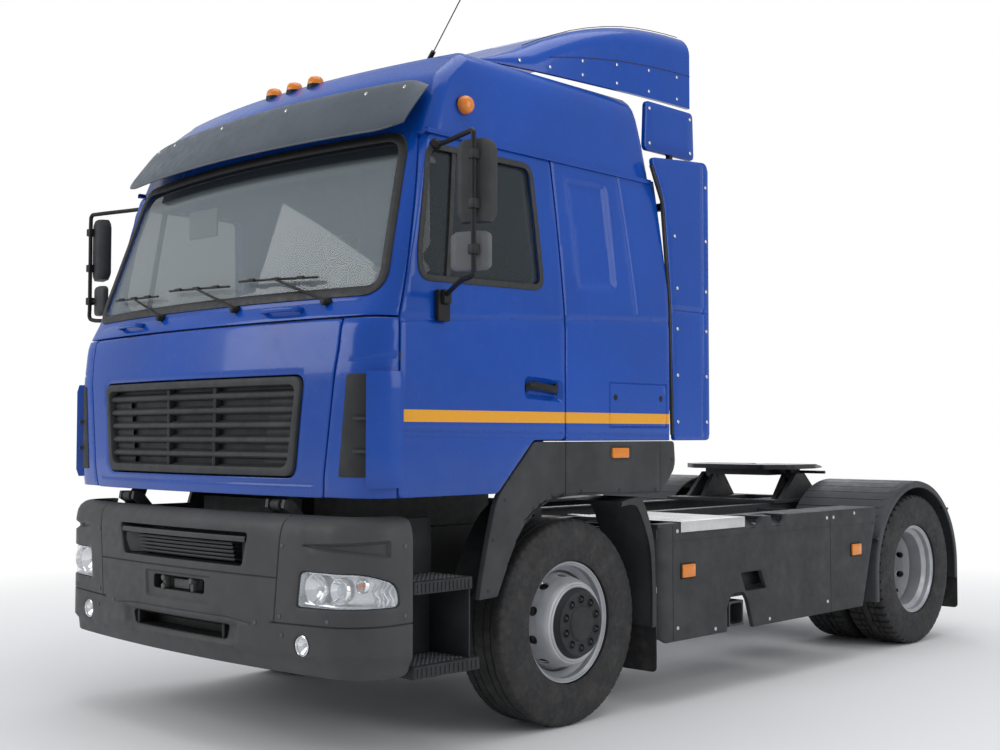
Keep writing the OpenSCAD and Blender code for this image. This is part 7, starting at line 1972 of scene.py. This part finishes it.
for sign, tag in ((1, "left"), (-1, "right")):
    fix = for_side(sign)
    body = "wheel_front_" + tag
    o = mesh("tyre_front_" + tag + "_tread", *fix(*tyre_mesh("rib", FRONT_X, 0.0)), TYRE, body, angle=28)
    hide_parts("tyre_front_" + tag)
    rim = [lathe(rim_barrel(), 96, "x", (FRONT_X, 0, TYRE_R), closed=True),
        disc_mesh((FRONT_X, 0, TYRE_R), 1)]
    # pressed ridge that circles the hub cover
    rim.append(lathe([(0.171, OFFSET - 0.002), (0.174, OFFSET + 0.006), (0.180, OFFSET + 0.008),
        (0.186, OFFSET + 0.006), (0.191, OFFSET - 0.002)][::-1], 96, "x", (FRONT_X, 0, TYRE_R)))
    o = mesh("rim_front_" + tag + "_disc", *fix(*join(rim)), RIM, body, angle=32)
    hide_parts("rim_front_" + tag)
    x0 = FRONT_X + OFFSET
    mesh("hub_cover_" + tag, *fix(*join(cover_plate(x0, 0.0))), GREY_DARK, body, angle=35)
    cap = nuts(x0 + 0.0165, 0.0, 0.118, 10, 0.0105, 0.016, 1, False)
    mesh("hub_nuts_" + tag, *fix(*join(cap)), CHASSIS, body, angle=30)
    drum = [lathe([(0.09, -0.06), (0.205, -0.06), (0.205, 0.06), (0.19, 0.075), (0.15, 0.08),
        (0.15, OFFSET - 0.06), (0.10, OFFSET - 0.03)][::-1], 64, "x", (FRONT_X, 0, TYRE_R))]
    drum.append(lathe([(0.030, 0.012), (0.028, 0.020), (0.0, 0.020)], 8, "x", (FRONT_X, 0, TYRE_R)))
    mesh("brake_drum_front_" + tag, *fix(*join(drum)), CAST, body)
    valve = tube([(FRONT_X + 0.030, 0.242 * math.cos(2.2), TYRE_R + 0.242 * math.sin(2.2)),
        (FRONT_X + 0.085, 0.246 * math.cos(2.2), TYRE_R + 0.246 * math.sin(2.2))], 0.004, 10)
    mesh("valve_front_" + tag, *fix(*valve), CHROME, body)

    body = "wheels_rear_" + tag
    inner_x = REAR_X - 2 * OFFSET
    treads = [tyre_mesh("lug", REAR_X, WHEELBASE), tyre_mesh("lug", inner_x, WHEELBASE)]
    o = mesh("tyres_rear_" + tag + "_tread", *fix(*join(treads)), TYRE, body, angle=28)
    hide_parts("tyres_rear_" + tag)
    rims = [lathe(rim_barrel(), 96, "x", (x, WHEELBASE, TYRE_R), closed=True) for x in (REAR_X, inner_x)]
    rims.append(disc_mesh((REAR_X, WHEELBASE, TYRE_R), -1, 0.088))
    rims.append(disc_mesh((inner_x, WHEELBASE, TYRE_R), 1, 0.088))
    o = mesh("rims_rear_" + tag + "_discs", *fix(*join(rims)), RIM, body, angle=32)
    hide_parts("rims_rear_" + tag)
    hub = [lathe([(0.118, -0.010), (0.118, 0.020), (0.114, 0.028), (0.098, 0.034), (0.092, 0.040),
        (0.090, 0.080), (0.084, 0.092), (0.070, 0.099), (0.030, 0.100), (0.0, 0.100)][::-1], 72, "x",
        (SPINDLE_X, WHEELBASE, TYRE_R))]
    for k in range(8):
        a = 2 * math.pi * k / 8
        hub.append(lathe([(0.0, 0.036), (0.010, 0.036), (0.011, 0.034), (0.011, 0.026)][::-1], 6, "x",
            (SPINDLE_X + 0.006, WHEELBASE - 0.104 * math.cos(a), TYRE_R + 0.104 * math.sin(a))))
    drum = lathe([(0.060, -0.16), (0.195, -0.16), (0.195, -0.045), (0.15, -0.03), (0.12, -0.015)][::-1], 64,
        "x", (SPINDLE_X, WHEELBASE, TYRE_R))
    mesh("hub_rear_" + tag, *fix(*join(hub + [drum])), CHASSIS, body, angle=35)
    mesh("nuts_rear_" + tag, *fix(*join(nuts(SPINDLE_X + 0.001, WHEELBASE, 0.168, 10, 0.0145, 0.026, 1))),
        CAST, body, angle=30)

# ---------------------------------------------------------------- tail lamps

for sign, tag in ((1, "left"), (-1, "right")):
    fix = for_side(sign)
    mesh("tail_lamp_housing_" + tag, *fix(*box_part((0.620, 4.180, 0.750), (0.920, 4.197, 0.860), 0.008)),
        BLACK, "chassis")
    for part, x0, x1, glass_of in (("red", 0.730, 0.912, RED), ("amber", 0.672, 0.727, AMBER),
            ("clear", 0.628, 0.669, LENS_SOLID)):
        mesh("tail_lamp_" + part + "_" + tag, *fix(*box_part((x0, 4.194, 0.758), (x1, 4.204, 0.852),
            0.004)), glass_of, "chassis")

# ---------------------------------------------------------------- inside of the cab


def extrude_x(profile, x0, x1, r, n=6):
    """A profile in y and z, drawn out along x, with its long edges rounded and its ends drawn in."""
    pts = rounded(ccw(profile), r, n)
    c = Vector((sum(p[0] for p in pts) / len(pts), sum(p[1] for p in pts) / len(pts)))
    rows = []
    for x, k in ((x0, 0.97), (x0 + 0.006, 0.995), (x0 + 0.02, 1), (x1 - 0.02, 1), (x1 - 0.006, 0.995),
            (x1, 0.97)):
        rows.append([(x, c.x + (p[0] - c.x) * k, c.y + (p[1] - c.y) * k) for p in pts])
    return capped(rows)


back = [(-1.030, 2.010), (-0.960, 1.900), (-1.000, 1.700), (-1.120, 1.560), (-1.150, 1.4703)]
o = mesh("dashboard_panel", *extrude_x([(-1.229, 1.4703), (-1.229, 1.890), (-1.170, 2.000)] + back, -1.118,
    1.118, 0.016), INSIDE, "cab")
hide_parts("dashboard")
hood = [(-1.130, 1.998), (-1.020, 2.000), (-0.965, 2.055), (-1.010, 2.072), (-1.120, 2.040)]
mesh("instrument_hood", *extrude_x(hood, 0.330, 0.800, 0.012), GREY_DARK, "cab")
vents = []
for x in (-0.95, -0.42, 0.16, 0.96):
    for k in range(5):
        z = 1.925 + 0.014 * k
        y = -0.975 - 0.6 * (z - 1.900)
        vents.append(box_part((x - 0.07, y - 0.004, z - 0.003), (x + 0.07, y + 0.014, z + 0.003), 0.002))
mesh("dashboard_vents", *join(vents), BLACK, "cab")
WHEEL = Vector((0.560, -0.830, 2.100))
WHEEL_TURN = Matrix.Rotation(math.radians(-48), 3, "X")
ring = [WHEEL + WHEEL_TURN @ Vector((0.225 * math.cos(a), 0.225 * math.sin(a), 0.0))
    for a in np.linspace(0, 2 * math.pi, 73)]
spokes = []
for a in (90, 210, 330):
    d = Vector((math.cos(math.radians(a)), math.sin(math.radians(a)), 0))
    for off in (-0.010, 0.010):
        side_step = Vector((-d.y, d.x, 0)) * off
        spokes.append(tube([WHEEL + WHEEL_TURN @ (d * 0.04 + side_step),
            WHEEL + WHEEL_TURN @ (d * 0.218 + side_step * 0.6)], 0.008, 10))
boss = [(0.0, 0.022), (0.050, 0.020), (0.062, 0.008), (0.064, -0.010), (0.040, -0.018), (0.0, -0.018)]
hub_v, hub_f = lathe(boss, 40, "z")
spokes.append(([WHEEL + WHEEL_TURN @ Vector(p) for p in hub_v], hub_f))
spokes.append(tube([WHEEL, Vector((0.560, -1.010, 1.900))], 0.032, 20))
mesh("steering_wheel_rim", *tube(ring, 0.0145, 16, False), BLACK, "cab")
mesh("steering_wheel_spokes_and_column", *join(spokes), GREY_DARK, "cab")


def cushion(name, lo, hi, crown, lean, cap, material, step=0.016):
    """A stuffed pad: crowned faces that a pressure simulation fills; lean moves its top back, in metres."""
    lo, hi = Vector(lo), Vector(hi)
    size, c = hi - lo, (hi + lo) / 2
    counts = [max(4, int(round(s / step))) for s in size]
    index, verts, faces = {}, [], []

    def vert(i, j, k):
        key = (i, j, k)
        if key not in index:
            q = [2 * a / n - 1 for a, n in zip(key, counts)]
            e = [min(1.0, (1 - abs(a)) * s / 2 / 0.045) for a, s in zip(q, size)]
            p = []
            for axis in range(3):
                a, b = [x for x in range(3) if x != axis]
                thin = 1 - crown * (1 - min(1, e[a])) ** 2 * 0.5 - crown * (1 - min(1, e[b])) ** 2 * 0.5
                p.append(c[axis] + q[axis] * size[axis] / 2 * thin)
            p[1] += lean * (p[2] - lo.z) / size.z
            index[key] = len(verts)
            verts.append(tuple(p))
        return index[key]
    for axis in range(3):
        a, b = [x for x in range(3) if x != axis]
        for end in (0, counts[axis]):
            for i in range(counts[a]):
                for j in range(counts[b]):
                    quad = []
                    for di, dj in ((0, 0), (1, 0), (1, 1), (0, 1)):
                        key = [0, 0, 0]
                        key[axis], key[a], key[b] = end, i + di, j + dj
                        quad.append(vert(*key))
                    turn = (end > 0) != (axis == 1)
                    faces.append(tuple(quad) if turn else tuple(reversed(quad)))
    o = mesh(name, verts, faces, material, "cab", angle=60)
    inflate(o, cap)
    return o


PUFF_FRAMES, PUFF_PRESSURE = 20, 4.0


def inflate(o, cap):
    """Blows the pad up a little as cloth, keeps the result, and holds each point within the cap."""
    cloth = o.modifiers.new("cloth", "CLOTH")
    s = cloth.settings
    s.use_pressure, s.uniform_pressure_force = True, PUFF_PRESSURE
    s.quality, s.mass, s.tension_stiffness, s.compression_stiffness = 4, 0.3, 25, 25
    s.effector_weights.gravity = 0.0
    scene = bpy.context.scene
    cloth.point_cache.frame_start, cloth.point_cache.frame_end = 1, PUFF_FRAMES
    for frame_number in range(1, PUFF_FRAMES + 1):
        scene.frame_set(frame_number)
    done = o.evaluated_get(bpy.context.evaluated_depsgraph_get()).to_mesh()
    moved = [v.co.copy() for v in done.vertices]
    for v, q in zip(o.data.vertices, moved):
        d = q - v.co
        v.co = v.co + (d if d.length <= cap else d.normalized() * cap)
    o.modifiers.remove(cloth)
    scene.frame_set(1)


for x, tag in ((0.560, "left"), (-0.560, "right")):
    o = cushion("seat_cushion_" + tag, (x - 0.250, -0.630, 1.765), (x + 0.250, -0.130, 1.885), 0.16, 0,
        0.022, CLOTH)
    if tag == "left":
        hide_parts("seats")
    cushion("seat_back_" + tag, (x - 0.240, -0.205, 1.880), (x + 0.240, -0.100, 2.445), 0.14, 0.105, 0.022,
        CLOTH)
    cushion("headrest_" + tag, (x - 0.125, -0.085, 2.455), (x + 0.125, -0.005, 2.605), 0.2, 0.020, 0.010,
        CLOTH)
    mesh("seat_pedestal_" + tag, *extrude_x([(-0.560, 1.4703), (-0.200, 1.4703), (-0.230, 1.760),
        (-0.530, 1.760)], x - 0.150, x + 0.150, 0.02), GREY_DARK, "cab")
o = cushion("bunk_mattress", (-1.150, 0.100, 1.865), (1.150, 0.655, 1.985), 0.12, 0, 0.015, CLOTH_PALE,
    0.028)
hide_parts("bunk")
mesh("bunk_board", *box_part((-1.160, 0.092, 1.850), (1.160, 0.665, 1.866), 0.005), INSIDE, "cab")
pair("bunk_leg", *box_part((1.120, 0.100, 1.4703), (1.160, 0.655, 1.851), 0.005), INSIDE, "cab")
mesh("inside_mirror", *box_part((-0.587, -1.062, 2.465), (-0.335, -1.046, 2.615), 0.007), GREY_LIGHT, "cab")

# ---------------------------------------------------------------- lines between cab and coupling

for name, x, drop in (("air_line_a", -0.10, 0.0), ("air_line_b", 0.0, 0.03), ("power_line", 0.10, 0.06)):
    line = curve_points([(x, CAB_REAR + 0.03, 1.62), (x, CAB_REAR + 0.16, 1.50 - drop),
        (x * 0.9, 1.10, 1.22 - drop), (x * 0.8, 1.35, 1.15 - drop)], 12)
    mesh(name, *tube(line, 0.011, 12), BLACK, "cab")


# ---------------------------------------------------------------- CAD nodes that keep their shape

KEPT = [(n, CHASSIS, 0.002) for n in ("frame", "front_axle_beam", "suspension", "rear_axle",
    "coupling_base", "cab_mounts", "knuckle_left", "knuckle_right", "tie_rod", "propeller_shaft")]
KEPT += [("battery_box", GREY_DARK, 0.003), ("cab_floor", GREY_DARK, 0.002),
    ("coupling_plate", COUPLING, 0.004), ("door_hinges", BLACK, 0.001), ("engine_block", CAST, 0.004),
    ("exhaust_silencer", CHASSIS, 0.003), ("tanks", CHASSIS, 0.004)]


def dress(node, material, width=0.003, segments=2):
    """Gives a CAD node its material and rounds its edges a little."""
    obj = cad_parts[node]
    obj.data.materials.clear()
    obj.data.materials.append(material)
    for p in obj.data.polygons:
        p.material_index = 0
    if width:
        b = obj.modifiers.new("edges", "BEVEL")
        b.width, b.segments, b.limit_method, b.angle_limit = width, segments, "ANGLE", math.radians(32)
        b.use_clamp_overlap = True
        b.harden_normals = False


for node, material, width in KEPT:
    dress(node, material, width)

# ---------------------------------------------------------------- floor, light and camera


def flat_material(name, colour, rough=0.9):
    """A dull material for the studio."""
    m = bpy.data.materials.new(name)
    m.use_nodes = True
    tree = m.node_tree
    shader = tree.nodes["Principled BSDF"]
    shader.inputs["Base Color"].default_value = (*colour, 1)
    shader.inputs["Roughness"].default_value = rough
    shader.inputs["Specular IOR Level"].default_value = 0.2
    return m, tree, shader


floor_mat, tree, shader = flat_material("studio_floor", (0.80, 0.80, 0.80))
geo = tree.nodes.new("ShaderNodeNewGeometry")
sep = tree.nodes.new("ShaderNodeVectorMath")
sep.operation = "LENGTH"
tree.links.new(geo.outputs["Position"], sep.inputs[0])
fade = tree.nodes.new("ShaderNodeMapRange")
fade.inputs["From Min"].default_value = 3.4
fade.inputs["From Max"].default_value = 7.5
tree.links.new(sep.outputs["Value"], fade.inputs["Value"])
path = tree.nodes.new("ShaderNodeLightPath")
seen = tree.nodes.new("ShaderNodeMath")
seen.operation = "MAXIMUM"
tree.links.new(path.outputs["Is Camera Ray"], seen.inputs[0])
tree.links.new(path.outputs["Is Glossy Ray"], seen.inputs[1])
seen2 = tree.nodes.new("ShaderNodeMath")
seen2.operation = "MAXIMUM"
tree.links.new(seen.outputs[0], seen2.inputs[0])
tree.links.new(path.outputs["Is Transmission Ray"], seen2.inputs[1])
both = tree.nodes.new("ShaderNodeMath")
both.operation = "MULTIPLY"
tree.links.new(fade.outputs["Result"], both.inputs[0])
tree.links.new(seen2.outputs[0], both.inputs[1])
white = tree.nodes.new("ShaderNodeEmission")
mix = tree.nodes.new("ShaderNodeMixShader")
tree.links.new(both.outputs[0], mix.inputs["Fac"])
tree.links.new(shader.outputs[0], mix.inputs[1])
tree.links.new(white.outputs[0], mix.inputs[2])
tree.links.new(mix.outputs[0], tree.nodes["Material Output"].inputs["Surface"])
low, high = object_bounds()
floor = bpy.data.meshes.new("studio_floor")
floor.from_pydata([(-60, -60, low[2] - 0.001), (60, -60, low[2] - 0.001), (60, 60, low[2] - 0.001),
    (-60, 60, low[2] - 0.001)], [], [(0, 1, 2, 3)])
floor = bpy.data.objects.new("studio_floor", floor)
floor.data.materials.append(floor_mat)
bpy.context.scene.collection.objects.link(floor)

world = bpy.data.worlds.new("studio")
bpy.context.scene.world = world
world.use_nodes = True
tree = world.node_tree
tree.nodes.clear()
out = tree.nodes.new("ShaderNodeOutputWorld")
soft = tree.nodes.new("ShaderNodeBackground")
soft.inputs["Strength"].default_value = 0.62
soft.inputs["Color"].default_value = (0.93, 0.96, 1.0, 1)
plain = tree.nodes.new("ShaderNodeBackground")
plain.inputs["Strength"].default_value = 1.0
plain.inputs["Color"].default_value = (1, 1, 1, 1)
path = tree.nodes.new("ShaderNodeLightPath")
seen = tree.nodes.new("ShaderNodeMath")
seen.operation = "MAXIMUM"
tree.links.new(path.outputs["Is Camera Ray"], seen.inputs[0])
tree.links.new(path.outputs["Is Transmission Ray"], seen.inputs[1])
mix = tree.nodes.new("ShaderNodeMixShader")
tree.links.new(seen.outputs[0], mix.inputs["Fac"])
tree.links.new(soft.outputs[0], mix.inputs[1])
tree.links.new(plain.outputs[0], mix.inputs[2])
tree.links.new(mix.outputs[0], out.inputs["Surface"])


def area_light(name, place, aim, size, power, size_y=None):
    """A rectangular lamp of the studio, aimed at a point."""
    data = bpy.data.lights.new(name, "AREA")
    data.shape = "RECTANGLE"
    data.size, data.size_y = size, size_y or size
    data.energy = power
    obj = bpy.data.objects.new(name, data)
    obj.location = place
    obj.rotation_euler = (Vector(aim) - Vector(place)).to_track_quat("-Z", "Y").to_euler()
    bpy.context.scene.collection.objects.link(obj)
    return obj


area_light("top_light", (1.0, -1.0, 9.0), (0, 0, 1), 7.0, 300)
area_light("front_light", (-4.5, -9.0, 5.0), (0, -1.5, 1.5), 5.0, 230)
area_light("side_light", (9.0, 1.0, 4.5), (0.8, 0.3, 1.5), 5.0, 190)
area_light("back_light", (-5.0, 8.0, 5.0), (0, 1.0, 1.2), 5.0, 120)

camera = bpy.data.objects.new("camera", bpy.data.cameras.new("camera"))
camera.data.lens, camera.data.sensor_width = 47.57, 36.0
camera.location = (5.463, -4.984 + FRONT_Y, 1.435)
camera.rotation_euler = (math.radians(92.55), 0, math.radians(43.73))
bpy.context.scene.collection.objects.link(camera)
bpy.context.scene.camera = camera
bpy.context.scene.view_settings.view_transform = "Standard"
